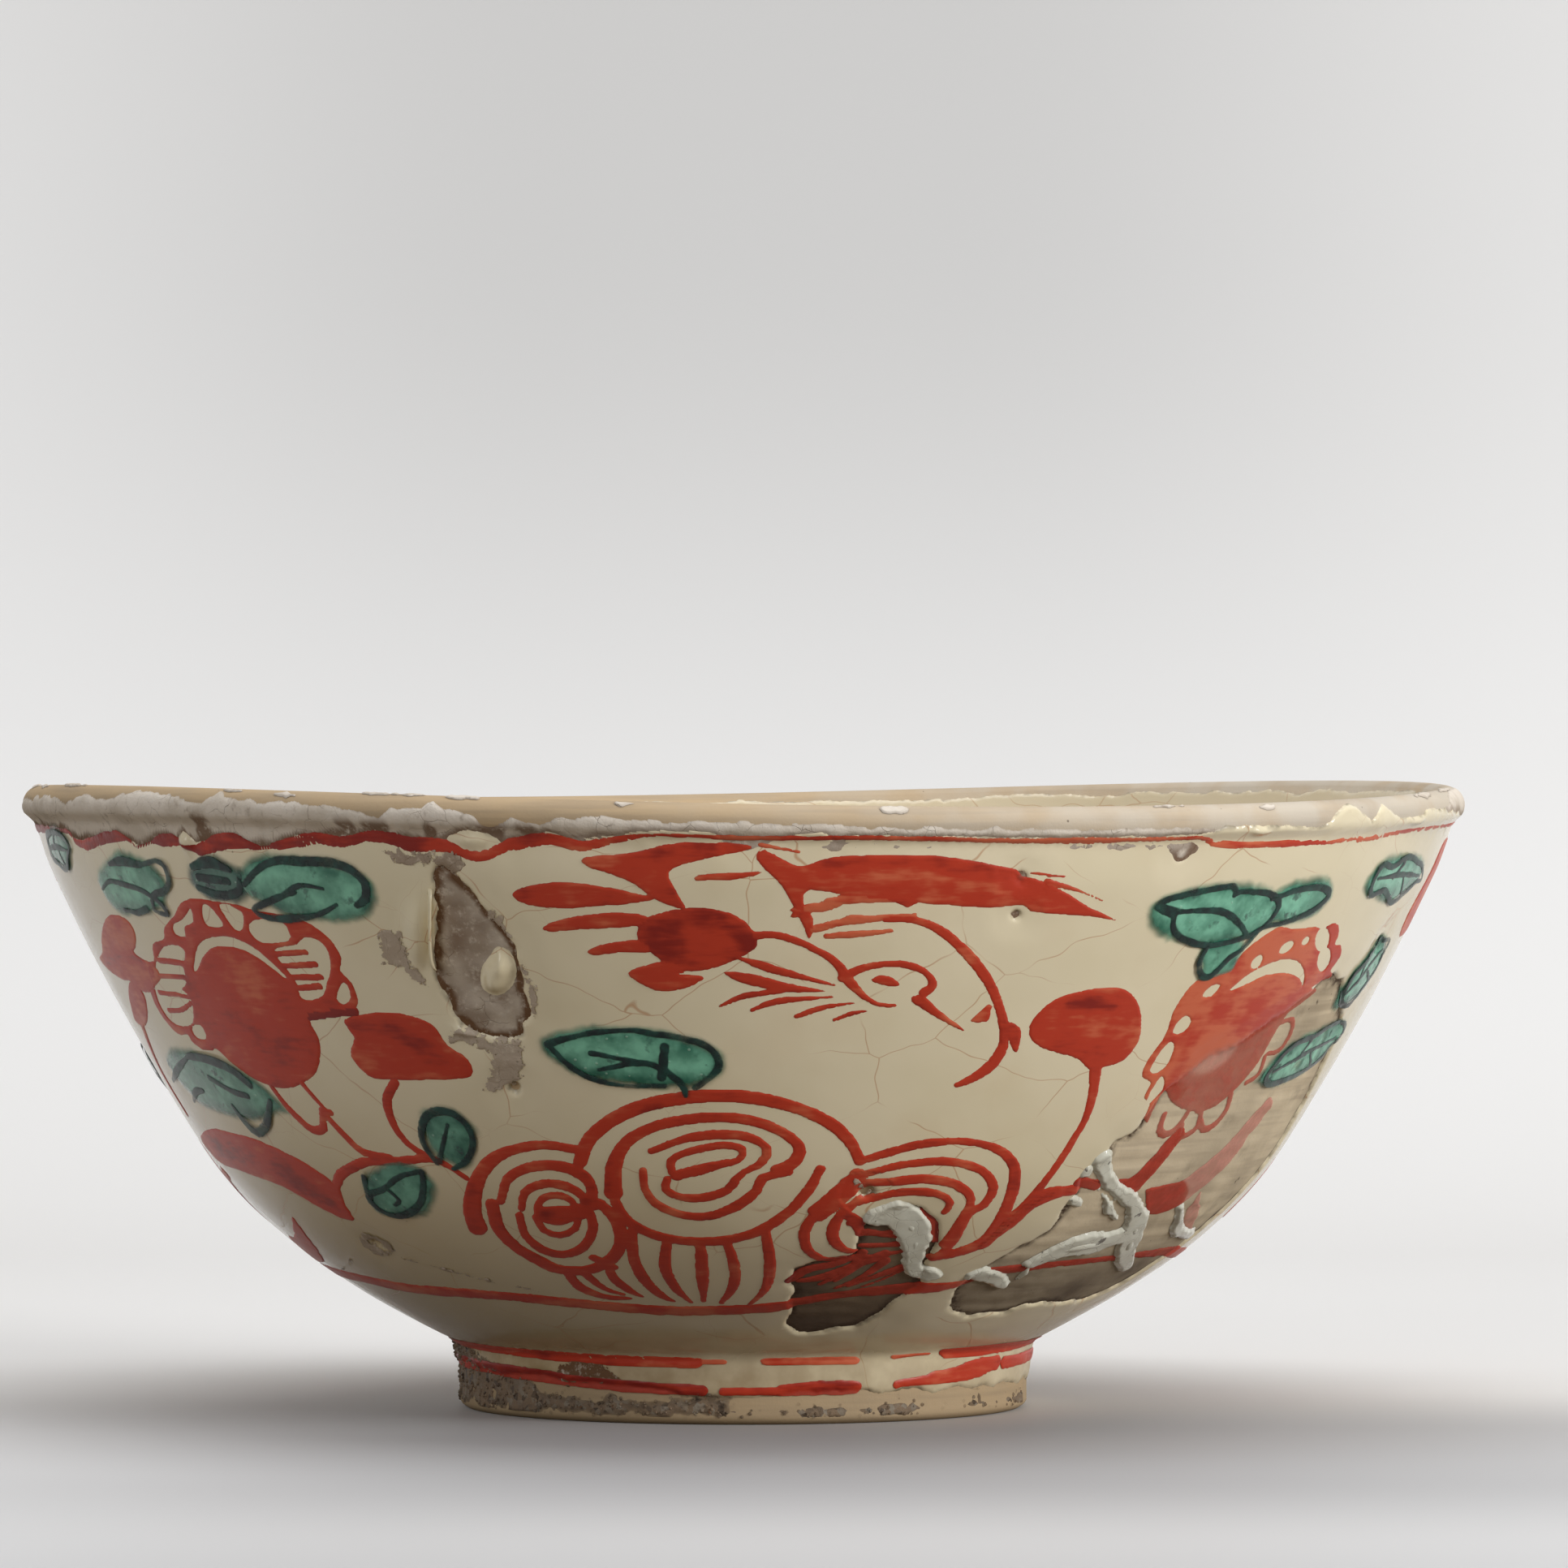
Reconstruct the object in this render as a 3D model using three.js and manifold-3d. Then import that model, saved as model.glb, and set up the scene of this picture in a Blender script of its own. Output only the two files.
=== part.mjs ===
// A wheel-thrown bowl with peeling glaze and raised enamel painting, in millimetres and degrees, +Z up.
// The clay body carries a band of slip, three coats of glaze and the enamels, each its own solid.
// The origin is on the table under the middle of the bowl, and the painted front faces -Y.
import * as THREE from 'three';
import { mergeVertices } from 'three/addons/utils/BufferGeometryUtils.js';
import Module from 'manifold-3d';

const wasm = await Module();
wasm.setup();

const { degToRad, radToDeg, clamp } = THREE.MathUtils;

// Clay body: the turned foot
const FOOT_HEIGHT = 8.8; // from the table to where the bowl's underside leaves the foot
const FOOT_RADIUS = 31.4; // outside of the ring
const FOOT_RING_WIDTH = 3.6; // width of the ring at the table
const FOOT_CHAMFER = 0.8; // bevel trimmed on the ring's outer edge
const FOOT_COVE = 1.9; // hollow curve between the ring and the bowl
const RECESS_DEPTH = 6.2; // hollow inside the ring
const RECESS_TAPER = 0.8; // how much the hollow narrows on its way up
const RECESS_DOME = 0.5; // how far the hollow's roof swells down in the middle

// Clay body: the thrown wall and lip
const RIM_RADIUS = 80; // widest part of the lip
const RIM_HEIGHT = 68.1; // top of the lip, before it warps
const LIP_HEIGHT = 3.8; // rounded lip above the wall
const LIP_FLARE = 1.7; // how far the lip stands out from the wall
const LIP_ROUND = 1.9; // radius of the lip's rounding
const BELLY_RADIUS = 59.8; // where the round belly passes into the steep wall
const BELLY_HEIGHT = 30;
const UNDERSIDE_SLOPE = 27; // rise of the underside where it leaves the foot
const UNDERSIDE_RUN = 14; // length over which it keeps that slope
const BELLY_RUN = 10; // length over which the belly keeps the wall's slope
const WALL_SWELL = 0.7; // how far the steep wall bows out
const RIM_WALL = 3.2; // thickness under the lip
const BELLY_WALL = 4.4; // thickness at the belly
const FLOOR_THICKNESS = 5.6; // over the hollow of the foot
const FLOOR_FLAT = 24; // radius over which the floor stays nearly flat

// The warp that the kiln gave the rim, which fades out towards the foot
const TILT = 0.75; // one side of the rim higher than the other
const TILT_ANGLE = 3; // where it is highest
const SADDLE = 1.04; // two high sides and two low ones
const SADDLE_ANGLE = -65;

// Coats
const SLIP = 0.3; // white slip band under the top of the glaze
const SLIP_DEPTH = 12; // how far the band reaches below the lip
const GLAZE = 0.8; // outside glaze, slip included
const INSIDE_GLAZE = 0.6;
const BASE_GLAZE = 0.5;
const ENAMEL = 0.35; // painted enamels
const GRIT = 0.45; // kiln sand baked on to the foot

// Torn edges of the coats
const GLAZE_TEAR = 1.6; // mean distance from the lip to the torn edge of the outside glaze
const SLIP_TEAR = 0.5; // least distance from the lip to the torn edge of the slip
const INSIDE_TEAR = 1.2;
const FOOT_TEAR = 3.6; // mean height of the glaze's lower edge on the foot
const TEAR_STEP = 7.5; // degrees between the points of a torn edge

// Facets
const COLUMNS = 48;
const WALL_ROWS = 4;
const BELLY_ROWS = 4;
const LIP_ANGLES = [-30, 0, 45, 90, 140];
const FOOT_ROWS = 1;
const COVE_ROWS = 2;
const FLOOR_ROWS = 1;
const INSIDE_ROWS = 3;

const CLAY_COLOUR = 0xcdb896;
const SLIP_COLOUR = 0xd9d2c6;
const GLAZE_COLOUR = 0xe9dfc0;
const ROLL_COLOUR = 0xdfe6df;
const GRIT_COLOUR = 0x8d7b66;
const RED = 0xa83a24;
const GREEN = 0x2f9077;

const root = new THREE.Group();

// Profiles: x is the radius and y the height. Each row of a profile is a point and the direction out of the clay.

const v2 = (x, y) => new THREE.Vector2(x, y);

const wallTop = v2(RIM_RADIUS - LIP_FLARE, RIM_HEIGHT - LIP_HEIGHT);
const belly = v2(BELLY_RADIUS, BELLY_HEIGHT);
const footTop = v2(FOOT_RADIUS + FOOT_COVE, FOOT_HEIGHT);

function outwardOf(from, to) {
	const along = to.clone().sub(from).normalize();
	return v2(along.y, -along.x);
}

const wallControl = wallTop.clone().add(belly).multiplyScalar(0.5)
	.addScaledVector(outwardOf(belly, wallTop), 2 * WALL_SWELL);
const bellySlope = wallControl.clone().sub(belly).normalize();
const undersideSlope = v2(Math.cos(degToRad(UNDERSIDE_SLOPE)), Math.sin(degToRad(UNDERSIDE_SLOPE)));

const footWall = new THREE.LineCurve(v2(FOOT_RADIUS, FOOT_CHAMFER), v2(FOOT_RADIUS, FOOT_HEIGHT - FOOT_COVE));
const cove = new THREE.QuadraticBezierCurve(
	footWall.v2, v2(FOOT_RADIUS, FOOT_HEIGHT - FOOT_COVE / 3), footTop);
const underside = new THREE.CubicBezierCurve(
	footTop,
	footTop.clone().addScaledVector(undersideSlope, UNDERSIDE_RUN),
	belly.clone().addScaledVector(bellySlope, -BELLY_RUN),
	belly);
const steepWall = new THREE.QuadraticBezierCurve(belly, wallControl, wallTop);

const insideTop = v2(wallTop.x - RIM_WALL, wallTop.y);
const insideBelly = belly.clone().addScaledVector(v2(bellySlope.y, -bellySlope.x), -BELLY_WALL);
const floorHeight = RECESS_DEPTH + FLOOR_THICKNESS;
const floor = new THREE.LineCurve(v2(0, floorHeight), v2(FLOOR_FLAT, floorHeight));
const insideBowl = new THREE.CubicBezierCurve(
	floor.v2,
	v2(FLOOR_FLAT + UNDERSIDE_RUN, floorHeight),
	insideBelly.clone().addScaledVector(bellySlope, -BELLY_RUN),
	insideBelly);
const insideWall = new THREE.LineCurve(insideBelly, insideTop);

// The lip is a round bead, listed from the outside over the top to the inside.
const lipCentre = v2(RIM_RADIUS - LIP_ROUND, RIM_HEIGHT - LIP_ROUND);
const lipPoints = LIP_ANGLES.map((angle) =>
	v2(Math.cos(degToRad(angle)), Math.sin(degToRad(angle))).multiplyScalar(LIP_ROUND).add(lipCentre));

function rowsOf(curve, count) {
	const rows = [];
	for (let i = 0; i <= count; i++) {
		const tangent = curve.getTangentAt(i / count);
		rows.push({ point: curve.getPointAt(i / count), out: v2(tangent.y, -tangent.x) });
	}
	return rows;
}

// Joins runs of rows end to end, and shares one mean direction where two runs meet.
function joinRows(...runs) {
	const joined = [];
	for (const run of runs) {
		if (joined.length) {
			const seam = joined.pop();
			run[0].out.add(seam.out).normalize();
		}
		joined.push(...run);
	}
	return joined;
}

const outsideRows = joinRows(
	rowsOf(footWall, FOOT_ROWS), rowsOf(cove, COVE_ROWS), rowsOf(underside, BELLY_ROWS), rowsOf(steepWall, WALL_ROWS));
const insideRows = joinRows(rowsOf(floor, FLOOR_ROWS), rowsOf(insideBowl, INSIDE_ROWS), rowsOf(insideWall, INSIDE_ROWS))
	.map(({ point, out }) => ({ point, out: out.negate() }));

const recessRadius = FOOT_RADIUS - FOOT_CHAMFER - FOOT_RING_WIDTH;
const recessRows = [
	v2(0, RECESS_DEPTH - RECESS_DOME),
	v2(recessRadius * 0.55, RECESS_DEPTH - RECESS_DOME / 2),
	v2(recessRadius - RECESS_TAPER, RECESS_DEPTH),
	v2(recessRadius, 0),
];

// Solids

// One closed solid from a surface, whichever way round its faces were listed.
function solidOf(vertices, faces) {
	const merged = mergeVertices(new THREE.BufferGeometry().setFromPoints(vertices).setIndex(faces), 1e-4);
	const kept = [];
	for (let i = 0; i < faces.length; i += 3) {
		const [a, b, c] = merged.index.array.slice(i, i + 3);
		if (a !== b && b !== c && c !== a) {
			kept.push(a, b, c);
		}
	}
	const triVerts = new Uint32Array(kept);
	const made = () => new wasm.Manifold(new wasm.Mesh({
		numProp: 3,
		vertProperties: merged.attributes.position.array,
		triVerts,
	}));
	const solid = made();
	if (solid.volume() > 0) {
		return solid;
	}
	triVerts.reverse();
	return made();
}

// The largest of a solid's separate bodies, without the crumbs that a ragged cut leaves.
const largest = (solid) => solid.decompose().reduce((a, b) => (a.volume() > b.volume() ? a : b));

// A point at an angle round the bowl, lifted or lowered by the kiln's warp.
function roundBowl(radius, height, angle) {
	const a = degToRad(angle);
	const share = clamp((height - FOOT_HEIGHT) / (RIM_HEIGHT - FOOT_HEIGHT), 0, 1);
	const lift = TILT * Math.cos(a - degToRad(TILT_ANGLE)) + SADDLE * Math.cos(2 * (a - degToRad(SADDLE_ANGLE)));
	return new THREE.Vector3(radius * Math.sin(a), -radius * Math.cos(a), height + lift * share ** 2);
}

// Turns a closed profile about Z. Two solids that share a stretch of profile also share its facets, because each
// facet's diagonal rises from the lower point whichever way the profile runs.
function turned(profile) {
	const vertices = profile.flatMap(({ x, y }) =>
		Array.from({ length: COLUMNS }, (_, c) => roundBowl(x, y, x === 0 ? 0 : 360 * c / COLUMNS)));
	const faces = [];
	profile.forEach((p, i) => {
		const j = (i + 1) % profile.length;
		const q = profile[j];
		const rising = p.y < q.y || (p.y === q.y && p.x < q.x);
		for (let c = 0; c < COLUMNS; c++) {
			const d = (c + 1) % COLUMNS;
			const [pc, pd, qc, qd] = [i * COLUMNS + c, i * COLUMNS + d, j * COLUMNS + c, j * COLUMNS + d];
			faces.push(...(rising ? [pc, pd, qd, pc, qd, qc] : [pc, pd, qc, pd, qd, qc]));
		}
	});
	return solidOf(vertices, faces);
}

const grown = (rows, thickness) => rows.map(({ point, out }, i) =>
	point.clone().addScaledVector(out, typeof thickness === 'function' ? thickness(point, i) : thickness));

const clay = turned([
	...recessRows,
	v2(FOOT_RADIUS - FOOT_CHAMFER, 0),
	...grown(outsideRows, 0),
	...lipPoints,
	...grown(insideRows, 0).reverse(),
]);

// A coat lies between two surfaces grown from the same rows, so that it seats on its neighbour face to face.
function coat(rows, from, to) {
	return turned([...grown(rows, from), ...grown(rows, to).reverse()]);
}

const slipStart = outsideRows.findIndex(({ point }) => point.y > wallTop.y - SLIP_DEPTH) - 1;
const slipOver = (point, i) => (i > slipStart ? SLIP : 0);
const slipRows = outsideRows.slice(slipStart);

const slipCoat = coat(slipRows, 0, (point, i) => (i > 0 ? SLIP : 0));
const glazeCoat = coat(outsideRows, slipOver, GLAZE);
const enamelOnGlaze = coat(outsideRows, GLAZE, GLAZE + ENAMEL);
const enamelOnClay = coat(outsideRows, 0, ENAMEL);

// The painting chart: x runs round the bowl, in millimetres at that height, from a centre angle.
// y runs up the wall from the foot to the lip, over the chart's full height.
const CHART_HEIGHT = 73.5; // run of the wall from the foot's top to the lip

const wallRun = new THREE.CurvePath();
wallRun.add(underside);
wallRun.add(steepWall);

const CHART_RADIUS = 80; // the lip's radius on the bowl that the chart was drawn for
const chartSpread = RIM_RADIUS / CHART_RADIUS;

// A point on the chart, stood off the clay by a distance.
function onWall(centre, x, y, off = 0) {
	const share = clamp(y / CHART_HEIGHT, 0, 1);
	const point = wallRun.getPointAt(share);
	const tangent = wallRun.getTangentAt(share);
	const angle = centre + radToDeg(x * chartSpread / point.x);
	point.addScaledVector(v2(tangent.y, -tangent.x), off);
	return roundBowl(point.x, point.y, angle);
}

// A point on the foot's wall: x runs round it and y is the height.
function onFoot(centre, x, y, off = 0) {
	return roundBowl(FOOT_RADIUS + off, y, centre + radToDeg(x / FOOT_RADIUS));
}

const CUTTER_IN = 5;
const CUTTER_OUT = 14;

// A block that stands through the wall, with an outline drawn on the chart.
function block(centre, outline, place = onWall) {
	const ring = THREE.ShapeUtils.isClockWise(outline) ? [...outline].reverse() : outline;
	const count = ring.length;
	const vertices = [-CUTTER_IN, CUTTER_OUT].flatMap((off) => ring.map(({ x, y }) => place(centre, x, y, off)));
	const faces = THREE.ShapeUtils.triangulateShape(ring, [])
		.flatMap(([a, b, c]) => [a, c, b, a + count, b + count, c + count]);
	for (let i = 0; i < count; i++) {
		const j = (i + 1) % count;
		faces.push(i, j, j + count, i, j + count, i + count);
	}
	return solidOf(vertices, faces);
}

// Outlines for the chart, each a ring of points.

const outlineOf = (points) => points.map(([x, y]) => v2(x, y));

function tilted(points, x, y, tilt) {
	return points.map((p) => p.rotateAround(v2(0, 0), degToRad(tilt)).add(v2(x, y)));
}

// A leaf is two arcs that meet in points.
function leaf([x, y, length, width, tilt = 0], steps = 4) {
	const points = [];
	for (const side of [1, -1]) {
		for (let i = 0; i < steps; i++) {
			const share = i / steps;
			points.push(v2(side * length * (0.5 - share), side * width * 0.5 * Math.sin(Math.PI * share) ** 0.8));
		}
	}
	return tilted(points, x, y, tilt);
}

// A flower is a disc with a scalloped edge, and with no petals it is an oval.
function flower([x, y, width, height, tilt = 0], petals = 7, notch = 0.07) {
	const points = [];
	for (let i = 0; i < petals * 2; i++) {
		const reach = 0.5 - (i % 2) * notch;
		const a = Math.PI * i / petals;
		points.push(v2(width * reach * Math.cos(a), height * reach * Math.sin(a)));
	}
	return tilted(points, x, y, tilt);
}

const oval = (sizes) => flower(sizes, 5, 0);

// A brush stroke that swells between its two tips.
function stroke(path, width, tip = 0.5, steps = path.length + 1) {
	const curve = new THREE.SplineCurve(path.map(([x, y]) => v2(x, y)));
	const left = [];
	const right = [];
	for (let i = 0; i <= steps; i++) {
		const share = i / steps;
		const half = (tip + (width - tip) * Math.sin(Math.PI * share) ** 0.6) / 2;
		const centre = curve.getPointAt(share);
		const along = curve.getTangentAt(share);
		const across = v2(-along.y, along.x);
		left.push(centre.clone().addScaledVector(across, half));
		right.unshift(centre.clone().addScaledVector(across, -half));
	}
	return [...left, ...right];
}

// A scroll winds inwards, turning clockwise from its start angle, and its line thins as it goes.
function scroll([x, y, width, height], turns, start, line = 2) {
	const steps = Math.round(turns * 8);
	const outer = [];
	const inner = [];
	for (let i = 0; i <= steps; i++) {
		const share = i / steps;
		const a = degToRad(start) - 2 * Math.PI * turns * share;
		const size = 1 - share * 0.75;
		const at = (trim) => v2(
			x + (width / 2 * size - trim) * Math.cos(a), y + (height / 2 * size - trim) * Math.sin(a));
		outer.push(at(0));
		inner.unshift(at(line * (1 - 0.6 * share)));
	}
	return [...outer, ...inner];
}

// Torn edges

// A ragged line: it wanders slowly round the bowl and is jagged from point to point.
const ragged = (angle, slow, fast) =>
	slow * Math.cos(degToRad(angle + 50))
	+ fast * (Math.sin(degToRad(angle * 11 + 20)) + 0.7 * Math.sin(degToRad(angle * 29)) + 0.5 * Math.sin(degToRad(angle * 47)));

// A ring all round the wall whose section is four corners, given for each angle.
function ringCutter(cornersAt) {
	const steps = Math.round(360 / TEAR_STEP);
	const vertices = [];
	const faces = [];
	for (let i = 0; i < steps; i++) {
		const next = (i + 1) % steps;
		vertices.push(...cornersAt(i * TEAR_STEP));
		for (let k = 0; k < 4; k++) {
			const l = (k + 1) % 4;
			faces.push(i * 4 + k, next * 4 + l, next * 4 + k, i * 4 + k, i * 4 + l, next * 4 + l);
		}
	}
	return solidOf(vertices, faces);
}

const CUTTER_REACH = 6; // how far the cutters stand past what they cut

// Everything outside the wall and above a torn edge that lies a depth below the lip.
const aboveTear = (depthAt) => ringCutter((angle) => {
	const height = wallTop.y - depthAt(angle);
	return [
		roundBowl(BELLY_RADIUS, height, angle),
		roundBowl(RIM_RADIUS + CUTTER_REACH, height, angle),
		roundBowl(RIM_RADIUS + CUTTER_REACH, RIM_HEIGHT + CUTTER_REACH, angle),
		roundBowl(BELLY_RADIUS, RIM_HEIGHT + CUTTER_REACH, angle),
	];
});

const belowTear = (heightAt) => ringCutter((angle) => [
	roundBowl(recessRadius, -CUTTER_REACH, angle),
	roundBowl(BELLY_RADIUS, -CUTTER_REACH, angle),
	roundBowl(BELLY_RADIUS, heightAt(angle), angle),
	roundBowl(recessRadius, heightAt(angle), angle),
]);

const glazeTop = aboveTear((angle) => GLAZE_TEAR + Math.max(ragged(angle, 0.9, 0.35), -GLAZE_TEAR));
const slipTop = aboveTear((angle) => SLIP_TEAR + Math.abs(ragged(angle + 70, 0.2, 0.3)));
const insideTopTear = aboveTear((angle) => INSIDE_TEAR + Math.max(ragged(angle - 100, 0.3, 0.3), -INSIDE_TEAR));
const glazeFoot = belowTear((angle) => FOOT_TEAR + ragged(angle + 130, 0.8, 0.25));

// Bare patches where the glaze has come away, drawn on the chart from a centre angle.
const FRONT = 0;
const LEFT = -52;
const RIGHT = 54;
const SCAR = [[-33, 69], [-33.3, 58], [-31, 53], [-28, 50.5], [-23.4, 50], [-22.7, 54], [-23.5, 58], [-25, 62],
	[-27.5, 66], [-29.5, 68.8]];
const LOW_PATCH = [[4.8, 15.3], [6.4, 18.5], [9.6, 19.9], [12.5, 20.7], [12.8, 23.9], [14.4, 26.5], [16.5, 28.1],
	[19.2, 28.1], [21.1, 26], [21.3, 22.8], [19.7, 16.4], [16.5, 10], [13.3, 6.3], [10.1, 4.4], [6.4, 4.7], [5.1, 6.8]];
const SIDE_PATCH = [[-14.3, 34.5], [-15.8, 32.1], [-14.8, 25.5], [-16.3, 20.7], [-18.7, 16.8], [-17.7, 13.8],
	[-14.8, 9.4], [-11.3, 6.9], [-5.4, 7.2], [2, 9.5], [12, 10], [21, 12], [28, 20], [29, 28], [26, 36], [24.2, 43.4],
	[22.7, 50.3], [18.8, 52.8], [16.3, 55.3], [11, 55.7], [6, 53], [0, 49.5], [-6, 45.5], [-10, 42]];
const BACK_PATCH_CENTRE = 168;
const BACK_PATCH = [[-7, 24], [-9, 31], [-5, 38], [2, 40], [7, 35], [9, 28], [5, 21], [-1, 19]];

const bare = [
	block(FRONT, outlineOf(SCAR)),
	block(FRONT, outlineOf(LOW_PATCH)),
	block(RIGHT, outlineOf(SIDE_PATCH)),
	block(BACK_PATCH_CENTRE, outlineOf(BACK_PATCH)),
];

const gone = wasm.Manifold.union([glazeTop, glazeFoot, ...bare]);
const outsideGlaze = largest(glazeCoat.subtract(gone));
const slipBand = largest(slipCoat.subtract(slipTop).subtract(bare[0]));
const insideGlaze = coat(insideRows, 0, INSIDE_GLAZE).subtract(insideTopTear);

const recessRoof = recessRows.slice(0, 3);
const baseGlaze = turned([...recessRoof, ...recessRoof.map((p) => v2(p.x, p.y - BASE_GLAZE)).reverse()]);

// Meshes

function addPiece(name, solid, colour, roughness) {
	const { vertProperties, triVerts, numProp } = solid.getMesh();
	const geometry = new THREE.BufferGeometry();
	const positions = new Float32Array(vertProperties.length / numProp * 3);
	for (let i = 0; i < positions.length / 3; i++) {
		positions.set(vertProperties.subarray(i * numProp, i * numProp + 3), i * 3);
	}
	geometry.setAttribute('position', new THREE.BufferAttribute(positions, 3));
	geometry.setIndex(new THREE.BufferAttribute(triVerts, 1));
	geometry.computeVertexNormals();
	const mesh = new THREE.Mesh(geometry, new THREE.MeshStandardMaterial({ color: colour, roughness, metalness: 0 }));
	mesh.name = name;
	root.add(mesh);
}

addPiece('clay_body', clay, CLAY_COLOUR, 0.85);
addPiece('slip_band', slipBand, SLIP_COLOUR, 0.9);
addPiece('outside_glaze', outsideGlaze, GLAZE_COLOUR, 0.2);
addPiece('inside_glaze', largest(insideGlaze), GLAZE_COLOUR, 0.2);
addPiece('base_glaze', largest(baseGlaze), GLAZE_COLOUR, 0.3);

// Enamels. Each takes its share of the coat, so that the next one can't overlap it.
let unpainted = enamelOnGlaze.subtract(gone);

function paint(name, centre, outlines, colour) {
	const shape = wasm.Manifold.union(outlines.map((outline) => block(centre, outline)));
	addPiece(name, largest(unpainted.intersect(shape)), colour, 0.3);
	unpainted = unpainted.subtract(shape);
}

const LEAVES = {
	leaf_under_bird: [FRONT, -11.5, 47.7, 19, 7, -8],
	leaf_left_edge: [LEFT, -29.8, 69.4, 10, 5],
	leaf_left_over_flower: [LEFT, -9.3, 66.8, 18, 6.8],
	leaf_left_dark: [LEFT, 7, 67.6, 8.6, 5.2],
	leaf_left_by_scar: [LEFT, 20.8, 67.1, 17, 7.4],
	leaf_left_under_flower: [LEFT, -10.3, 42.4, 23, 8, 12],
	leaf_left_small: [LEFT, 23.2, 37.2, 7.4, 6.4],
	leaf_left_low: [LEFT, 12.1, 29.6, 11.2, 6, 30],
	leaf_right_over_bud: [RIGHT, -14.5, 65, 19, 7.6],
	leaf_right_twin: [RIGHT, 1.5, 66.5, 11, 4.6],
	leaf_right_small: [RIGHT, -16, 58.8, 6, 4.6],
	leaf_right_edge: [RIGHT, 19, 67.6, 18, 4.4],
};

// The painting goes round the bowl three times, with the hidden repeats a little different from the front.
const REPEATS = [
	{ place: 'front', centre: FRONT },
	{ place: 'back_right', centre: 118 },
	{ place: 'back_left', centre: -118 },
];
const REPEAT_LEAVES = {
	over: [-27, 66, 17, 6.4],
	under: [-12, 47.5, 19, 7, -6],
	side: [27, 43, 15, 6, 20],
};

for (const [name, [centre, ...sizes]] of Object.entries(LEAVES)) {
	paint(name, centre, [leaf(sizes)], GREEN);
}
for (const { place, centre } of REPEATS.slice(1)) {
	for (const [name, sizes] of Object.entries(REPEAT_LEAVES)) {
		paint(`leaf_${place}_${name}`, centre, [leaf(sizes)], GREEN);
	}
}

const WING = [[1, 72.6], [5.3, 70.8], [13.3, 72], [20, 71.9], [29.3, 70.3], [40, 66.3], [40, 64.7], [31, 65.2],
	[18.7, 66.1], [9.5, 67.2], [8.2, 61.8], [6.9, 62]];
const PLUME = [[-16.4, 71], [-8, 73], [2, 72.4], [-2, 66], [-6, 63.5], [-9.5, 67.8]];
const bird = [
	outlineOf(WING),
	outlineOf(PLUME),
	oval([-4.5, 62, 12.6, 7.2]),
	stroke([[0, 62.8], [4.8, 62.4], [8, 60.7], [11.6, 57.8]], 2.2, 1.4),
	oval([15.6, 56.8, 9.4, 5]),
	stroke([[18.2, 55.6], [24.3, 50.8]], 1.8, 0.6),
	stroke([[-24.1, 67.1], [-9, 66.6], [-5, 64]], 2.8),
	stroke([[-20.9, 63.2], [-7, 63.2]], 1.8),
	stroke([[-16.1, 60.4], [-7, 61]], 1.6),
];
const rock = [
	scroll([-19.9, 27, 20.4, 18.8], 1.4, 20, 2.4),
	scroll([-2.2, 33.2, 30, 20.4], 1.8, 0, 2),
	scroll([20.2, 28.6, 19.6, 17], 1.4, 150, 2),
	stroke([[-12, 25.5], [-11.5, 18.5], [-7.2, 11.9]], 1.6),
	stroke([[-4.8, 24.6], [-4, 17.5], [-4.2, 11.7]], 1.6),
	stroke([[2.4, 26], [2.9, 18.5], [1.1, 11.6]], 1.6),
];
for (const { place, centre } of REPEATS) {
	paint(`bird_${place}`, centre, bird, RED);
	paint(`scroll_rock_${place}`, centre, rock, RED);
}

const FLOWERS = {
	left: [LEFT, 2.5, 53.5, 32, 20],
	right: [RIGHT, -1.6, 51, 24.6, 23],
	back: [180, 0, 53, 31, 21],
};
for (const [place, [centre, ...sizes]] of Object.entries(FLOWERS)) {
	paint(`flower_${place}`, centre, [flower(sizes, 8)], RED);
}

const BUDS = {
	left: [LEFT, 23.3, 48.4, 14.4, 8.4],
	right: [RIGHT, -26, 51.2, 14.8, 10],
	far_left: [LEFT, -24, 56, 17, 11],
	back: [180, -24, 50, 14.4, 9],
};
for (const [place, [centre, ...sizes]] of Object.entries(BUDS)) {
	paint(`bud_${place}`, centre, [leaf(sizes, 3)], RED);
}

const BRANCH_LEAVES = {
	red_leaf_left: [LEFT, [[-24, 36], [-12, 34], [-0.5, 29.5], [2.8, 25.9]], 8],
	red_leaf_back: [180, [[-24, 35], [-12, 33], [0, 29], [4, 26]], 8],
};
for (const [name, [centre, path, width]] of Object.entries(BRANCH_LEAVES)) {
	paint(name, centre, [stroke(path, width, 0.8)], RED);
}

// This leaf was painted where the glaze then drew away from under it, so it lies on the clay.
const CLAY_LEAF = [16, 46, 19, 6.6, 14];
const clayLeaf = enamelOnClay.intersect(block(RIGHT, leaf(CLAY_LEAF))).subtract(outsideGlaze);
addPiece('leaf_on_clay', largest(clayLeaf), GREEN, 0.3);

// Glaze that crawled up into rolls and beads on the bare clay.
const BEAD_SECTION = [[-0.5, -0.6], [0.5, -0.6], [0.5, 0.35], [0.3, 0.85], [0, 1], [-0.3, 0.85], [-0.5, 0.35]];

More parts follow.
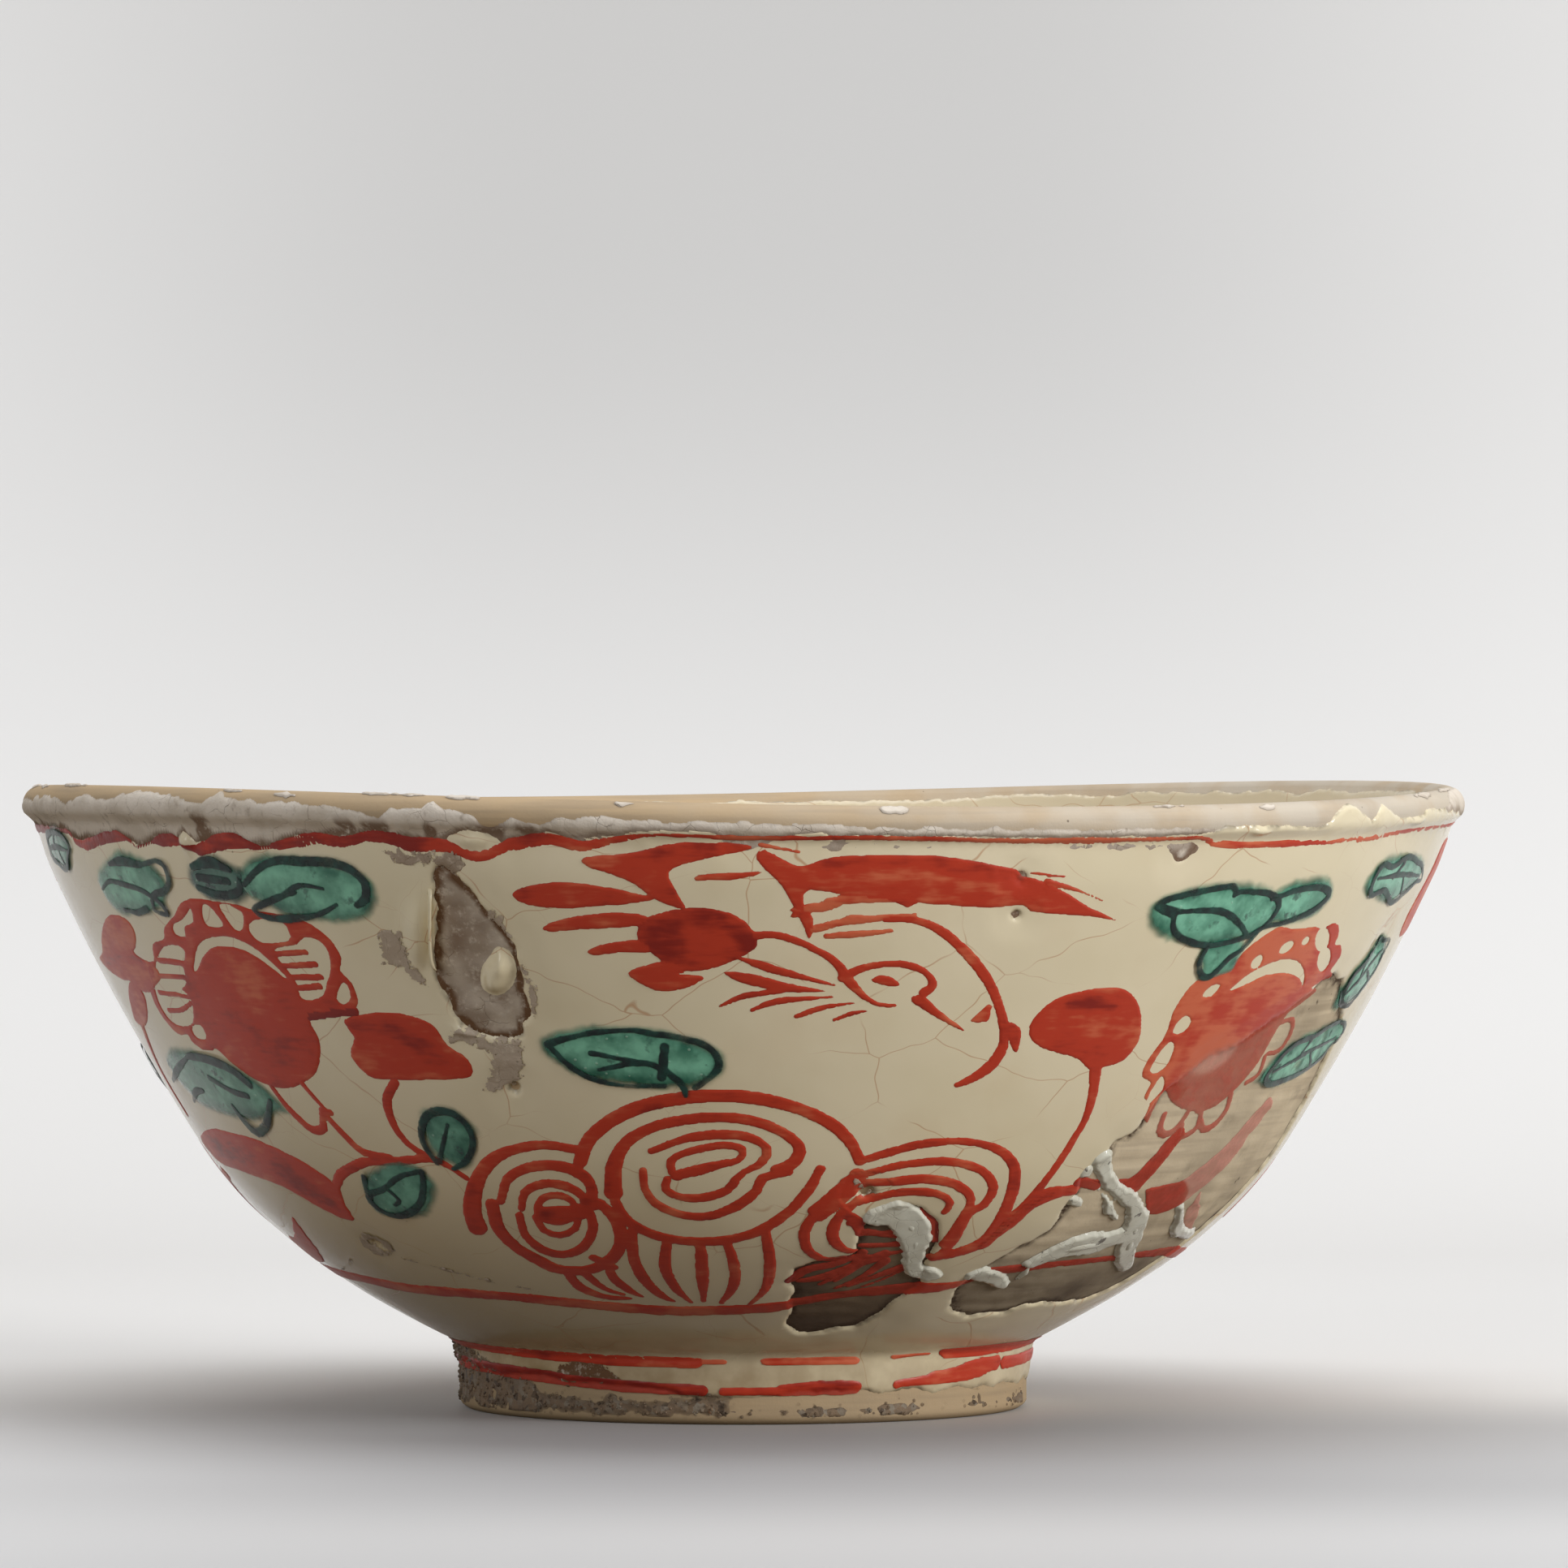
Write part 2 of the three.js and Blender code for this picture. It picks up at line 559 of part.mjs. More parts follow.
function bead(centre, path, width, height) {
	const curve = new THREE.SplineCurve(path.map(([x, y]) => v2(x, y)));
	const steps = path.length * 2;
	const count = BEAD_SECTION.length;
	const vertices = [onWall(centre, ...path[0], 0)];
	const faces = [];
	for (let i = 1; i < steps; i++) {
		const middle = curve.getPointAt(i / steps);
		const along = curve.getTangentAt(i / steps);
		const swell = Math.sin(Math.PI * i / steps) ** 0.4;
		for (const [a, off] of BEAD_SECTION) {
			const across = a * width * swell;
			vertices.push(onWall(centre, middle.x - along.y * across, middle.y + along.x * across, off * height * swell));
		}
	}
	const last = vertices.push(onWall(centre, ...path[path.length - 1], 0)) - 1;
	for (let k = 0; k < count; k++) {
		const l = (k + 1) % count;
		faces.push(0, 1 + l, 1 + k, last, last - count + k, last - count + l);
		for (let i = 0; i < steps - 2; i++) {
			const [a, b] = [1 + i * count, 1 + (i + 1) * count];
			faces.push(a + k, a + l, b + l, a + k, b + l, b + k);
		}
	}
	return largest(solidOf(vertices, faces).subtract(clay).subtract(outsideGlaze));
}

const ROLLS = {
	glaze_roll_low: [FRONT, [[16.6, 26.6], [18, 25.2], [19.2, 22.4], [18.6, 19.6], [18.4, 17]], 2, 1.5],
	glaze_roll_branch: [RIGHT, [[-14.6, 33.6], [-12.8, 32], [-8.4, 28.6], [-1.5, 24.2], [0.5, 21.2], [3.5, 17.3], [6.4, 16.3]], 2, 1.6],
	glaze_roll_side: [RIGHT, [[-12.3, 18.7], [-8.4, 20.4], [-4.6, 21]], 1.8, 1.4],
	glaze_roll_edge: [RIGHT, [[-16.6, 15.4], [-13.6, 13], [-10.6, 14.6]], 1.8, 1.5],
	glaze_roll_tail: [RIGHT, [[5.4, 26.6], [12.3, 21.7], [17.8, 19.2]], 1.8, 1.4],
	glaze_bead_in_scar: [FRONT, [[-26.4, 54.8], [-26, 57.5], [-26.6, 60.2]], 3.4, 2.2],
	lifted_flake: [FRONT, [[-31, 56], [-31.6, 61], [-31.2, 66.5]], 0.9, 2.6],
};
for (const [name, [centre, path, width, height]] of Object.entries(ROLLS)) {
	addPiece(name, bead(centre, path, width, height), ROLL_COLOUR, 0.25);
}

// Kiln sand stuck to the foot's bare clay.
const GRITS = {
	foot_grit_left: [-55, [[-17, 1], [-9, 1.2], [2, 1], [9, 1.2], [12, 2.2], [5, 2.5], [-1, 2.1], [-9, 2.5], [-16, 2.3]]],
	foot_grit_front: [15, [[-4, 1.1], [2, 1], [5, 1.6], [1, 2.3], [-3, 2]]],
	foot_grit_right: [60, [[-7, 1.2], [1, 1], [8, 1.4], [5, 2.3], [-2, 2.1], [-6, 2.5]]],
};
const gritCoat = coat(outsideRows.slice(0, FOOT_ROWS + 1), 0, GRIT).subtract(outsideGlaze);
for (const [name, [centre, outline]] of Object.entries(GRITS)) {
	addPiece(name, largest(gritCoat.intersect(block(centre, outlineOf(outline), onFoot))), GRIT_COLOUR, 1);
}

export default root;
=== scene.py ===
import math

import bpy
import numpy as np
from bpy.props import FloatProperty, FloatVectorProperty, IntProperty, PointerProperty
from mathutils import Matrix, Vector
from mathutils.geometry import delaunay_2d_cdt


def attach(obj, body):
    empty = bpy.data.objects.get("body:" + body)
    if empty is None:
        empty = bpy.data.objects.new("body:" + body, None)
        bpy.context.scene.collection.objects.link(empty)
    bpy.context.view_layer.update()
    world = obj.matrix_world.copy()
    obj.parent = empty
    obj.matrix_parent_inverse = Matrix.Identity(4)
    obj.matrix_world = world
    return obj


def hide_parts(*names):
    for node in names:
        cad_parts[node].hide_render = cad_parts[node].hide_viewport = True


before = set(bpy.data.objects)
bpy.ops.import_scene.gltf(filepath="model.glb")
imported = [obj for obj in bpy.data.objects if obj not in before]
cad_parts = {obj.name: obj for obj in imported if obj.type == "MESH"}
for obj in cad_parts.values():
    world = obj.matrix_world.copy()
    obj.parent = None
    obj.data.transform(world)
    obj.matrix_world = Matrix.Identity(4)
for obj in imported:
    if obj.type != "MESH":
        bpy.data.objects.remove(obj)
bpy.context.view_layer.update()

bl_info = {
    "name": "Footed Bowl with Peeling Glaze",
    "version": (1, 0, 0),
    "blender": (4, 5, 0),
    "location": "View3D > Sidebar > Bowl",
    "description": "Makes an old enamelled bowl: clay, slip, torn glaze, painting, kiln sand and a stage",
    "category": "Add Mesh",
}

MM = 0.001
AWAY = -3.0  # depth of a point well outside a mark, in millimetres
HAND = 0.3  # how far another turn of the hand moves a mark's points, in millimetres

# Centre lines of the pictures, in degrees round the bowl from the front

FRONT, LEFT, RIGHT, FAR_RIGHT, BACK_RIGHT, BACK_LEFT, BACK = 0, -52, 54, 84, 118, -118, 180
BACK_SCAR = 168


# Sizes and colours that a user would change


def length(name, metres, about):
    return FloatProperty(name=name, description=about, default=metres, unit="LENGTH", precision=5)


def turn(name, degrees, about):
    return FloatProperty(name=name, description=about, default=math.radians(degrees), subtype="ANGLE")


def colour(name, about, *rgb):
    """A colour property whose default is given as the eye sees it, from 0 to 255."""
    linear = [((c / 255 + 0.055) / 1.055) ** 2.4 if c > 10 else c / 255 / 12.92 for c in rgb]
    return FloatVectorProperty(name=name, description=about, default=linear, size=3, min=0, max=1,
                               subtype="COLOR")


class BowlSizes(bpy.types.PropertyGroup):
    """Sizes of the bowl, the same as those of its solids"""

    foot_radius: length("Foot radius", 0.0314, "Outside of the foot ring")
    foot_height: length("Foot height", 0.0088, "From the table to where the bowl leaves the foot")
    foot_cove: length("Foot cove", 0.0019, "Hollow curve between the foot ring and the bowl")
    foot_ring: length("Foot ring width", 0.0036, "Width of the ring at the table")
    foot_bevel: length("Foot bevel", 0.0008, "Bevel on the ring's outer edge")
    recess_depth: length("Recess depth", 0.0062, "Hollow inside the foot ring")
    rim_radius: length("Rim radius", 0.08, "Widest part of the lip")
    rim_height: length("Rim height", 0.0681, "Top of the lip before it warps")
    lip_height: length("Lip height", 0.0038, "Rounded lip above the wall")
    lip_flare: length("Lip flare", 0.0017, "How far the lip stands out from the wall")
    lip_round: length("Lip rounding", 0.0019, "Radius of the lip's rounding")
    belly_radius: length("Belly radius", 0.0598, "Where the belly passes into the wall")
    belly_height: length("Belly height", 0.03, "Height of the same place")
    underside_slope: turn("Underside slope", 27, "Rise of the underside where it leaves the foot")
    underside_run: length("Underside run", 0.014, "Length over which it keeps that slope")
    belly_run: length("Belly run", 0.01, "Length over which the belly keeps the wall's slope")
    wall_swell: length("Wall swell", 0.0007, "How far the steep wall bows out")
    rim_wall: length("Rim wall", 0.0032, "Thickness under the lip")
    belly_wall: length("Belly wall", 0.0044, "Thickness at the belly")
    floor_thickness: length("Floor thickness", 0.0056, "Over the hollow of the foot")
    floor_flat: length("Flat floor radius", 0.024, "Radius over which the floor is nearly flat")
    tilt: length("Rim tilt", 0.00075, "One side of the rim higher than the other")
    tilt_angle: turn("Tilt angle", 3, "Where the rim is highest")
    saddle: length("Rim saddle", 0.00104, "Two high sides and two low ones")
    saddle_angle: turn("Saddle angle", -65, "Where the high sides are")
    slip: length("Slip", 0.0003, "Thickness of the white slip band")
    glaze: length("Glaze", 0.0008, "Thickness of the outside glaze")
    inside_glaze: length("Inside glaze", 0.0006, "Thickness of the inside glaze")
    base_glaze: length("Base glaze", 0.0005, "Thickness of the glaze in the foot")
    green_relief: length("Green relief", 0.00022, "How far the green enamel stands up")
    red_relief: length("Red relief", 0.00007, "How far the red enamel stands up")
    columns: IntProperty(name="Columns", description="Facets round the turned pieces", default=288, min=24)


class BowlColours(bpy.types.PropertyGroup):
    """Colours of the bowl's materials"""

    clay: colour("Clay", "Bare buff clay of the lip and foot", 196, 170, 134)
    # stained clay, also used as painted shade on the lowest bare patches
    clay_dark: colour("Stained clay", "Clay under the lowest bare patches", 92, 76, 62)
    dirt: colour("Dirt", "Brown dirt in cracks and torn edges", 62, 42, 26)
    slip: colour("Slip", "Chalky white slip", 230, 219, 204)
    glaze: colour("Glaze", "Cream glaze", 243, 230, 197)
    glaze_pool: colour("Glaze pool", "Greyer, greener cream where the glaze is thick", 232, 219, 182)
    crackle: colour("Crackle", "Brown stain in the glaze's cracks", 186, 118, 60)
    roll: colour("Rolled glaze", "Pale cream of glaze that drew back", 222, 221, 205)
    red: colour("Red", "Iron red enamel", 194, 61, 37)
    red_dark: colour("Dark red", "Iron red enamel where it pools", 140, 33, 21)
    red_thin: colour("Thin red", "Iron red enamel where it is thin", 214, 108, 74)
    pink_on_clay: colour("Pink on clay", "What is left of thin red on bare clay", 230, 168, 154)
    red_on_clay: colour("Red on clay", "Iron red enamel left on bare clay", 188, 72, 54)
    green: colour("Green", "Green enamel where it is thick", 12, 102, 76)
    green_thin: colour("Thin green", "Green enamel where it is thin", 132, 206, 174)
    line: colour("Outline", "Black-green outline of the leaves", 14, 30, 28)
    grit: colour("Kiln sand", "Sand stuck to the foot", 142, 120, 96)
    floor: colour("Floor", "Paper floor behind the bowl", 246, 245, 243)
    # painted shade: the same paper as the floor, darker before the bowl
    floor_front: colour("Front of the floor", "Paper floor before the bowl", 179, 179, 180)
    # painted shade: the same paper as the floor, greyer up the backdrop
    backdrop: colour("Backdrop", "Paper behind the bowl", 205, 204, 202)
    bounce: colour("Bounce", "Light that the floor sends back to the bowl", 100, 84, 56)


# The bowl's outside as a chart


def bezier(points, count):
    """Points along a curve with any number of control points."""
    t = np.linspace(0, 1, count)[:, None]
    layer = [np.repeat(np.array([p], float), count, 0) for p in points]
    while len(layer) > 1:
        layer = [a + (b - a) * t for a, b in zip(layer, layer[1:])]
    return layer[0]


def unit(vector):
    return np.array(vector, float) / np.hypot(*vector)


def cloud(points, size, seed):
    """Smooth noise from -1 to 1 at points in millimetres, always the same for one seed."""
    grid = np.asarray(points) / size + 100
    cell = np.floor(grid).astype(np.int64)
    f = grid - cell
    f = f * f * (3 - 2 * f)
    total = 0
    for corner in range(8):
        step = np.array([corner & 1, corner >> 1 & 1, corner >> 2])
        x, y, z = (cell + step).T
        h = (x * 73856093 ^ y * 19349663 ^ z * 83492791 ^ seed * 2654435761) & 0xFFFFFFFF
        h = (h ^ h >> 15) * 2246822519 & 0xFFFFFFFF
        h = (h ^ h >> 13) * 3266489917 & 0xFFFFFFFF
        value = ((h ^ h >> 16) & 0xFFFF) / 32767.5 - 1
        total = total + value * np.prod(np.where(step, f, 1 - f), axis=1)
    return total


def smooth_path(points, closed=False, step=0.7):
    """A smooth path through given points, whose further columns are carried along."""
    points = np.array(points, float)
    count = len(points)
    if closed:
        ends = np.vstack([points[-1:], points, points[:2]])
    else:
        ends = np.vstack([2 * points[:1] - points[1:2], points, 2 * points[-1:] - points[-2:-1]])
    parts = []
    for i in range(count if closed else count - 1):
        a, b, c, d = ends[i:i + 4]
        t = np.linspace(0, 1, max(2, int(np.hypot(*(c - b)[:2]) / step)), endpoint=False)[:, None]
        bend = a - 2.5 * b + 2 * c - d / 2
        twist = 1.5 * (b - c) + (d - a) / 2
        parts.append(b + t * (c - a) / 2 + t**2 * bend + t**3 * twist)
    if not closed:
        parts.append(points[-1:])
    return np.vstack(parts)


class Wall:
    """The bowl's outside. v runs up it in millimetres from the foot's top, an angle in degrees round it."""

    def __init__(self, s):
        mm = 1000
        self.s = s
        foot_r, foot_z, cove = s.foot_radius * mm, s.foot_height * mm, s.foot_cove * mm
        belly = np.array([s.belly_radius, s.belly_height]) * mm
        top = np.array([s.rim_radius - s.lip_flare, s.rim_height - s.lip_height]) * mm
        foot_top = np.array([foot_r + cove, foot_z])
        chord = unit(top - belly)
        control = (top + belly) / 2 + 2 * s.wall_swell * mm * np.array([chord[1], -chord[0]])
        slope = unit(control - belly)
        rise = np.array([math.cos(s.underside_slope), math.sin(s.underside_slope)])
        foot = bezier([(foot_r, s.foot_bevel * mm), (foot_r, foot_z - cove)], 16)
        hollow = bezier([(foot_r, foot_z - cove), (foot_r, foot_z - cove / 3), foot_top], 10)
        under = bezier([foot_top, foot_top + rise * s.underside_run * mm,
                        belly - slope * s.belly_run * mm, belly], 60)
        steep = bezier([belly, control, top], 60)
        turn_by = np.radians(np.arange(-30, 91, 6))
        bead = np.array([s.rim_radius - s.lip_round, s.rim_height - s.lip_round]) * mm - (0.25, 0)
        lip = bead + s.lip_round * mm * np.column_stack([np.cos(turn_by), np.sin(turn_by)])
        self.outside = np.vstack([foot, hollow[1:], under[1:], steep[1:], lip])
        arc = np.concatenate([[0], np.cumsum(np.hypot(*np.diff(self.outside, axis=0).T))])
        self.arc = arc - arc[len(foot) + len(hollow) - 2]
        along = np.gradient(self.outside, self.arc, axis=0)
        along /= np.hypot(*along.T)[:, None]
        self.normal = np.column_stack([along[:, 1], -along[:, 0]])
        inner_top = top - (s.rim_wall * mm, 0)
        inner_belly = belly + s.belly_wall * mm * np.array([-slope[1], slope[0]])
        floor = (s.recess_depth + s.floor_thickness) * mm
        flat = s.floor_flat * mm
        over = np.radians(np.arange(96, 141, 6))
        lip_in = bead + s.lip_round * mm * np.column_stack([np.cos(over), np.sin(over)])
        self.lip_in = lip_in
        wall_in = bezier([inner_top, inner_belly], 24)
        bowl_in = bezier([inner_belly, inner_belly - slope * s.belly_run * mm,
                          (flat + s.underside_run * mm, floor), (flat, floor)], 40)
        self.inside = np.vstack([wall_in, bowl_in[1:], bezier([(flat, floor), (0, floor)], 8)[1:]])
        ring = foot_r - (s.foot_bevel + s.foot_ring) * mm
        depth = s.recess_depth * mm
        hollow_roof = bezier([(0, depth - 0.5), (ring * 0.6, depth - 0.3), (ring - 0.9, depth)], 14)
        self.recess = hollow_roof
        ring_face = [(ring - 0.35, depth - 0.7), (ring - 0.1, 0.5), (ring + 0.35, 0.02), (ring + 0.5, 0),
                     (foot_r - 1.1, 0), (foot_r - 0.8, 0.05), (foot_r - 0.2, 0.45)]
        self.clay = np.vstack([hollow_roof, ring_face, self.outside, lip_in, self.inside])

    def radius(self, v):
        return np.interp(v, self.arc, self.outside[:, 0])

    def lift(self, angle, height):
        s = self.s
        share = np.clip((height - s.foot_height * 1000) / ((s.rim_height - s.foot_height) * 1000), 0, 1)
        a = np.radians(angle)
        warp = s.tilt * np.cos(a - s.tilt_angle) + s.saddle * np.cos(2 * (a - s.saddle_angle))
        return warp * 1000 * share**2

    def place(self, angle, v, off=0):
        """Points in millimetres, stood off the clay by a distance, and never past the lip's own width."""
        r, z = (np.interp(v, self.arc, c) for c in self.outside.T)
        nr, nz = (np.interp(v, self.arc, c) for c in self.normal.T)
        off = np.minimum(off, (self.s.rim_radius * 1000 - 0.02 - r) / np.maximum(nr, 0.3))
        r, z = r + nr * off, z + nz * off
        a = np.radians(angle)
        return np.column_stack([r * np.sin(a), -r * np.cos(a), z + self.lift(angle, z)])


class Outside:
    """What the two charts of the outside share."""

    def place(self, angle, v, off):
        return self.wall.place(angle, v, off)


class Local(Outside):
    """A flat sheet on the outside, u round it from a centre angle and v up it."""

    def __init__(self, wall, centre, window):
        self.wall, self.centre, self.window = wall, centre, window

    def spot(self, p, q):
        return self.centre + np.degrees(p / self.wall.radius(q)), q


class Round(Outside):
    """The whole outside laid out as a flat ring, so that it has no seam."""

    SPREAD, HIGH = 33, 80

    def __init__(self, wall):
        self.wall = wall
        self.window = (-self.HIGH - self.SPREAD, self.HIGH + self.SPREAD) * 2

    def spot(self, p, q):
        return np.degrees(np.arctan2(p, q)), np.hypot(p, q) - self.SPREAD


class Hollow:
    """The whole inside laid out as a flat disc, v from the floor's middle out to the lip."""

    def __init__(self, wall):
        self.wall = wall
        line = np.vstack([wall.inside[::-1], wall.lip_in[::-1]])
        self.line = line
        self.arc = np.concatenate([[0], np.cumsum(np.hypot(*np.diff(line, axis=0).T))])
        along = np.gradient(line, self.arc, axis=0)
        along /= np.hypot(*along.T)[:, None]
        self.normal = np.column_stack([-along[:, 1], along[:, 0]])
        self.window = (-self.arc[-1] - 2, self.arc[-1] + 2) * 2

    def spot(self, p, q):
        return np.degrees(np.arctan2(p, -q)), np.hypot(p, q)

    def place(self, angle, v, off):
        r, z = (np.interp(v, self.arc, c) for c in self.line.T)
        nr, nz = (np.interp(v, self.arc, c) for c in self.normal.T)
        r, z = r + nr * off, z + nz * off
        a = np.radians(angle)
        return np.column_stack([r * np.sin(a), -r * np.cos(a), z + self.wall.lift(angle, z)])


# Brush marks


class Mark:
    """One mark on a chart, in millimetres: a brush line or a filled shape that adds, cuts or only shades."""

    def __init__(self, rows, filled=False, closed=False, kind="add", dry=0.0, tone=0.0):
        self.rows = np.array(rows, float)
        self.filled, self.closed, self.kind, self.dry, self.tone = filled, closed, kind, dry, tone
        self.path = smooth_path(self.rows, filled or closed)
        if filled or closed:
            self.path = np.vstack([self.path, self.path[:1]])

    def varied(self, draw):
        """The same mark by another turn of the hand."""
        count = len(self.rows)
        moved = np.column_stack([draw.normal(0, HAND, (count, 2)), np.zeros(count)])
        return Mark(self.rows + moved, self.filled, self.closed, self.kind, self.dry, self.tone)

    def depth(self, u, v):
        """How far inside the mark each point lies."""
        reach = self.path[:, 2].max() + 2.5
        low, high = self.path[:, :2].min(0) - reach, self.path[:, :2].max(0) + reach
        near = (u > low[0]) & (u < high[0]) & (v > low[1]) & (v < high[1])
        result = np.full(np.shape(u), AWAY)
        x, y = u[near], v[near]
        if not len(x):
            return result
        best = np.full(len(x), -99.0)
        inside = np.zeros(len(x), bool)
        for (ax, ay, aw), (bx, by, bw) in zip(self.path, self.path[1:]):
            dx, dy = bx - ax, by - ay
            square = dx * dx + dy * dy
            if square < 1e-12:
                continue
            t = np.clip(((x - ax) * dx + (y - ay) * dy) / square, 0, 1)
            best = np.maximum(best, aw + (bw - aw) * t - np.hypot(x - ax - dx * t, y - ay - dy * t))
            if self.filled:
                inside ^= ((ay > y) != (by > y)) & (x < ax + (y - ay) * dx / (dy if dy else 1e-9))
        if self.filled:
            best = np.where(inside, -best, best)
        if self.dry:
            streaks = cloud(np.column_stack([x / 5, y * 1.7, 0 * x]), 1, 71)
            best = best - self.dry * np.clip(streaks + 0.25, 0, 1)
        result[near] = np.maximum(best, AWAY)
        return result


def line(width, *points, closed=False, dry=0.0, tone=0.0):
    widths = width if isinstance(width, tuple) else (width, width)
    share = np.linspace(0, 1, len(points))
    swell = np.interp(share, np.linspace(0, 1, len(widths)), widths)
    return Mark([(*p, w / 2) for p, w in zip(points, swell)], closed=closed, dry=dry, tone=tone)


def blob(*points, dry=0.0, tone=0.0):
    return Mark([(*p, 0) for p in points], filled=True, dry=dry, tone=tone)


def tilted(u, v, tilt):
    """Turns places measured from a tilted mark's own middle into places on the chart."""
    c, s = math.cos(math.radians(tilt)), math.sin(math.radians(tilt))
    return lambda x, y: (u + x * c - y * s, v + x * s + y * c)


def oval(u, v, half_u, half_v, tilt=0):
    a = np.radians(np.arange(0, 360, 30))
    return blob(*np.column_stack(tilted(u, v, tilt)(half_u * np.cos(a), half_v * np.sin(a))))


def ring(width, u, v, half_u, half_v, tilt=0):
    points = oval(u, v, half_u, half_v, tilt).rows[:, :2]
    return line(width, *points, closed=True)


def gap(mark):
    """The same mark, taken out of those before it."""
    mark.kind = "cut"
    return mark


def shade(tone, mark):
    """The same mark, which only makes those before it darker, or paler below 0."""
    mark.kind, mark.tone = "shade", tone
    return mark


def ease(x, low, high):
    t = np.clip((x - low) / (high - low), 0, 1)
    return t * t * (3 - 2 * t)


def rolled_edge(depth, width):
    """How full a coat is, from 0 at its edge to 1 so many millimetres in."""
    t = np.clip(depth / width, 0, 1)
    return np.sqrt(np.clip(1 - (1 - t) ** 2, 0, 1))


def depth_of(marks, u, v):
    """How far inside the painting each point lies, and how dark the paint is there."""
    total, tone = np.full(np.shape(u), AWAY), np.zeros(np.shape(u))
    for mark in marks:
        depth = mark.depth(u, v)
        if mark.kind == "cut":
            total = np.minimum(total, -depth)
        elif mark.kind == "shade":
            tone = tone + mark.tone * ease(depth, -0.9, 0.6)
        else:
            tone = np.where(depth > total, mark.tone, tone)
            total = np.maximum(total, depth)
    return total, tone


def knots(table):
    """A smooth height round the bowl through given (angle, height) pairs."""
    table = sorted(table)
    table = [(table[-1][0] - 360, table[-1][1])] + table + [(table[0][0] + 360, table[0][1])]
    path = smooth_path(table, step=2)
    return lambda angle: np.interp((angle + 180) % 360 - 180, path[:, 0], path[:, 1])


# The painting, in millimetres from each picture's own centre line


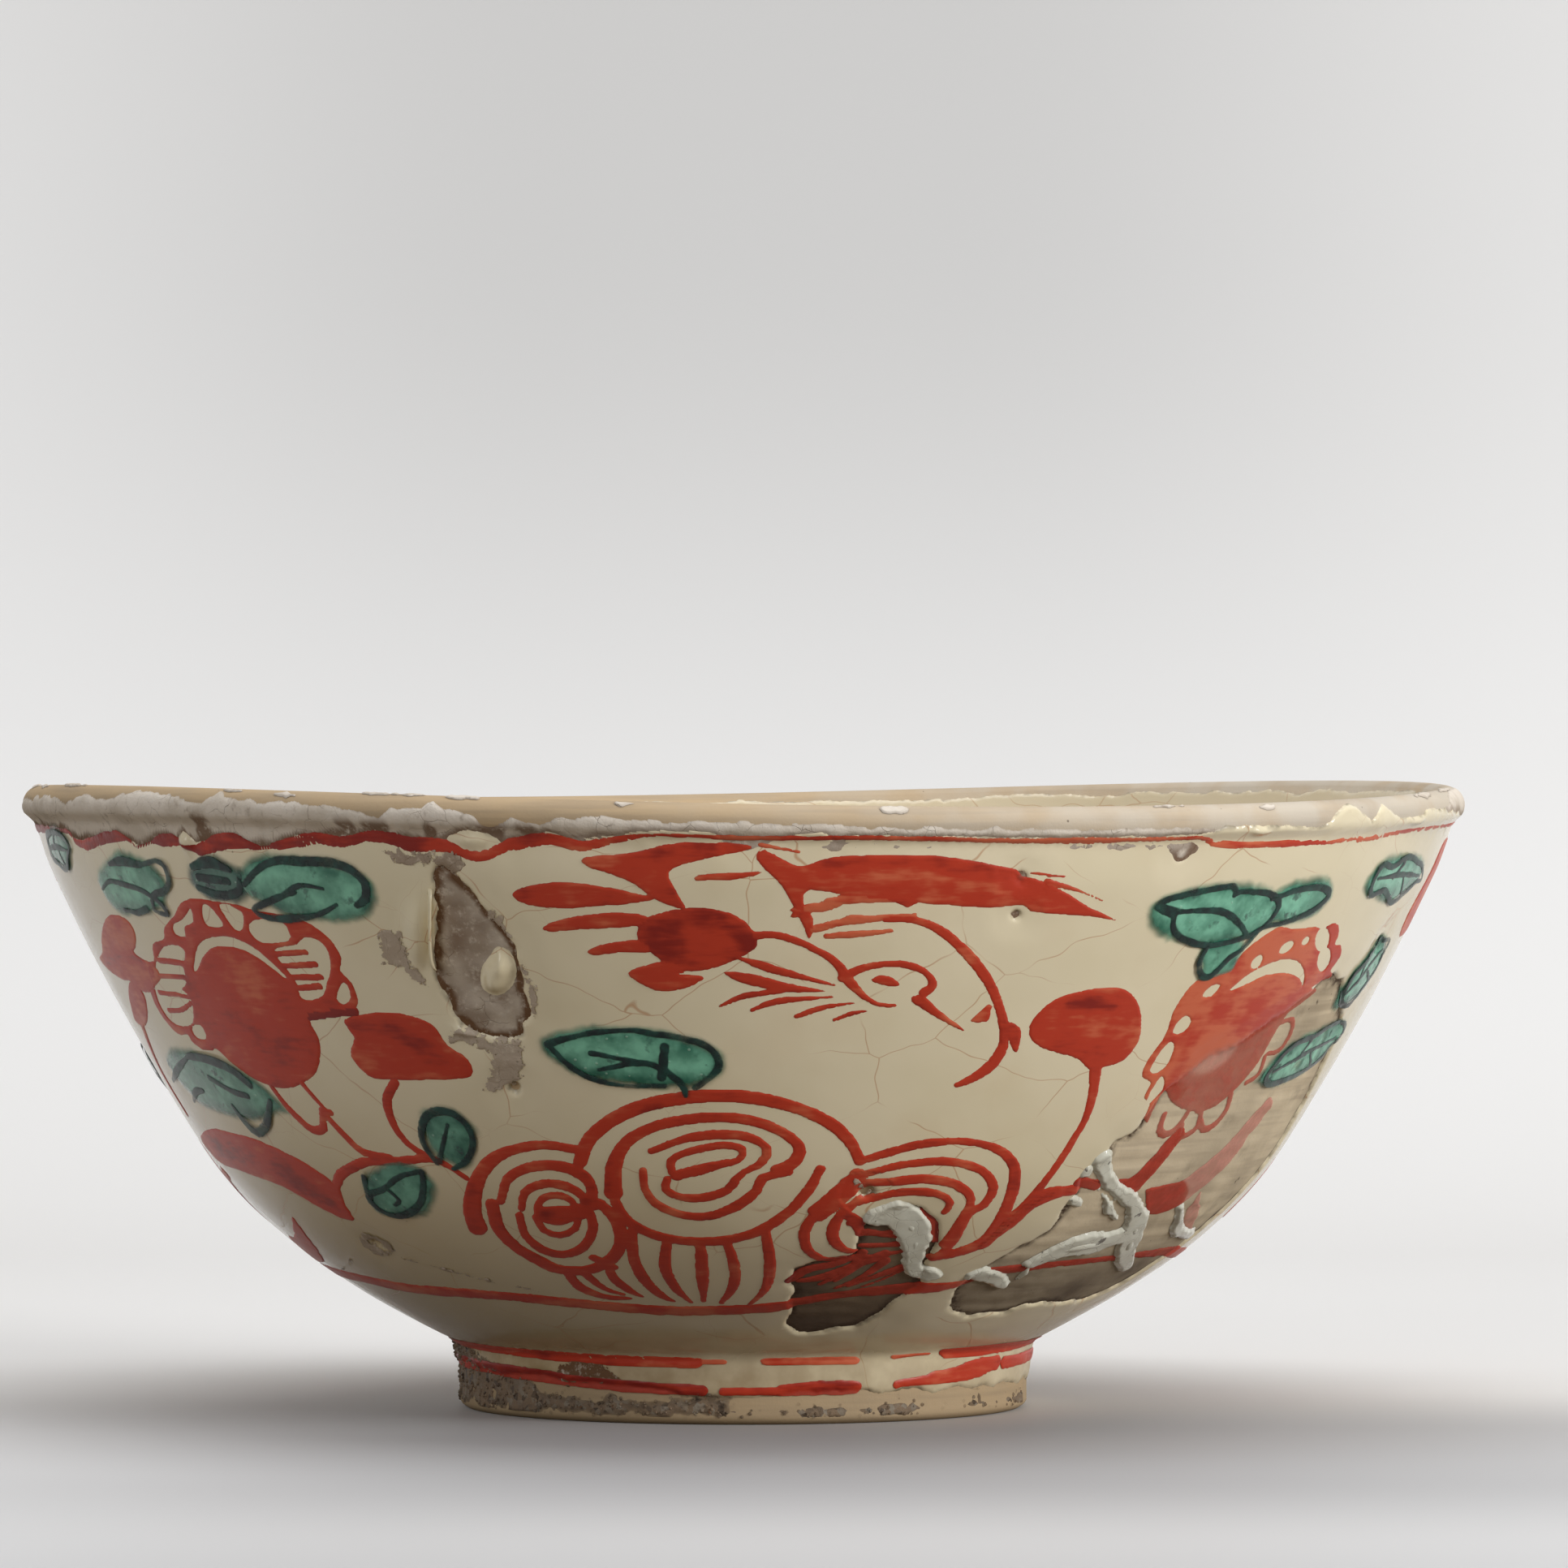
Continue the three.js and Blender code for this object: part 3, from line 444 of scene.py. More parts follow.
BIRD = [
    blob((-24.3, 66.9), (-22, 68), (-18, 68.5), (-14, 68), (-10, 67.2), (-8.7, 66.9), (-10.5, 66.2),
         (-14, 65.8), (-19, 65.4), (-22.5, 65.7)),
    blob((-16.5, 71.2), (-11, 72), (-8, 72.9), (-4, 73.3), (0, 73.1), (1.3, 72.6), (-1, 71.9), (-5, 71),
         (-7.5, 69.8), (-6.6, 67.5), (-5.7, 65.6), (-8, 66.2), (-9.5, 67), (-12, 68.8), (-16, 70.2)),
    line((1, 1.1, 0.6), (-4.6, 69.1), (-1, 69.5), (2.6, 70.1), dry=0.3, tone=-0.5),
    line(0.5, (2, 73), (6, 72.3), tone=-0.5),
    blob((-21, 63.1), (-19, 64.1), (-15, 64.9), (-10.6, 65), (-9.5, 64.2), (-10.8, 63.5), (-14.5, 63.1),
         (-18, 62.8), (-20.3, 62.6)),
    blob((-16.2, 60.5), (-14, 61.5), (-11, 61.9), (-9, 61.7), (-9.5, 60.4), (-13, 60.2), (-15.5, 59.9)),
    blob((-10.8, 62), (-10.3, 64.2), (-7.5, 65.4), (-4.5, 65.8), (-1, 65.2), (1.3, 63.2), (1.7, 61.5),
         (0.2, 60), (-3.5, 58.4), (-6.8, 58.5), (-9, 60), tone=0.35),
    blob((-12, 57.9), (-9.8, 59), (-7, 59.6), (-5.5, 58.5), (-6.5, 57.9), (-3.8, 57.6), (-5.5, 56.3),
         (-8, 55.7), (-10, 56.3)),
    line((1, 0.9, 0.9, 1.3), (1, 62.6), (4, 62.6), (7, 61.4), (9.8, 59.6), (10.8, 58)),
    line((1.2, 0.9, 0.9, 1.3), (10.6, 57.6), (13, 58.9), (16.5, 59.3), (19.2, 58.5), (20.3, 56.9),
         (19.3, 55.8)),
    line((1.4, 0.7, 0.5), (11.2, 57.3), (12.6, 55.6), (14.4, 54.4), (16.2, 54.3)),
    blob((13.6, 57.4), (14.6, 58), (16, 57.7), (16.8, 56.7), (15.5, 56.6), (14.2, 57)),
    blob((17.9, 55.3), (19.4, 55.6), (21, 53.7), (24.2, 50.9), (22, 51.9), (19.5, 53.6), (18.3, 54.4)),
    line((0.7, 1.1, 0.4), (-0.2, 59.9), (4, 58.4), (9.8, 56.7)),
    blob((-1.9, 58.3), (0.5, 58.2), (5, 57), (9, 56), (5, 55.8), (1, 56.6), (-1.4, 57.6)),
    line((0.3, 0.9, 0.5), (-2.2, 54.1), (0.5, 55.4), (4.5, 56)),
    line((0.5, 0.9, 0.4), (1.1, 53.7), (4, 54.8), (9.5, 55.3)),
    line((0.6, 0.8, 0.3), (5.7, 52.9), (8.5, 54), (12.5, 54.7)),
    line((0.5, 0.7, 0.3), (9.7, 52.5), (11.5, 53.3), (13.5, 53.7)),
    blob((1.5, 71.8), (2.6, 72.4), (5, 71.1), (6.5, 70.8), (9, 71.7), (13, 72), (18, 72.1), (22, 71.9),
         (26, 71.2), (29.5, 70.4), (30.2, 69.6), (31.5, 69.4), (34, 68.4), (35.5, 67.6), (38, 66),
         (41.5, 64.3), (38.5, 64.8), (34, 65.2), (31, 65.5), (30.2, 66.2), (27, 66), (22, 66.2),
         (18.6, 66.5), (17.5, 65.9), (16, 66.6), (11, 67.4), (7, 67.9), (6.6, 66.5), (7.6, 64.5),
         (7.1, 62.2), (6, 64.8), (4.2, 68.4), (2, 70.8)),
    line((0.9, 0.2), (33, 69), (36.5, 68), (39.8, 66.6), tone=-0.4),
    line(0.35, (31, 70), (35, 69.6), tone=-0.4),
    line((1.2, 1.5, 1.3, 0.8), (5.5, 65.3), (9, 66.3), (13, 67), (17.5, 67), dry=0.4, tone=-0.5),
    line((1.1, 1.4, 1), (7.5, 63.4), (11, 64.4), (15, 65), (18.3, 65.2), dry=0.45, tone=-0.5),
    line((0.9, 1.1, 0.4), (8.9, 62.5), (12, 62.8), (15.8, 63.3), dry=0.3, tone=-0.5),
    line((0.9, 1.1, 1.5, 1.2, 1.3, 1.5, 0.7), (15, 64.7), (18, 64.6), (21, 63.3), (24, 60.5), (26.3, 57.3),
         (27.7, 54), (28.3, 51), (28.2, 49), (27, 46.9), (25, 45.3), (23, 44.3)),
    blob((28.6, 52.2), (30.2, 51.5), (30.3, 49.8), (29.8, 48.2), (29, 49.4), (28.7, 50.5)),
    blob((24.4, 52.3), (26.6, 54.5), (26.8, 53.3), (26.3, 52.1), tone=-0.3),
    shade(0.5, oval(-7.5, 62, 2, 2.2)),
    shade(0.4, line((0.6, 1.6), (-2, 64.5), (0.8, 61.5))),
    shade(-0.5, line((0.4, 0.9), (10, 70), (18, 69.8), (27, 68.2))),
    shade(0.35, line((2, 1), (8, 71), (17, 71.6), (26, 70.6))),
    shade(0.3, line(1, (-9, 71.6), (-3, 72.8))),
]

SCROLL_MIDDLE = [
    line((1.6, 1.9, 1.7, 1.6, 1.3), (-17.2, 34.5), (-16.2, 37.3), (-13.8, 39.8), (-10, 41.8), (-5, 42.9),
         (0, 43), (5, 41.9), (9, 39.9), (11.4, 37.4), (12.5, 34.8)),
    line((2.2, 1.5, 1.4, 1.4, 1.7), (-13.6, 30.5), (-13.5, 34), (-12.2, 37), (-9, 39.2), (-4, 40.3),
         (0, 40.2), (3.5, 39), (6, 36.8), (5.5, 34.7), (3.8, 33.6)),
    line((0.9, 1.3, 1.2, 1.1, 0.8), (-9.5, 36), (-5, 37.9), (0, 38.1), (2.6, 36.6), (2.2, 34.8), (0.3, 33.4)),
    line(1, (-7.3, 33.2), (-7.4, 34.8), (-5.5, 36), (-2, 36.8), (0.1, 36.3), (-0.3, 35), (-2.5, 34.2),
         (-5, 33.2)),
    line((1.5, 1), (-6.8, 32.9), (-1.5, 34.7)),
    line((1, 1.3, 0.9), (-7.8, 32.4), (-8, 31), (-6.5, 30), (-4, 29.9), (-1.5, 31), (-0.6, 32.4), (0, 33.1)),
    line((0.9, 1.3, 1.4, 1), (-10.4, 33.5), (-10.2, 31), (-8.8, 28.8), (-6, 27.4), (-3.5, 27.3), (-0.5, 28.8),
         (1.6, 31), (2.2, 32.6), (5, 33.4)),
    line((1.1, 1.5, 1.5, 1.2), (-13.8, 31.3), (-13.2, 28.5), (-11.5, 25.8), (-8.5, 24), (-5, 23.3),
         (-1.5, 23.6), (2, 25.2), (5, 28), (7, 31), (8.3, 33.8)),
    line((1.3, 1.5, 0.6), (-11.7, 24.8), (-11.5, 20), (-10.3, 16), (-8.5, 13), (-7.3, 12)),
    line((1.2, 1.5, 0.6), (-7.9, 23.5), (-8.2, 19), (-7.2, 15), (-5.4, 11.7)),
    line((1.2, 1.6, 0.7), (-4.4, 23.2), (-4.2, 18), (-4.1, 12)),
    line((1, 1.5, 0.6), (-1.6, 23.4), (-0.8, 19), (-1, 15), (-2.2, 11.7)),
    line((1.1, 1.5, 0.6), (2.5, 25), (3, 20), (2.6, 15), (0.8, 11.3)),
    shade(0.4, line(1.5, (-13.5, 38), (-9, 41.5))),
    shade(0.4, line(1, (-14.4, 36.5), (-14, 31))),
]

SCROLL_LEFT = [
    line((2.6, 2.3, 1.8, 1.3, 1.2), (-29.6, 24.8), (-30, 28), (-29, 32), (-26.5, 35), (-22, 36.5),
         (-17.7, 36.1)),
    line((1.2, 1.5, 1.3), (-26.4, 29), (-25.5, 32), (-23, 33.6), (-19.5, 33.9), (-16.8, 32.6), (-15.9, 30.5),
         (-16.3, 28.9)),
    line((1, 1.3, 1), (-24, 28), (-23.5, 30.3), (-21.5, 31.5), (-19, 31.3), (-17, 29.8), (-17.1, 27)),
    ring(1, -20, 28, 2.2, 2),
    line((2, 1.8, 1.6), (-21.5, 27.4), (-18.5, 27.7), (-15.2, 28.9)),
    line((1.7, 1.9, 1.4), (-27.5, 28.5), (-27, 25), (-25, 21.8), (-22, 19.3), (-20, 18), (-17, 17.9),
         (-14.5, 19.5), (-13, 22.5), (-13.2, 26), (-14.5, 28.3)),
    line((1.1, 1.5, 1.1), (-24.3, 27), (-23.8, 24), (-22, 21.6), (-19.5, 20.7), (-17.2, 22), (-16, 25),
         (-16.2, 27.5)),
    line((0.9, 1.2, 0.9), (-22.4, 26.8), (-21.5, 24.7), (-19.7, 24), (-18, 25), (-17.5, 27)),
    line(1.2, (-16, 20.3), (-13.8, 18.5)),
    line((1.3, 1.5, 0.6), (-19.3, 18), (-17.8, 14.8), (-15, 12.8), (-12, 12.5)),
    line((1.3, 0.6), (-17.2, 17.5), (-15, 14.5), (-12.8, 13.3)),
    line((1.1, 1.4, 0.6), (-14.6, 19.8), (-13.8, 16.5), (-12, 14), (-10.7, 12.9)),
    shade(0.8, oval(-21, 27.3, 0.8, 0.8)),
    shade(0.4, line(2, (-29.8, 25), (-29.6, 30))),
]

SCROLL_RIGHT = [
    line((1, 1.2, 1.1, 1.5, 1.7, 1.6, 1.2), (12.3, 34.7), (16, 36), (20, 37), (24.5, 37.1), (28, 36),
         (30, 33.8), (30, 30.5), (28.8, 26.5), (26.5, 22.5), (22, 20.3), (20.7, 19.9)),
    line((1, 1.3, 1.1), (13, 33), (17, 34.2), (22, 34.6), (26, 33.4), (27.6, 31), (26.6, 28.6), (24.8, 27.2),
         (23, 22.5), (21.2, 20)),
    line((1.2, 1.4, 1), (8.3, 27), (12.5, 31.2), (16, 32), (20, 32.3), (23.5, 31.3), (25, 29.3), (24, 26.5),
         (22, 22.2)),
    line((1, 1.3, 0.9), (11, 28.5), (14, 29.6), (17, 30.5), (21, 30.3), (22.6, 29), (22, 27.5)),
    line((2.2, 2.5, 1.8), (12.3, 33), (10, 30.2), (7.8, 28), dry=0.3),
    line((1.5, 1.3, 1.1), (9.3, 29), (7.2, 26.5), (6.6, 24), (7.2, 21.5), (9, 19.8), (11, 20)),
    line((1.2, 1.5, 0.8), (12.5, 29.5), (10.3, 27), (9.6, 24), (10.8, 21.8), (12.2, 21.2)),
    line((1.2, 2.2, 1.4), (11, 27.5), (12.2, 26), (12.8, 24), dry=0.3, tone=0.4),
    line((1.2, 1.8, 1.8, 1.6, 1.7), (26.5, 22.5), (29.5, 25.3), (32, 28.1), (35, 29.7), (38.1, 30.2)),
    line((1.2, 0.6), (13.5, 24.3), (17, 23.3), tone=0.5),
    line((1, 0.6), (13, 22), (17.8, 22), tone=0.5),
    line((1.4, 1.3, 0.7), (15.5, 20.5), (9, 16.5), (6, 15.5), tone=0.4),
    line((1.2, 0.6), (14, 19.8), (10, 15.5), tone=0.4),
    line((1.3, 0.7), (17.5, 18), (11.5, 14.5), tone=0.4),
    shade(0.4, line(1.4, (29.4, 34.5), (30.1, 31))),
]

BRUSHED_LEAF = [
    blob((3, 30.5), (1.5, 32), (-2, 34), (-6.4, 35.4), (-12, 36.3), (-19, 36.6), (-25, 35.8), (-30, 34.5),
         (-27, 32.2), (-22, 31.2), (-16, 30.7), (-10, 29.8), (-6, 28.3), (-2.5, 26), (0, 25), (1.8, 25.2),
         (2.3, 27.5), (3.2, 29.5),
         dry=0.2),
    line((1.3, 1.3, 1.1, 1), (3, 30.3), (5, 31.8), (8, 33), (10.5, 33.7), (15, 33.9), (19, 34.4), (21, 33.7),
         (22.6, 32)),
    line((0.9, 1.3, 1), (7.2, 40), (9, 36.8), (10.5, 34.9), (14, 34.3)),
    line((1, 1.3, 0.9), (0.6, 42.8), (1.8, 40), (4, 37.5), (6.2, 37.8), (7, 39.5), (8.5, 39.8)),
    line((1, 0.7), (6.2, 43.4), (7.4, 41), (8.2, 39.7)),
    line((1.2, 1.2, 1), (20, 44), (17.6, 41.5), (16.9, 38.5), (17.6, 36), (19.3, 34.6)),
    blob((-24, 20.5), (-20, 20.8), (-16, 22.5), (-12, 24.8), (-13, 21.5), (-14.7, 18.8), (-17.5, 16.8),
         (-21, 15.9), (-26, 16), dry=0.3),
    shade(0.5, line((2, 3), (-24, 34), (-10, 33), (-1, 28.5))),
]

FLOWER_LEFT = [
    blob((-8, 46.8), (-10.5, 46.8), (-12.3, 47.8), (-12.3, 48.6), (-15, 48.6), (-17, 50.2), (-17.8, 52.2),
         (-17.3, 54), (-15.6, 54.2), (-15.5, 56), (-14.2, 57.5), (-12.5, 57.6), (-11, 59.6), (-8, 60.3),
         (-7, 61.5), (-5.2, 62.5), (-3.5, 63.2), (-1.5, 64.6), (1.5, 65.3), (4.8, 65), (8, 64.8),
         (10.5, 64.2), (13.5, 63.9), (17.5, 63.1), (20, 61), (20.5, 58.8), (19.6, 57.4), (20.4, 56),
         (20.2, 53.8), (19, 52.6), (16, 51.8), (12.3, 51.3), (12.3, 49), (11, 46.5), (9, 44.5), (5.5, 43),
         (2, 42.5), (-1.5, 43.3), (-5, 45.3), (-7, 47)),
    gap(blob((-4.2, 56.6), (-1.8, 59.3), (1, 60.5), (4.5, 60.8), (7.5, 60), (10, 58), (11.4, 56.2),
             (10.5, 56.8), (8.2, 58.6), (5, 59.7), (1.5, 59.6), (-1, 58.6), (-3.2, 57))),
    gap(blob((-13.6, 55.6), (-12, 57.4), (-10.6, 58.3), (-8.5, 59.3), (-5.5, 59.5), (-4.6, 58.8), (-6.2, 57),
             (-7, 55.2), (-9, 54.4), (-12.5, 54.6))),
    gap(blob((-16.2, 52.5), (-15.2, 54.5), (-13.5, 55.3), (-9, 54.3), (-7.8, 53), (-8.6, 51.4), (-10.5, 49.9),
             (-14, 49.8), (-15.8, 50.8))),
    gap(blob((-10.7, 49.3), (-9, 49.9), (-7.9, 49.6), (-8.3, 48.3), (-10.2, 48.3))),
    gap(blob((-5, 61), (-4.6, 62), (-2.5, 62.6), (-0.3, 63.8), (0, 64), (-0.5, 62.5), (-2.7, 61.8),
             (-3.2, 60.6))),
    gap(blob((1.7, 63), (2.5, 64.4), (3.5, 64.3), (4.6, 62.5), (4, 62), (2, 62))),
    gap(blob((5.4, 64.5), (6.5, 64.6), (8.2, 64), (8.6, 63.4), (7.5, 61.8), (6.3, 61.8), (5.6, 63.5))),
    gap(blob((8.8, 62), (9.8, 62.8), (12, 63), (14.2, 62.8), (14.6, 61.8), (14, 60.7), (10, 60.4),
             (8.9, 61.2))),
    gap(blob((11.2, 59.3), (13, 59.9), (15, 60.2), (16.5, 61.1), (18.3, 60.8), (18.9, 59.5), (18.3, 57.5),
             (17, 55.9), (15.5, 54.2), (13, 53.7), (12.3, 54.2), (12.6, 55.5), (12.2, 57))),
    gap(blob((17.4, 54), (19, 55.8), (19.6, 55.6), (19.3, 54.2), (18, 53.3))),
    line(0.8, (-11.3, 57.7), (-5.2, 57.4)),
    line(0.7, (-13.2, 55.8), (-6.8, 55.7)),
    line(0.7, (-14.8, 53.7), (-11, 53.6), (-7.8, 53.3)),
    line(0.7, (-14.5, 51.5), (-11, 51.7), (-8, 52.6)),
    line(0.8, (10.8, 59), (15.8, 59.4)),
    line(0.8, (11.2, 57.6), (16.5, 58)),
    line(0.8, (12, 56.3), (16.5, 56.5)),
    line(0.8, (12, 55), (15.8, 55.4)),
    line((1.4, 1.9, 1.5), (10.4, 51.6), (14.5, 52.3), (19, 52.5), dry=0.2, tone=0.9),
    shade(0.4, oval(7, 47, 3.5, 2)),
    shade(0.3, line(2, (-4, 49), (-3, 55))),
]

BUD_LEFT = [
    blob((15.6, 47.1), (17.3, 49.3), (16.8, 51.3), (20.3, 52.3), (24.7, 52.5), (28.2, 51.3), (28.9, 48.8),
         (30.6, 47.1), (29.9, 44.9), (25.2, 44.4), (19.3, 44.2), (16.8, 44.6)),
    shade(0.5, line((1, 3), (18, 51), (23, 50.5), (27, 47))),
]

PALE_FLOWER = [
    blob((-27, 60), (-24, 61.5), (-20, 62.8), (-16.5, 62.8), (-14.5, 62), (-14.4, 60.5), (-16, 59),
         (-17, 58.5), (-15.5, 57.8), (-13, 57.2), (-12.4, 55.6), (-15, 54.5), (-17.5, 53.6), (-20, 53.6),
         (-22, 54.8), (-26, 54.9), (-30.5, 55.7), (-34, 57.3), (-30, 58.2), tone=-0.4),
    blob((-30, 50), (-28.5, 51.5), (-26, 53.5), (-22, 55), (-20, 53.3), (-22, 50.8), (-25.5, 49.3),
         (-28.5, 49.2),
         tone=-0.2),
    line((1.4, 0.9), (-27, 49.6), (-30, 44), (-29, 38)),
    shade(0.8, line((0.8, 1.4), (-30, 57), (-22, 57.8), (-16, 57.6))),
]

FLOWER_RIGHT = [
    blob((-15.5, 44.8), (-15.8, 47), (-15.1, 50), (-15.5, 53), (-14.8, 56), (-12.6, 57.9), (-9.8, 58.8),
         (-8.4, 60.6), (-5.9, 62.3), (-4.4, 63), (-1.5, 62.6), (2.6, 62.7), (4, 62.3), (5.9, 63),
         (7.6, 62.7), (8.7, 61.2), (8.7, 60.3), (10.4, 60.1), (11.4, 59), (11.3, 57.6), (10.9, 56.9),
         (12.9, 56), (9.8, 55.4), (8, 54.9), (10.3, 54.4), (8.5, 53), (5.8, 51.6), (5, 49.5), (4.8, 47),
         (4, 44.6), (2.6, 42.6), (0, 40.2), (-3, 39.6), (-6.5, 40.3), (-9, 41.5), (-10.4, 42.7), (-10.6, 40),
         (-10.4, 38.4), (-11.8, 39.5), (-12, 41), (-13.7, 42.2), (-13.7, 44)),
    gap(blob((-12.2, 54.8), (-11.6, 55.9), (-10.2, 56), (-10.8, 54.8))),
    gap(blob((-14.1, 50.3), (-14, 51.8), (-13.2, 52.3), (-12.2, 51.6), (-12.6, 50.4))),
    gap(blob((-14.7, 45.6), (-14.5, 48), (-13.8, 49.1), (-12.9, 48.4), (-12.6, 46.4), (-13.4, 45.3))),
    gap(blob((-12.6, 44.8), (-11.2, 43), (-12.6, 40.9), (-12.9, 43))),
    gap(oval(-5.8, 58.7, 0.8, 0.8)),
    gap(oval(-1.5, 60.3, 1.1, 0.65, 20)),
    gap(oval(1.7, 61, 0.6, 0.5)),
    gap(oval(5.2, 61, 2, 1.1, -35)),
    gap(oval(7.6, 58.5, 2, 1.1, -40)),
    gap(blob((-8.3, 55.3), (-6, 57.3), (-2.5, 58.6), (1, 58.7), (4, 57.3), (5.5, 55.3), (4, 56.3), (1, 57.1),
             (-3, 57.1), (-6, 56))),
    line((0.7, 1, 0.7), (5, 50.5), (7.5, 50.8), (8.8, 49), (8, 47), (5.5, 46.6)),
    line(0.8, (5.3, 46.3), (5.8, 44), (4, 43)),
    line((0.9, 1.1, 0.8), (-8.4, 39.5), (-7.9, 37.5), (-6.4, 36.8), (-5, 37.8), (-4.6, 39.7)),
    line((0.8, 1, 0.7), (-4.4, 38), (-3.8, 36.6), (-2.5, 36.7), (-1.5, 37.7), (-2.2, 39.5), (-3, 39.7)),
    line((0.9, 1.1, 0.8), (-1.5, 38.4), (0, 37.2), (1.8, 37.8), (2.6, 39.8), (1.8, 41.8), (1.5, 42.5)),
    line((1, 1.8, 3.2), (-3.5, 36.7), (-5, 33.6), (-6.8, 30.2), tone=0.3),
    line((1, 0.4), (-8, 30.6), (-15.5, 31.3), tone=0.3),
    shade(0.3, line((1, 3), (-9, 53), (-2, 50), (3, 53))),
    shade(-0.4, oval(-6, 48, 4, 3)),
    shade(0.6, line(0.8, (-12, 43.5), (-8, 42.4))),
]

BUD_RIGHT = [
    blob((-33.4, 52.5), (-32, 54.8), (-29, 55.9), (-25, 56.2), (-22, 55), (-19.7, 52.5), (-18.4, 49.5),
         (-19.2, 47), (-21.3, 46.2), (-23, 45.8), (-25.4, 47.3), (-28, 48.1), (-31, 49), (-33, 50.6)),
    line((1.6, 1.1, 1.2, 1.8), (-22.4, 46), (-21.3, 43.5), (-20.3, 40), (-20.4, 36), (-20.9, 31.5),
         (-21.8, 26), (-22, 22.2)),
    line((1.6, 2.1, 1.2), (-21.9, 24), (-21.4, 27.4), (-19.5, 29.9), (-15.4, 30)),
    shade(1.1, line((0.5, 1.2, 0.4), (-30, 54.3), (-27, 54.2), (-24, 53.8))),
]

LEAF_ON_CLAY = [
    blob((-4.2, 29.4), (-1, 30), (1.3, 30.3), (4, 32.3), (7, 35), (9, 37.8), (11, 40.3), (12.5, 40.8),
         (13.9, 39.5), (13, 37.8), (11.5, 35.5), (11.2, 33.5), (9.5, 31), (8, 29.5), (5.5, 26.8), (3, 25.5),
         (0, 25.4), (-2, 26.8), (-3.5, 28.5), dry=0.1, tone=-0.8),
    blob((8, 28.5), (9.5, 27), (12, 25.5), (15, 22.5), (17, 21.5), (13, 22.3), (10, 23.5), (8, 25.5),
         dry=0.2, tone=-1),
    blob((-9, 30.3), (-7.6, 32), (-5.8, 36), (-4.5, 37.8), (-3.3, 37), (-4.3, 34), (-5, 31), (-6, 29.6),
         tone=0.5),
    line((1.6, 1.2), (-16, 31.2), (-12.6, 30.2), tone=0.6),
    line((1.2, 1, 0.7), (-17, 16.9), (-8, 17.5), (0.3, 17.9), (6, 18), (13, 17.4), tone=0.5),
    shade(1.3, blob((-4.5, 29.5), (-1, 30.2), (1.5, 30), (4.5, 28), (4.5, 26), (2, 25.2), (-0.5, 25.2),
                    (-3.5, 28))),
]

BACK_LEAF = [
    blob((-20, 32), (-12, 36), (-3, 36.5), (3, 33), (4, 29), (-1, 26), (-9, 25.5), (-17, 28), dry=0.3),
    line((1.2, 1.4, 1), (3, 30), (8, 34), (14, 36), (19, 35)),
]

# tone -0.3 makes this red paler, partly as a painted highlight of glare on it
WING_AT_EDGE = [
    blob((-4, 71.2), (2, 71.8), (7, 70.6), (9.4, 67), (7, 63.5), (2, 61), (-3, 60.2), (-6, 60.5), (-7.5, 63),
         (-6, 67),
         tone=-0.3),
]
PITS = [(0, 13.3, 30.5, 0.7), (0, 30, 69.5, 0.45), (0, 29.5, 65, 0.3), (-52, 1.5, 21, 0.6),
        (54, 22.9, 59.7, 0.8), (54, -23.5, 72, 0.7), (0, -24.5, 43.5, 0.5), (118, 6, 30, 0.8),
        (-118, -12, 44, 1)]

SCAR = blob((-32.7, 69.3), (-33.2, 66.5), (-33.3, 62), (-33.3, 58), (-32.9, 55.5), (-31, 52.5), (-29.5, 51),
            (-27.5, 50.1), (-25, 49.8), (-23.4, 50.1), (-23.3, 51.5), (-22.6, 52.3), (-22.9, 54.5),
            (-24.1, 59.5), (-24.6, 61.3), (-26, 63), (-27.8, 65), (-29, 67), (-30.7, 68.8), (-31.6, 69.4))
LOW_PATCH = blob((5, 15.6), (6, 17.3), (7, 18.6), (10, 19.9), (12.2, 20.6), (12.6, 22.8), (12.9, 25.1),
                 (14.2, 26), (15, 27.2), (16.5, 28), (18, 28.4), (19.3, 28), (20.8, 26), (21.4, 24.5),
                 (21.4, 22.6), (20.4, 21), (19.8, 18.3), (19.6, 16), (18.8, 14), (16, 10), (15, 8),
                 (13, 6.4), (11, 5), (9, 4.4), (6.3, 4.4), (5.2, 5.8), (5, 7.2), (5.4, 9), (5.2, 12),
                 (5.6, 13.5))
SIDE_PATCH = blob((3.5, 51.3), (5.5, 52.3), (9, 54.5), (10.5, 55.8), (14, 55.8), (16.5, 55), (18.5, 52.5),
                  (22.5, 50), (25, 46.5), (27, 40), (27.3, 35), (25.5, 30), (22, 24), (17, 17), (14, 12.8),
                  (9, 9.5), (5, 8.8), (-2, 9), (-4.6, 8.7), (-6, 7.2), (-8.5, 7.3), (-10.8, 7), (-13, 7.8),
                  (-15.3, 9.5), (-17, 12), (-18, 14.5), (-18.6, 16.9), (-17.8, 18.3), (-16.3, 21),
                  (-15.2, 23), (-14.5, 25), (-15.4, 28), (-15.2, 29.7), (-15.8, 31.5), (-15.2, 33.6),
                  (-13.6, 34.2), (-13.8, 36.3), (-12, 37), (-11, 39), (-10.6, 41.5), (-10.2, 43), (-7.5, 45),
                  (-6, 46.8), (-2.2, 48.5), (0, 49.5))
BACK_PATCH = blob((-7, 24), (-9, 31), (-5, 38), (2, 40), (7, 35), (9, 28), (5, 21), (-1, 19))
BARE = {"scar": (FRONT, SCAR), "low": (FRONT, LOW_PATCH), "side": (RIGHT, SIDE_PATCH),
        "back": (BACK_SCAR, BACK_PATCH)}

# How stained and how pale the clay of each bare place is; the low patch's stain is partly painted shade

BARE_TONES = {"low": (0.88, 0), "side": (0.02, 0.8), "scar": (0.2, 0.4), "back": (0.1, 0.4)}

SKIN_STAINS = {"by_scar": 0.4, "over_scar": 0.6}

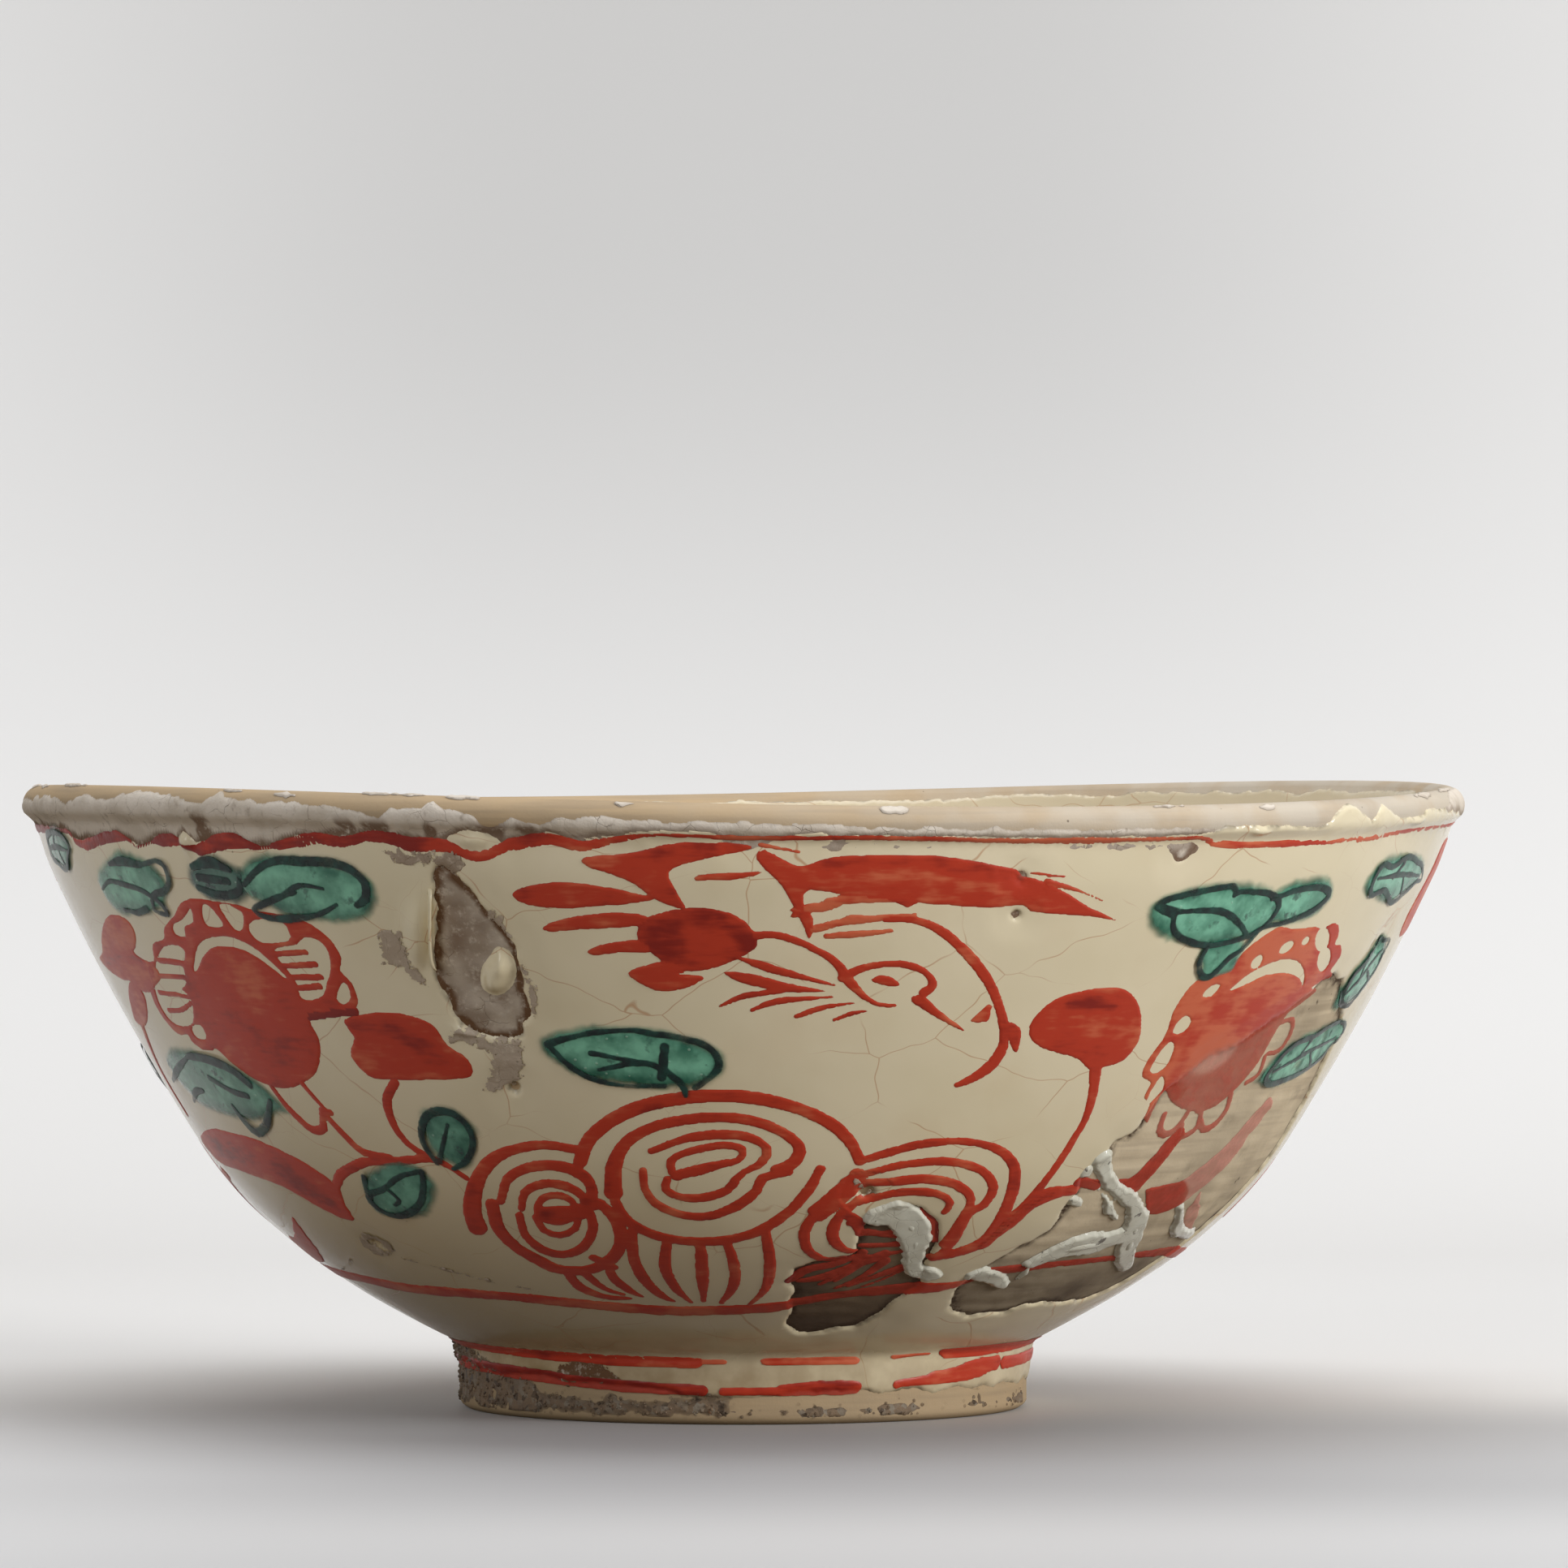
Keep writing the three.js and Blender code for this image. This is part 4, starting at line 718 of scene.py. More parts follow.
CHALK_SKINS = {
    "by_scar": (FRONT, [
        blob((-40, 62.3), (-38.8, 62.6), (-37, 63.3), (-36.4, 62), (-36, 59), (-34.5, 57), (-33.8, 55.4),
             (-35, 56), (-37, 57.3), (-38, 57.8), (-39.8, 58.3), (-40.2, 60)),
        blob((-27.6, 65.4), (-26.3, 65), (-25.3, 64.3), (-25, 63), (-24.4, 61.6), (-25.5, 61.8), (-26.3, 63),
             (-27.4, 64.5)),
        blob((-23.7, 58.5), (-22.8, 59), (-22.3, 57.5), (-21.6, 56), (-21.5, 54), (-21.7, 52), (-22.5, 52.5),
             (-22.5, 55), (-23.2, 57)),
        blob((-31.5, 50.8), (-29.5, 50.9), (-27, 49.9), (-24, 49.8), (-23.2, 49), (-23.4, 46.5), (-23.8, 44),
             (-25.5, 43.4), (-27.5, 43), (-28, 44), (-27.3, 46.5), (-28, 48), (-29.8, 48.5), (-31.9, 48.8),
             (-32.2, 49.8))]),
    "over_scar": (FRONT, [
        blob((-39.6, 71.4), (-37.4, 70.3), (-36, 69.9), (-33, 69.4), (-30.8, 69), (-29.6, 70.2),
             (-30.1, 71.5), (-33, 71.5), (-36, 71.3))]),
    "crater": (LEFT, [oval(1.5, 21, 2.8, 2.2, 10), gap(oval(1.5, 21, 0.7, 0.6)),
                     line((0.4, 0.7, 0.3), (-14, 15.5), (-8, 17.5), (-3, 20)),
                     line((0.6, 0.3), (4, 19), (12, 16), (20, 13))]),
    "gouge": (FRONT, [blob((11.6, 32.8), (12.8, 32), (14, 30.6), (14.3, 29.4), (13.6, 29), (12.9, 30.2),
                           (12.2, 31.4))]),
}

# Brown dirt on the foot, and the red strokes of its two lines

FOOT_DIRT = [blob((-22.5, -5.2), (-21, -3.6), (-18, -2.2), (-16, -2), (-15.2, -3.5), (-13.6, -5),
                  (-14.5, -5.8), (-18, -6), (-21, -6.1)),
             line((0.3, 0.5, 0.3), (-9.5, -6), (-6, -6.1), (-4.2, -6.5), (-3.6, -7.8), (-3.4, -9)),
             line((0.2, 0.6), (-19.5, -8.2), (-17.5, -8)), line((0.3, 0.7), (-16, -8), (-14.6, -7.9))]
FOOT_STROKES = [
    line((1.7, 2, 1.9), (-46.6, -1.5), (-36, -1.7), (-25, -2.1), (-15, -2.5), (-5, -2.7)),
    line(1, (-4.4, -2.7), (-2, -2.7), tone=-0.6),
    line(1.8, (2.7, -2.7), (12, -2.6), dry=0.5, tone=-0.3),
    line(1.2, (17, -2.4), (21.4, -2.2), dry=0.6, tone=-0.5),
    line((2.1, 2.5, 2.2), (24, -2), (32, -1.7), (39.5, -1.5)),
    line(1.9, (40, -1.5), (48, -1.2)),
    line((1.4, 1.5, 1.3), (-49, -4.3), (-35, -4.5), (-22, -5.1), (-14.5, -5.6), (-4.3, -6), tone=0.9),
    line(1, (-2.1, -6.1), (3.8, -6.1), tone=0.5),
    line((1.3, 1.7, 1.5), (4.2, -6), (8, -5.8), (12.5, -5.8), tone=0.6),
    line((1.1, 2.4, 2), (17.4, -5.6), (24, -5), (29, -4.4), (33, -4), dry=0.3),
    line(1.4, (34.8, -4.1), (47, -3.7)),
]

# What is left of the red on the low patch

FAN = [
    line((1.3, 1, 0.6), (13, 20.8), (12.2, 18.8), (10.5, 16.8), (8.3, 14.8), tone=0.4),
    line((1.3, 0.9, 0.5), (15.6, 19.3), (14, 17.3), (12, 15.3), (10, 14), tone=0.4),
    line(0.5, (17.7, 17.5), (15.5, 15.8), (13, 14.2), tone=0.4),
    line(0.8, (12.8, 22), (15, 22), (17.6, 22.4), tone=0.4),
    line(0.8, (13, 24), (15, 24), (16.6, 24.3), tone=0.4),
    line((1, 0.7), (12.2, 20), (14, 20), (17.8, 21), tone=0.4),
    line((1.4, 1.2), (5.2, 15.9), (7, 17.8), (9.5, 18.6), (11.5, 19.8), tone=1),
    line((1, 1.6, 1.1), (19.4, 27.4), (20.6, 25.5), (21, 22.8), tone=1.6),
]

# Chalky bits on top of the lip: millimetres round it, how far above its crown, half their length

LIP_BITS = [(-112, 0, 3), (-104, -0.3, 2), (-92, 0, 3.4), (-60, -0.3, 2), (-52, -0.8, 1.6), (-38, 0.1, 4),
            (-30, -0.2, 2), (-12, -0.5, 1.2), (16, -0.6, 1.5), (48, -0.2, 2.2), (62, -0.8, 1.2),
            (96, -0.3, 3), (108, 0, 4)]

GLAZE_TOP = [(-90, 73.2), (-78, 73), (-70, 72.9), (-69, 72), (-66, 71.7), (-63, 72.1), (-59.3, 72.5),
             (-57.5, 71.8), (-56.5, 71.2), (-54, 72), (-52, 72.3), (-50.6, 72), (-49.5, 73), (-48.3, 71.6),
             (-46, 72.3), (-43.5, 72.5), (-42, 71.7), (-40.5, 71.5), (-38, 72.4), (-35, 73.2), (-31, 73.3),
             (-29.3, 73.7), (-27.9, 73.4), (-26.4, 72.9), (-24.2, 72.7), (-23, 73.6), (-21, 74.1),
             (-19, 73.5), (-18.3, 72.9), (-16, 73.6), (-14.7, 74.2), (-13.2, 73.5), (-11, 74), (-6, 74.8),
             (-2, 74.8), (-1, 73.2), (1, 73), (2.9, 73.9), (4.5, 74.8), (6.5, 74.8), (7.2, 73.4),
             (8.2, 74.4), (9, 74.8), (22, 74.6), (36, 74.6), (38, 75), (42, 75.6), (50, 75.2), (52, 75.8),
             (55, 77.5), (58, 75.3), (60, 77.2), (63, 75.2), (70, 76.3), (80, 75.5), (90, 74.5), (120, 73.4),
             (150, 73.8), (180, 73.6), (-150, 73.2), (-120, 73)]
SLIP_TOP = [(-90, 76), (-73, 76.6), (-66, 76.2), (-63, 76.8), (-59, 76.4), (-56.5, 77.4), (-53.6, 77.6),
            (-50, 77), (-46, 76.4), (-44.5, 78), (-42.5, 76.8), (-38, 77), (-34.6, 76.6), (-30.6, 76.2),
            (-28.6, 75.4), (-27.6, 76.6), (-25, 76.4), (-24.2, 77.4), (-23, 76.6), (-20.6, 76),
            (-19.5, 74.8), (-17.4, 76), (-15, 75.2), (-13.5, 76), (-8, 76), (0, 75.8), (5, 76), (10, 75.6),
            (30, 75.5), (36, 75.5), (45, 75), (68, 75), (74, 76), (79, 78.2), (90, 78), (120, 75.5),
            (180, 75), (-120, 75)]
LOWER_LINE = [(-110, 14), (-90, 14.6), (-70, 14), (-52, 12.6), (-45, 12.5), (-35, 12.2), (-24, 11.2),
              (-12, 10), (-6, 9.9), (0, 10.2), (7, 10.9), (14, 12.6), (22, 13.6), (31, 14.8), (36, 16.5),
              (54, 17.8), (70, 18), (90, 17), (125, 14), (160, 11), (-160, 10.6), (-130, 12.4)]
RIM_LINE = [(-90, 72.6), (-78, 72.5), (-70, 72.3), (-69, 71.3), (-66.7, 70.8), (-63, 71.5), (-59.3, 71.9),
            (-57.5, 71.3), (-57, 70.7), (-54.2, 71.4), (-52, 71.7), (-50.5, 71.6), (-48.3, 70.7), (-46, 71.5),
            (-43.5, 71.9), (-41.5, 71.2), (-40, 71.3), (-37.3, 71.9), (-35, 72.4), (-32.5, 72.1), (-30, 72.9),
            (-27.9, 72.7), (-26.4, 72.1), (-23.3, 72.1), (-21.3, 71.1), (-19.8, 71.3), (-18.3, 72.3),
            (-16, 73), (-14.7, 73.3), (-13.2, 72.7), (-11.7, 72.5), (-8.8, 73.6), (-6, 74.2), (0, 73.9),
            (5.9, 74.1), (8.1, 74.2), (14.7, 74.1), (22, 73.8), (35.7, 73.9), (37.9, 74), (39.3, 73.3),
            (41, 72.9), (54, 72.8), (56.9, 73.2), (58, 72.9), (68.7, 73.6), (90, 73.4), (130, 72.6),
            (180, 72.8), (-140, 72.2)]
RIM_WIDTH = [(-90, 0.9), (-70, 0.8), (-66, 1.7), (-60, 1.6), (-57.5, 0.6), (-54.5, 0.5), (-53, 1.5),
             (-51, 1.4), (-49.8, 0.7), (-48, 1.3), (-44, 1.7), (-42, 0.9), (-40.5, 0.5), (-37, 1.3),
             (-31, 1.2), (-27, 1.6), (-24, 1.4), (-20, 1.1), (-16, 1.5), (-13, 1.2), (-8, 0.9), (0, 0.75),
             (40, 0.95), (90, 0.7), (180, 1)]
LOWER_WIDTH = [(-100, 1.9), (-60, 2.6), (0, 2.2), (10, 1.7), (25, 2), (33, 1.3), (60, 1.2), (100, 1.9),
               (180, 1.9)]
FOOT_LINE_HIGH = [(-90, -0.9), (-50, -1.6), (-25, -2.2), (0, -2.4), (20, -2.2), (40, -1.6), (60, -1.1),
                  (90, -0.8), (180, -1.8)]
FOOT_LINE_LOW = [(-90, -4), (-50, -4.6), (-25, -5.4), (0, -5.9), (20, -5.7), (40, -4.9), (60, -4.3), (90, -4),
                 (180, -5)]
FOOT_GLAZE = [(-90, -4.2), (-60, -4.6), (-40, -5), (-20, -6), (0, -6.6), (20, -6.3), (45, -6.5), (90, -6.4),
              (150, -6.7), (-150, -6)]

# Each leaf: its chart, its middle, half its length and height, and its tilt

LEAVES = {
    "leaf_left_edge": (LEFT, -29.8, 70.3, 5, 2.3, 0),
    "leaf_left_over_flower": (LEFT, -10.6, 66.6, 7.6, 3, 2),
    "leaf_left_dark": (LEFT, 6.6, 67.6, 4.3, 2.4, 0),
    "leaf_left_by_scar": (LEFT, 19.4, 66.8, 8.6, 3.5, -2),
    "leaf_left_under_flower": (LEFT, -11.5, 42.4, 12, 3.4, -10),
    "leaf_left_small": (LEFT, 23.3, 37.2, 3.8, 2.7, 60),
    "leaf_left_low": (LEFT, 12.3, 29.6, 5.8, 2.8, 28),
    "leaf_under_bird": (FRONT, -11.5, 47.8, 9.4, 3.3, -7),
    "leaf_right_over_bud": (RIGHT, -15, 64.9, 9.2, 3.5, 0),
    "leaf_right_twin": (RIGHT, -2.6, 65.8, 5.4, 2.2, 8),
    "leaf_right_small": (RIGHT, -12.2, 59.6, 2.8, 2.6, 0),
    "leaf_right_edge": (RIGHT, 19, 68, 8.6, 2.5, 0),
    "leaf_on_clay": (RIGHT, 16, 46, 9.6, 3, 14),
    "leaf_back_right_over": (BACK_RIGHT, -27, 66, 8.4, 3.1, 0),
    "leaf_back_right_under": (BACK_RIGHT, -12, 47.5, 9.4, 3.4, -6),
    "leaf_back_right_side": (BACK_RIGHT, 27, 43, 7.4, 2.9, 20),
    "leaf_back_left_over": (BACK_LEFT, -27, 66, 8.4, 3.1, 3),
    "leaf_back_left_under": (BACK_LEFT, -12, 47.5, 9.4, 3.4, -9),
    "leaf_back_left_side": (BACK_LEFT, 27, 43, 7.4, 2.9, 16),
    "leaf_far_right": (RIGHT, 21.5, 56.2, 5.2, 3, 40),
}
DARK_LEAVES = {"leaf_left_dark": 0.9, "leaf_left_small": 0.4, "leaf_left_low": 0.4,
               "leaf_left_under_flower": 0.3}

LEAF_LINES = {
    "leaf_left_over_flower": [
        line((0.7, 1.3, 1), (-13.5, 69), (-10, 69.3), (-6.5, 69)),
        line((0.6, 1, 0.8), (-18, 66), (-15, 67), (-12, 66.7), (-8, 66), (-5, 64.5), (-4.5, 63.3)),
        line((0.7, 1, 0.8), (-6, 69), (-3, 69.5), (-1.5, 68.8), (-1.8, 67), (-3.5, 66), (-6, 65.5),
             (-7, 63.8), (-5, 63.3)),
        line((0.7, 1), (-14, 63.7), (-11, 63.4), (-8.5, 63.9)),
    ],
    "leaf_left_dark": [
        line((1, 1.6, 1), (3.5, 69), (6.5, 69.6), (9.5, 68.8)),
        line((1, 1.4, 0.8), (3.2, 66.6), (6.5, 65.8), (9.8, 66.4), (10.4, 67.8)),
        line(1.2, (4, 67.8), (8.6, 67.5)),
    ],
    "leaf_left_by_scar": [
        line((0.8, 1.2, 1.3, 0.9), (11, 67.2), (14, 69), (17, 70), (20, 70), (24, 70), (26.5, 69.3),
             (27.7, 67.8), (27, 66), (25.5, 65.2)),
        line((0.6, 1.1, 0.9, 0.7), (23, 65.2), (20, 64), (16, 63.4), (12.5, 63.5), (11, 64.3), (14, 65.5),
             (18, 66.5)),
        line((0.6, 0.9, 0.5), (12, 64.5), (16, 66), (19, 67.3), (22, 67)),
    ],
    "leaf_left_under_flower": [
        line((1, 1.5, 1.3), (-14.5, 46), (-12, 46), (-8, 45.5), (-5, 44.5), (-3, 43)),
        line((0.7, 1.1, 0.7), (-20, 40.2), (-17.5, 41.5), (-15, 41.7)),
        line((1, 1.3, 1.5, 1), (-9, 40), (-8, 38), (-6.5, 36.8), (-3.5, 38), (-0.5, 41)),
        line((0.8, 1.2, 0.7), (-24.5, 42.6), (-20, 44.2), (-14.5, 46)),
        line(1, (-11.5, 43.5), (-7.5, 42), (-4.5, 41.5)),
    ],
    "leaf_left_small": [
        line((0.8, 1.2, 1, 0.8), (20.2, 34), (19.8, 36.5), (21, 39), (23.3, 40.6), (25.6, 40.4), (26.5, 38.8),
             (26, 36.5), (24, 34.4), (21.8, 33.3)),
        line((0.9, 0.5), (20.6, 34.2), (22.4, 36.6), (24.2, 39)),
    ],
    "leaf_left_low": [
        line((0.7, 1, 1.1, 0.8), (17.6, 32.9), (14, 32), (10.5, 30.2), (8, 29.5), (7.3, 28.2), (8.5, 26.6),
             (11, 26.6), (14.5, 28.5), (16.8, 31.3), (17.3, 32.5)),
        line((1, 0.6), (8.8, 31.8), (7.6, 29.6)),
        line((0.9, 0.6), (11.2, 30.2), (11.8, 28.8), (10.6, 28)),
    ],
    "leaf_under_bird": [
        line((0.8, 1.1, 0.9, 0.8, 1), (-4.8, 44.2), (-3, 45.8), (-2.3, 47.3), (-3.5, 49.3), (-6.5, 50.4),
             (-9.5, 50.8), (-11, 51.2), (-15, 50.9), (-18.5, 50), (-20.5, 49.3)),
        line((0.6, 0.9, 0.7), (-20.5, 49.3), (-18.5, 47), (-16, 45.3), (-12.5, 44.4), (-8, 44.4)),
        line((0.8, 0.6), (-15.8, 48.3), (-9, 47)),
        line((0.7, 0.9, 1, 0.7), (-15, 46.3), (-10, 47.2), (-6.5, 45), (-5.8, 43.2)),
        line(1.2, (-8, 49.2), (-8.3, 45.5)),
    ],
    "leaf_right_over_bud": [
        line((1.4, 1, 0.9, 1, 0.9), (-21.8, 65.2), (-24.3, 66), (-23.5, 66.8), (-20, 67.6), (-15, 68.2),
             (-14.2, 67.2), (-13.5, 67.5), (-9, 67.2), (-6.6, 66), (-6.5, 64.8), (-7.5, 63.2), (-9.5, 62)),
        line((0.8, 1, 0.9), (-9.5, 62), (-14.5, 61.1), (-18.5, 61.8), (-21, 63.2), (-21.8, 65.2)),
        line((0.8, 1, 0.7), (-21.5, 65.3), (-17.5, 65.4), (-14.5, 65), (-11.5, 63.5), (-9.5, 62)),
    ],
    "leaf_right_small": [
        line((0.8, 1.1, 0.8), (-15, 61), (-15.2, 59), (-14, 57.4), (-12.5, 57.4), (-11, 59.5), (-9.5, 60.5),
             (-8.3, 62.3)),
    ],
    "leaf_right_twin": [
        line((0.8, 1.1, 0.9), (-8, 66.5), (-6, 67), (-4, 67.5), (0, 67.6), (2, 66.9), (1.8, 66), (0, 64.8),
             (-4, 63.6), (-7.5, 63.2)),
    ],
}


# Sheets laid over a chart


SNAP = 0.22  # share of a step within which a sheet's edge snaps to the grid
WIDEN = 2.2  # steps in from the edge after which the facets double in size


def drape(chart, field, height, step, coarse=3, near=None):
    """Points, faces and edge depth of a sheet over the part of a chart where field is positive."""
    low_p, high_p, low_q, high_q = chart.window
    reach = 2 ** coarse
    count_p = int((high_p - low_p) / step / reach + 1) * reach + 1
    count_q = int((high_q - low_q) / step / reach + 1) * reach + 1
    p, q = np.meshgrid(low_p + step * np.arange(count_p), low_q + step * np.arange(count_q), indexing="ij")
    deep = field(*chart.spot(p.ravel(), q.ravel())).reshape(p.shape)
    deep[np.abs(deep) < SNAP * step] = 0
    deep[[0, -1]] = deep[:, [0, -1]] = np.minimum(deep[:, [0, -1]], 0).min() - 1
    level = np.zeros(p.shape, int)
    for k in range(1, coarse + 1):
        level[deep > step * WIDEN * (2 ** k - 1) + 0.3] = k
    if near is not None:
        level = np.minimum(level, near(*chart.spot(p.ravel(), q.ravel())).reshape(p.shape).astype(int))
    i, j = np.indices(p.shape)
    size = 2 ** level
    keep = (deep > 0) & (i % size == 0) & (j % size == 0)
    touch = np.zeros(p.shape, bool)
    touch[1:] |= deep[:-1] > 0
    touch[:-1] |= deep[1:] > 0
    touch[:, 1:] |= deep[:, :-1] > 0
    touch[:, :-1] |= deep[:, 1:] > 0
    keep |= (deep == 0) & touch
    spots = [np.column_stack([p[keep], q[keep], deep[keep]])]
    for axis in (0, 1):
        first = (slice(None, -1), slice(None)) if axis == 0 else (slice(None), slice(None, -1))
        second = (slice(1, None), slice(None)) if axis == 0 else (slice(None), slice(1, None))
        a, b = deep[first], deep[second]
        cross = a * b < 0
        t = (a / np.where(cross, a - b, 1))[cross]
        at_p = p[first][cross] + t * (p[second][cross] - p[first][cross])
        at_q = q[first][cross] + t * (q[second][cross] - q[first][cross])
        spots.append(np.column_stack([at_p, at_q, 0 * t]))
    spots = np.vstack(spots)
    if len(spots) < 3:
        raise RuntimeError("a sheet has nothing to cover")
    verts, _, faces, origin, _, _ = delaunay_2d_cdt([Vector(s[:2]) for s in spots], [], [], 0, 1e-7)
    faces = np.array([f for f in faces if len(f) == 3])
    flat = np.array([v[:] for v in verts])
    depth = np.array([spots[o[0], 2] if o else 0 for o in origin])
    middle = flat[faces].mean(1)
    gp, gq = (middle[:, 0] - low_p) / step, (middle[:, 1] - low_q) / step
    ip, iq = np.clip(gp.astype(int), 0, count_p - 2), np.clip(gq.astype(int), 0, count_q - 2)
    fp, fq = gp - ip, gq - iq
    inside = (deep[ip, iq] * (1 - fp) * (1 - fq) + deep[ip + 1, iq] * fp * (1 - fq)
              + deep[ip, iq + 1] * (1 - fp) * fq + deep[ip + 1, iq + 1] * fp * fq)
    faces = faces[inside > 0]
    used, faces = np.unique(faces, return_inverse=True)
    faces = faces.reshape(-1, 3)
    flat, depth = flat[used], depth[used]
    angle, v = chart.spot(flat[:, 0], flat[:, 1])
    return chart.place(angle, v, height(angle, v, depth)), faces, depth, angle, v


def new_object(name, data):
    """A new object in the scene."""
    piece = bpy.data.objects.new(name, data)
    bpy.context.collection.objects.link(piece)
    return piece


def new_path(name, points):
    """A new object that is a bare line through points in metres."""
    mesh = bpy.data.meshes.new(f"{name}_path")
    mesh.from_pydata([tuple(p) for p in points], [(i, i + 1) for i in range(len(points) - 1)], [])
    return new_object(name, mesh)


def add_mesh(name, points, faces, materials, attributes=None, picks=None):
    """A new object from points in millimetres."""
    mesh = bpy.data.meshes.new(name)
    mesh.vertices.add(len(points))
    mesh.vertices.foreach_set("co", (np.asarray(points) * MM).astype(np.float32).ravel())
    mesh.loops.add(faces.size)
    mesh.loops.foreach_set("vertex_index", faces.astype(np.int32).ravel())
    mesh.polygons.add(len(faces))
    mesh.polygons.foreach_set("loop_start", np.arange(0, faces.size, 3, dtype=np.int32))
    mesh.update(calc_edges=True)
    mesh.validate()
    mesh.shade_smooth()
    for key, values in (attributes or {}).items():
        mesh.attributes.new(key, "FLOAT", "POINT").data.foreach_set("value", np.asarray(values, np.float32))
    for material in materials:
        mesh.materials.append(material)
    if picks is not None:
        mesh.polygons.foreach_set("material_index", np.asarray(picks, np.int32))
    return new_object(name, mesh)


def join(name, parts, materials):
    """One object from several sheets, each given as its points, faces, attributes and material's number."""
    points, faces, picks, kept, start = [], [], [], {}, 0
    for p, f, attributes, number in parts:
        points.append(p)
        faces.append(f + start)
        picks.append(np.full(len(f), number))
        start += len(p)
    for key in sorted({k for part in parts for k in part[2]}):
        kept[key] = np.concatenate([part[2].get(key, np.zeros(len(part[0]))) for part in parts])
    return add_mesh(name, np.vstack(points), np.vstack(faces), materials, kept, np.concatenate(picks))


def hand_in(piece, slot, *nodes):
    """Joins the piece to the bowl in place of its solids."""
    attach(piece, "root")
    if nodes:
        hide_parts(*nodes)


# Swellings of the glaze near the lip: chart, place, half length and half height, rise

BUMPS = [(0, -35.2, 62, 1.5, 5.2, 0.85), (0, -29.5, 50.6, 3, 0.9, 0.5),
         (-52, 3.4, 71.8, 1.5, 1.4, 0.7), (0, -28.8, 72.9, 2.8, 1.1, 0.55), (54, 1, 76.2, 2.2, 1, 0.4),
         (54, 7.5, 75.6, 1.6, 0.8, 0.5), (54, -14, 74.8, 2, 0.6, 0.35), (-52, 22, 72.6, 3, 0.7, 0.25),
         (0, -11, 73.3, 4, 0.6, 0.2), (54, 17, 75.2, 3, 0.7, 0.3)]
BROWN = [(-28.8, 1.2), (-19.3, 1.6), (-16.2, 1.5), (-32, 1), (-24.4, 0.7), (-47, 0.8), (37.5, 0.8), (-78, 1)]


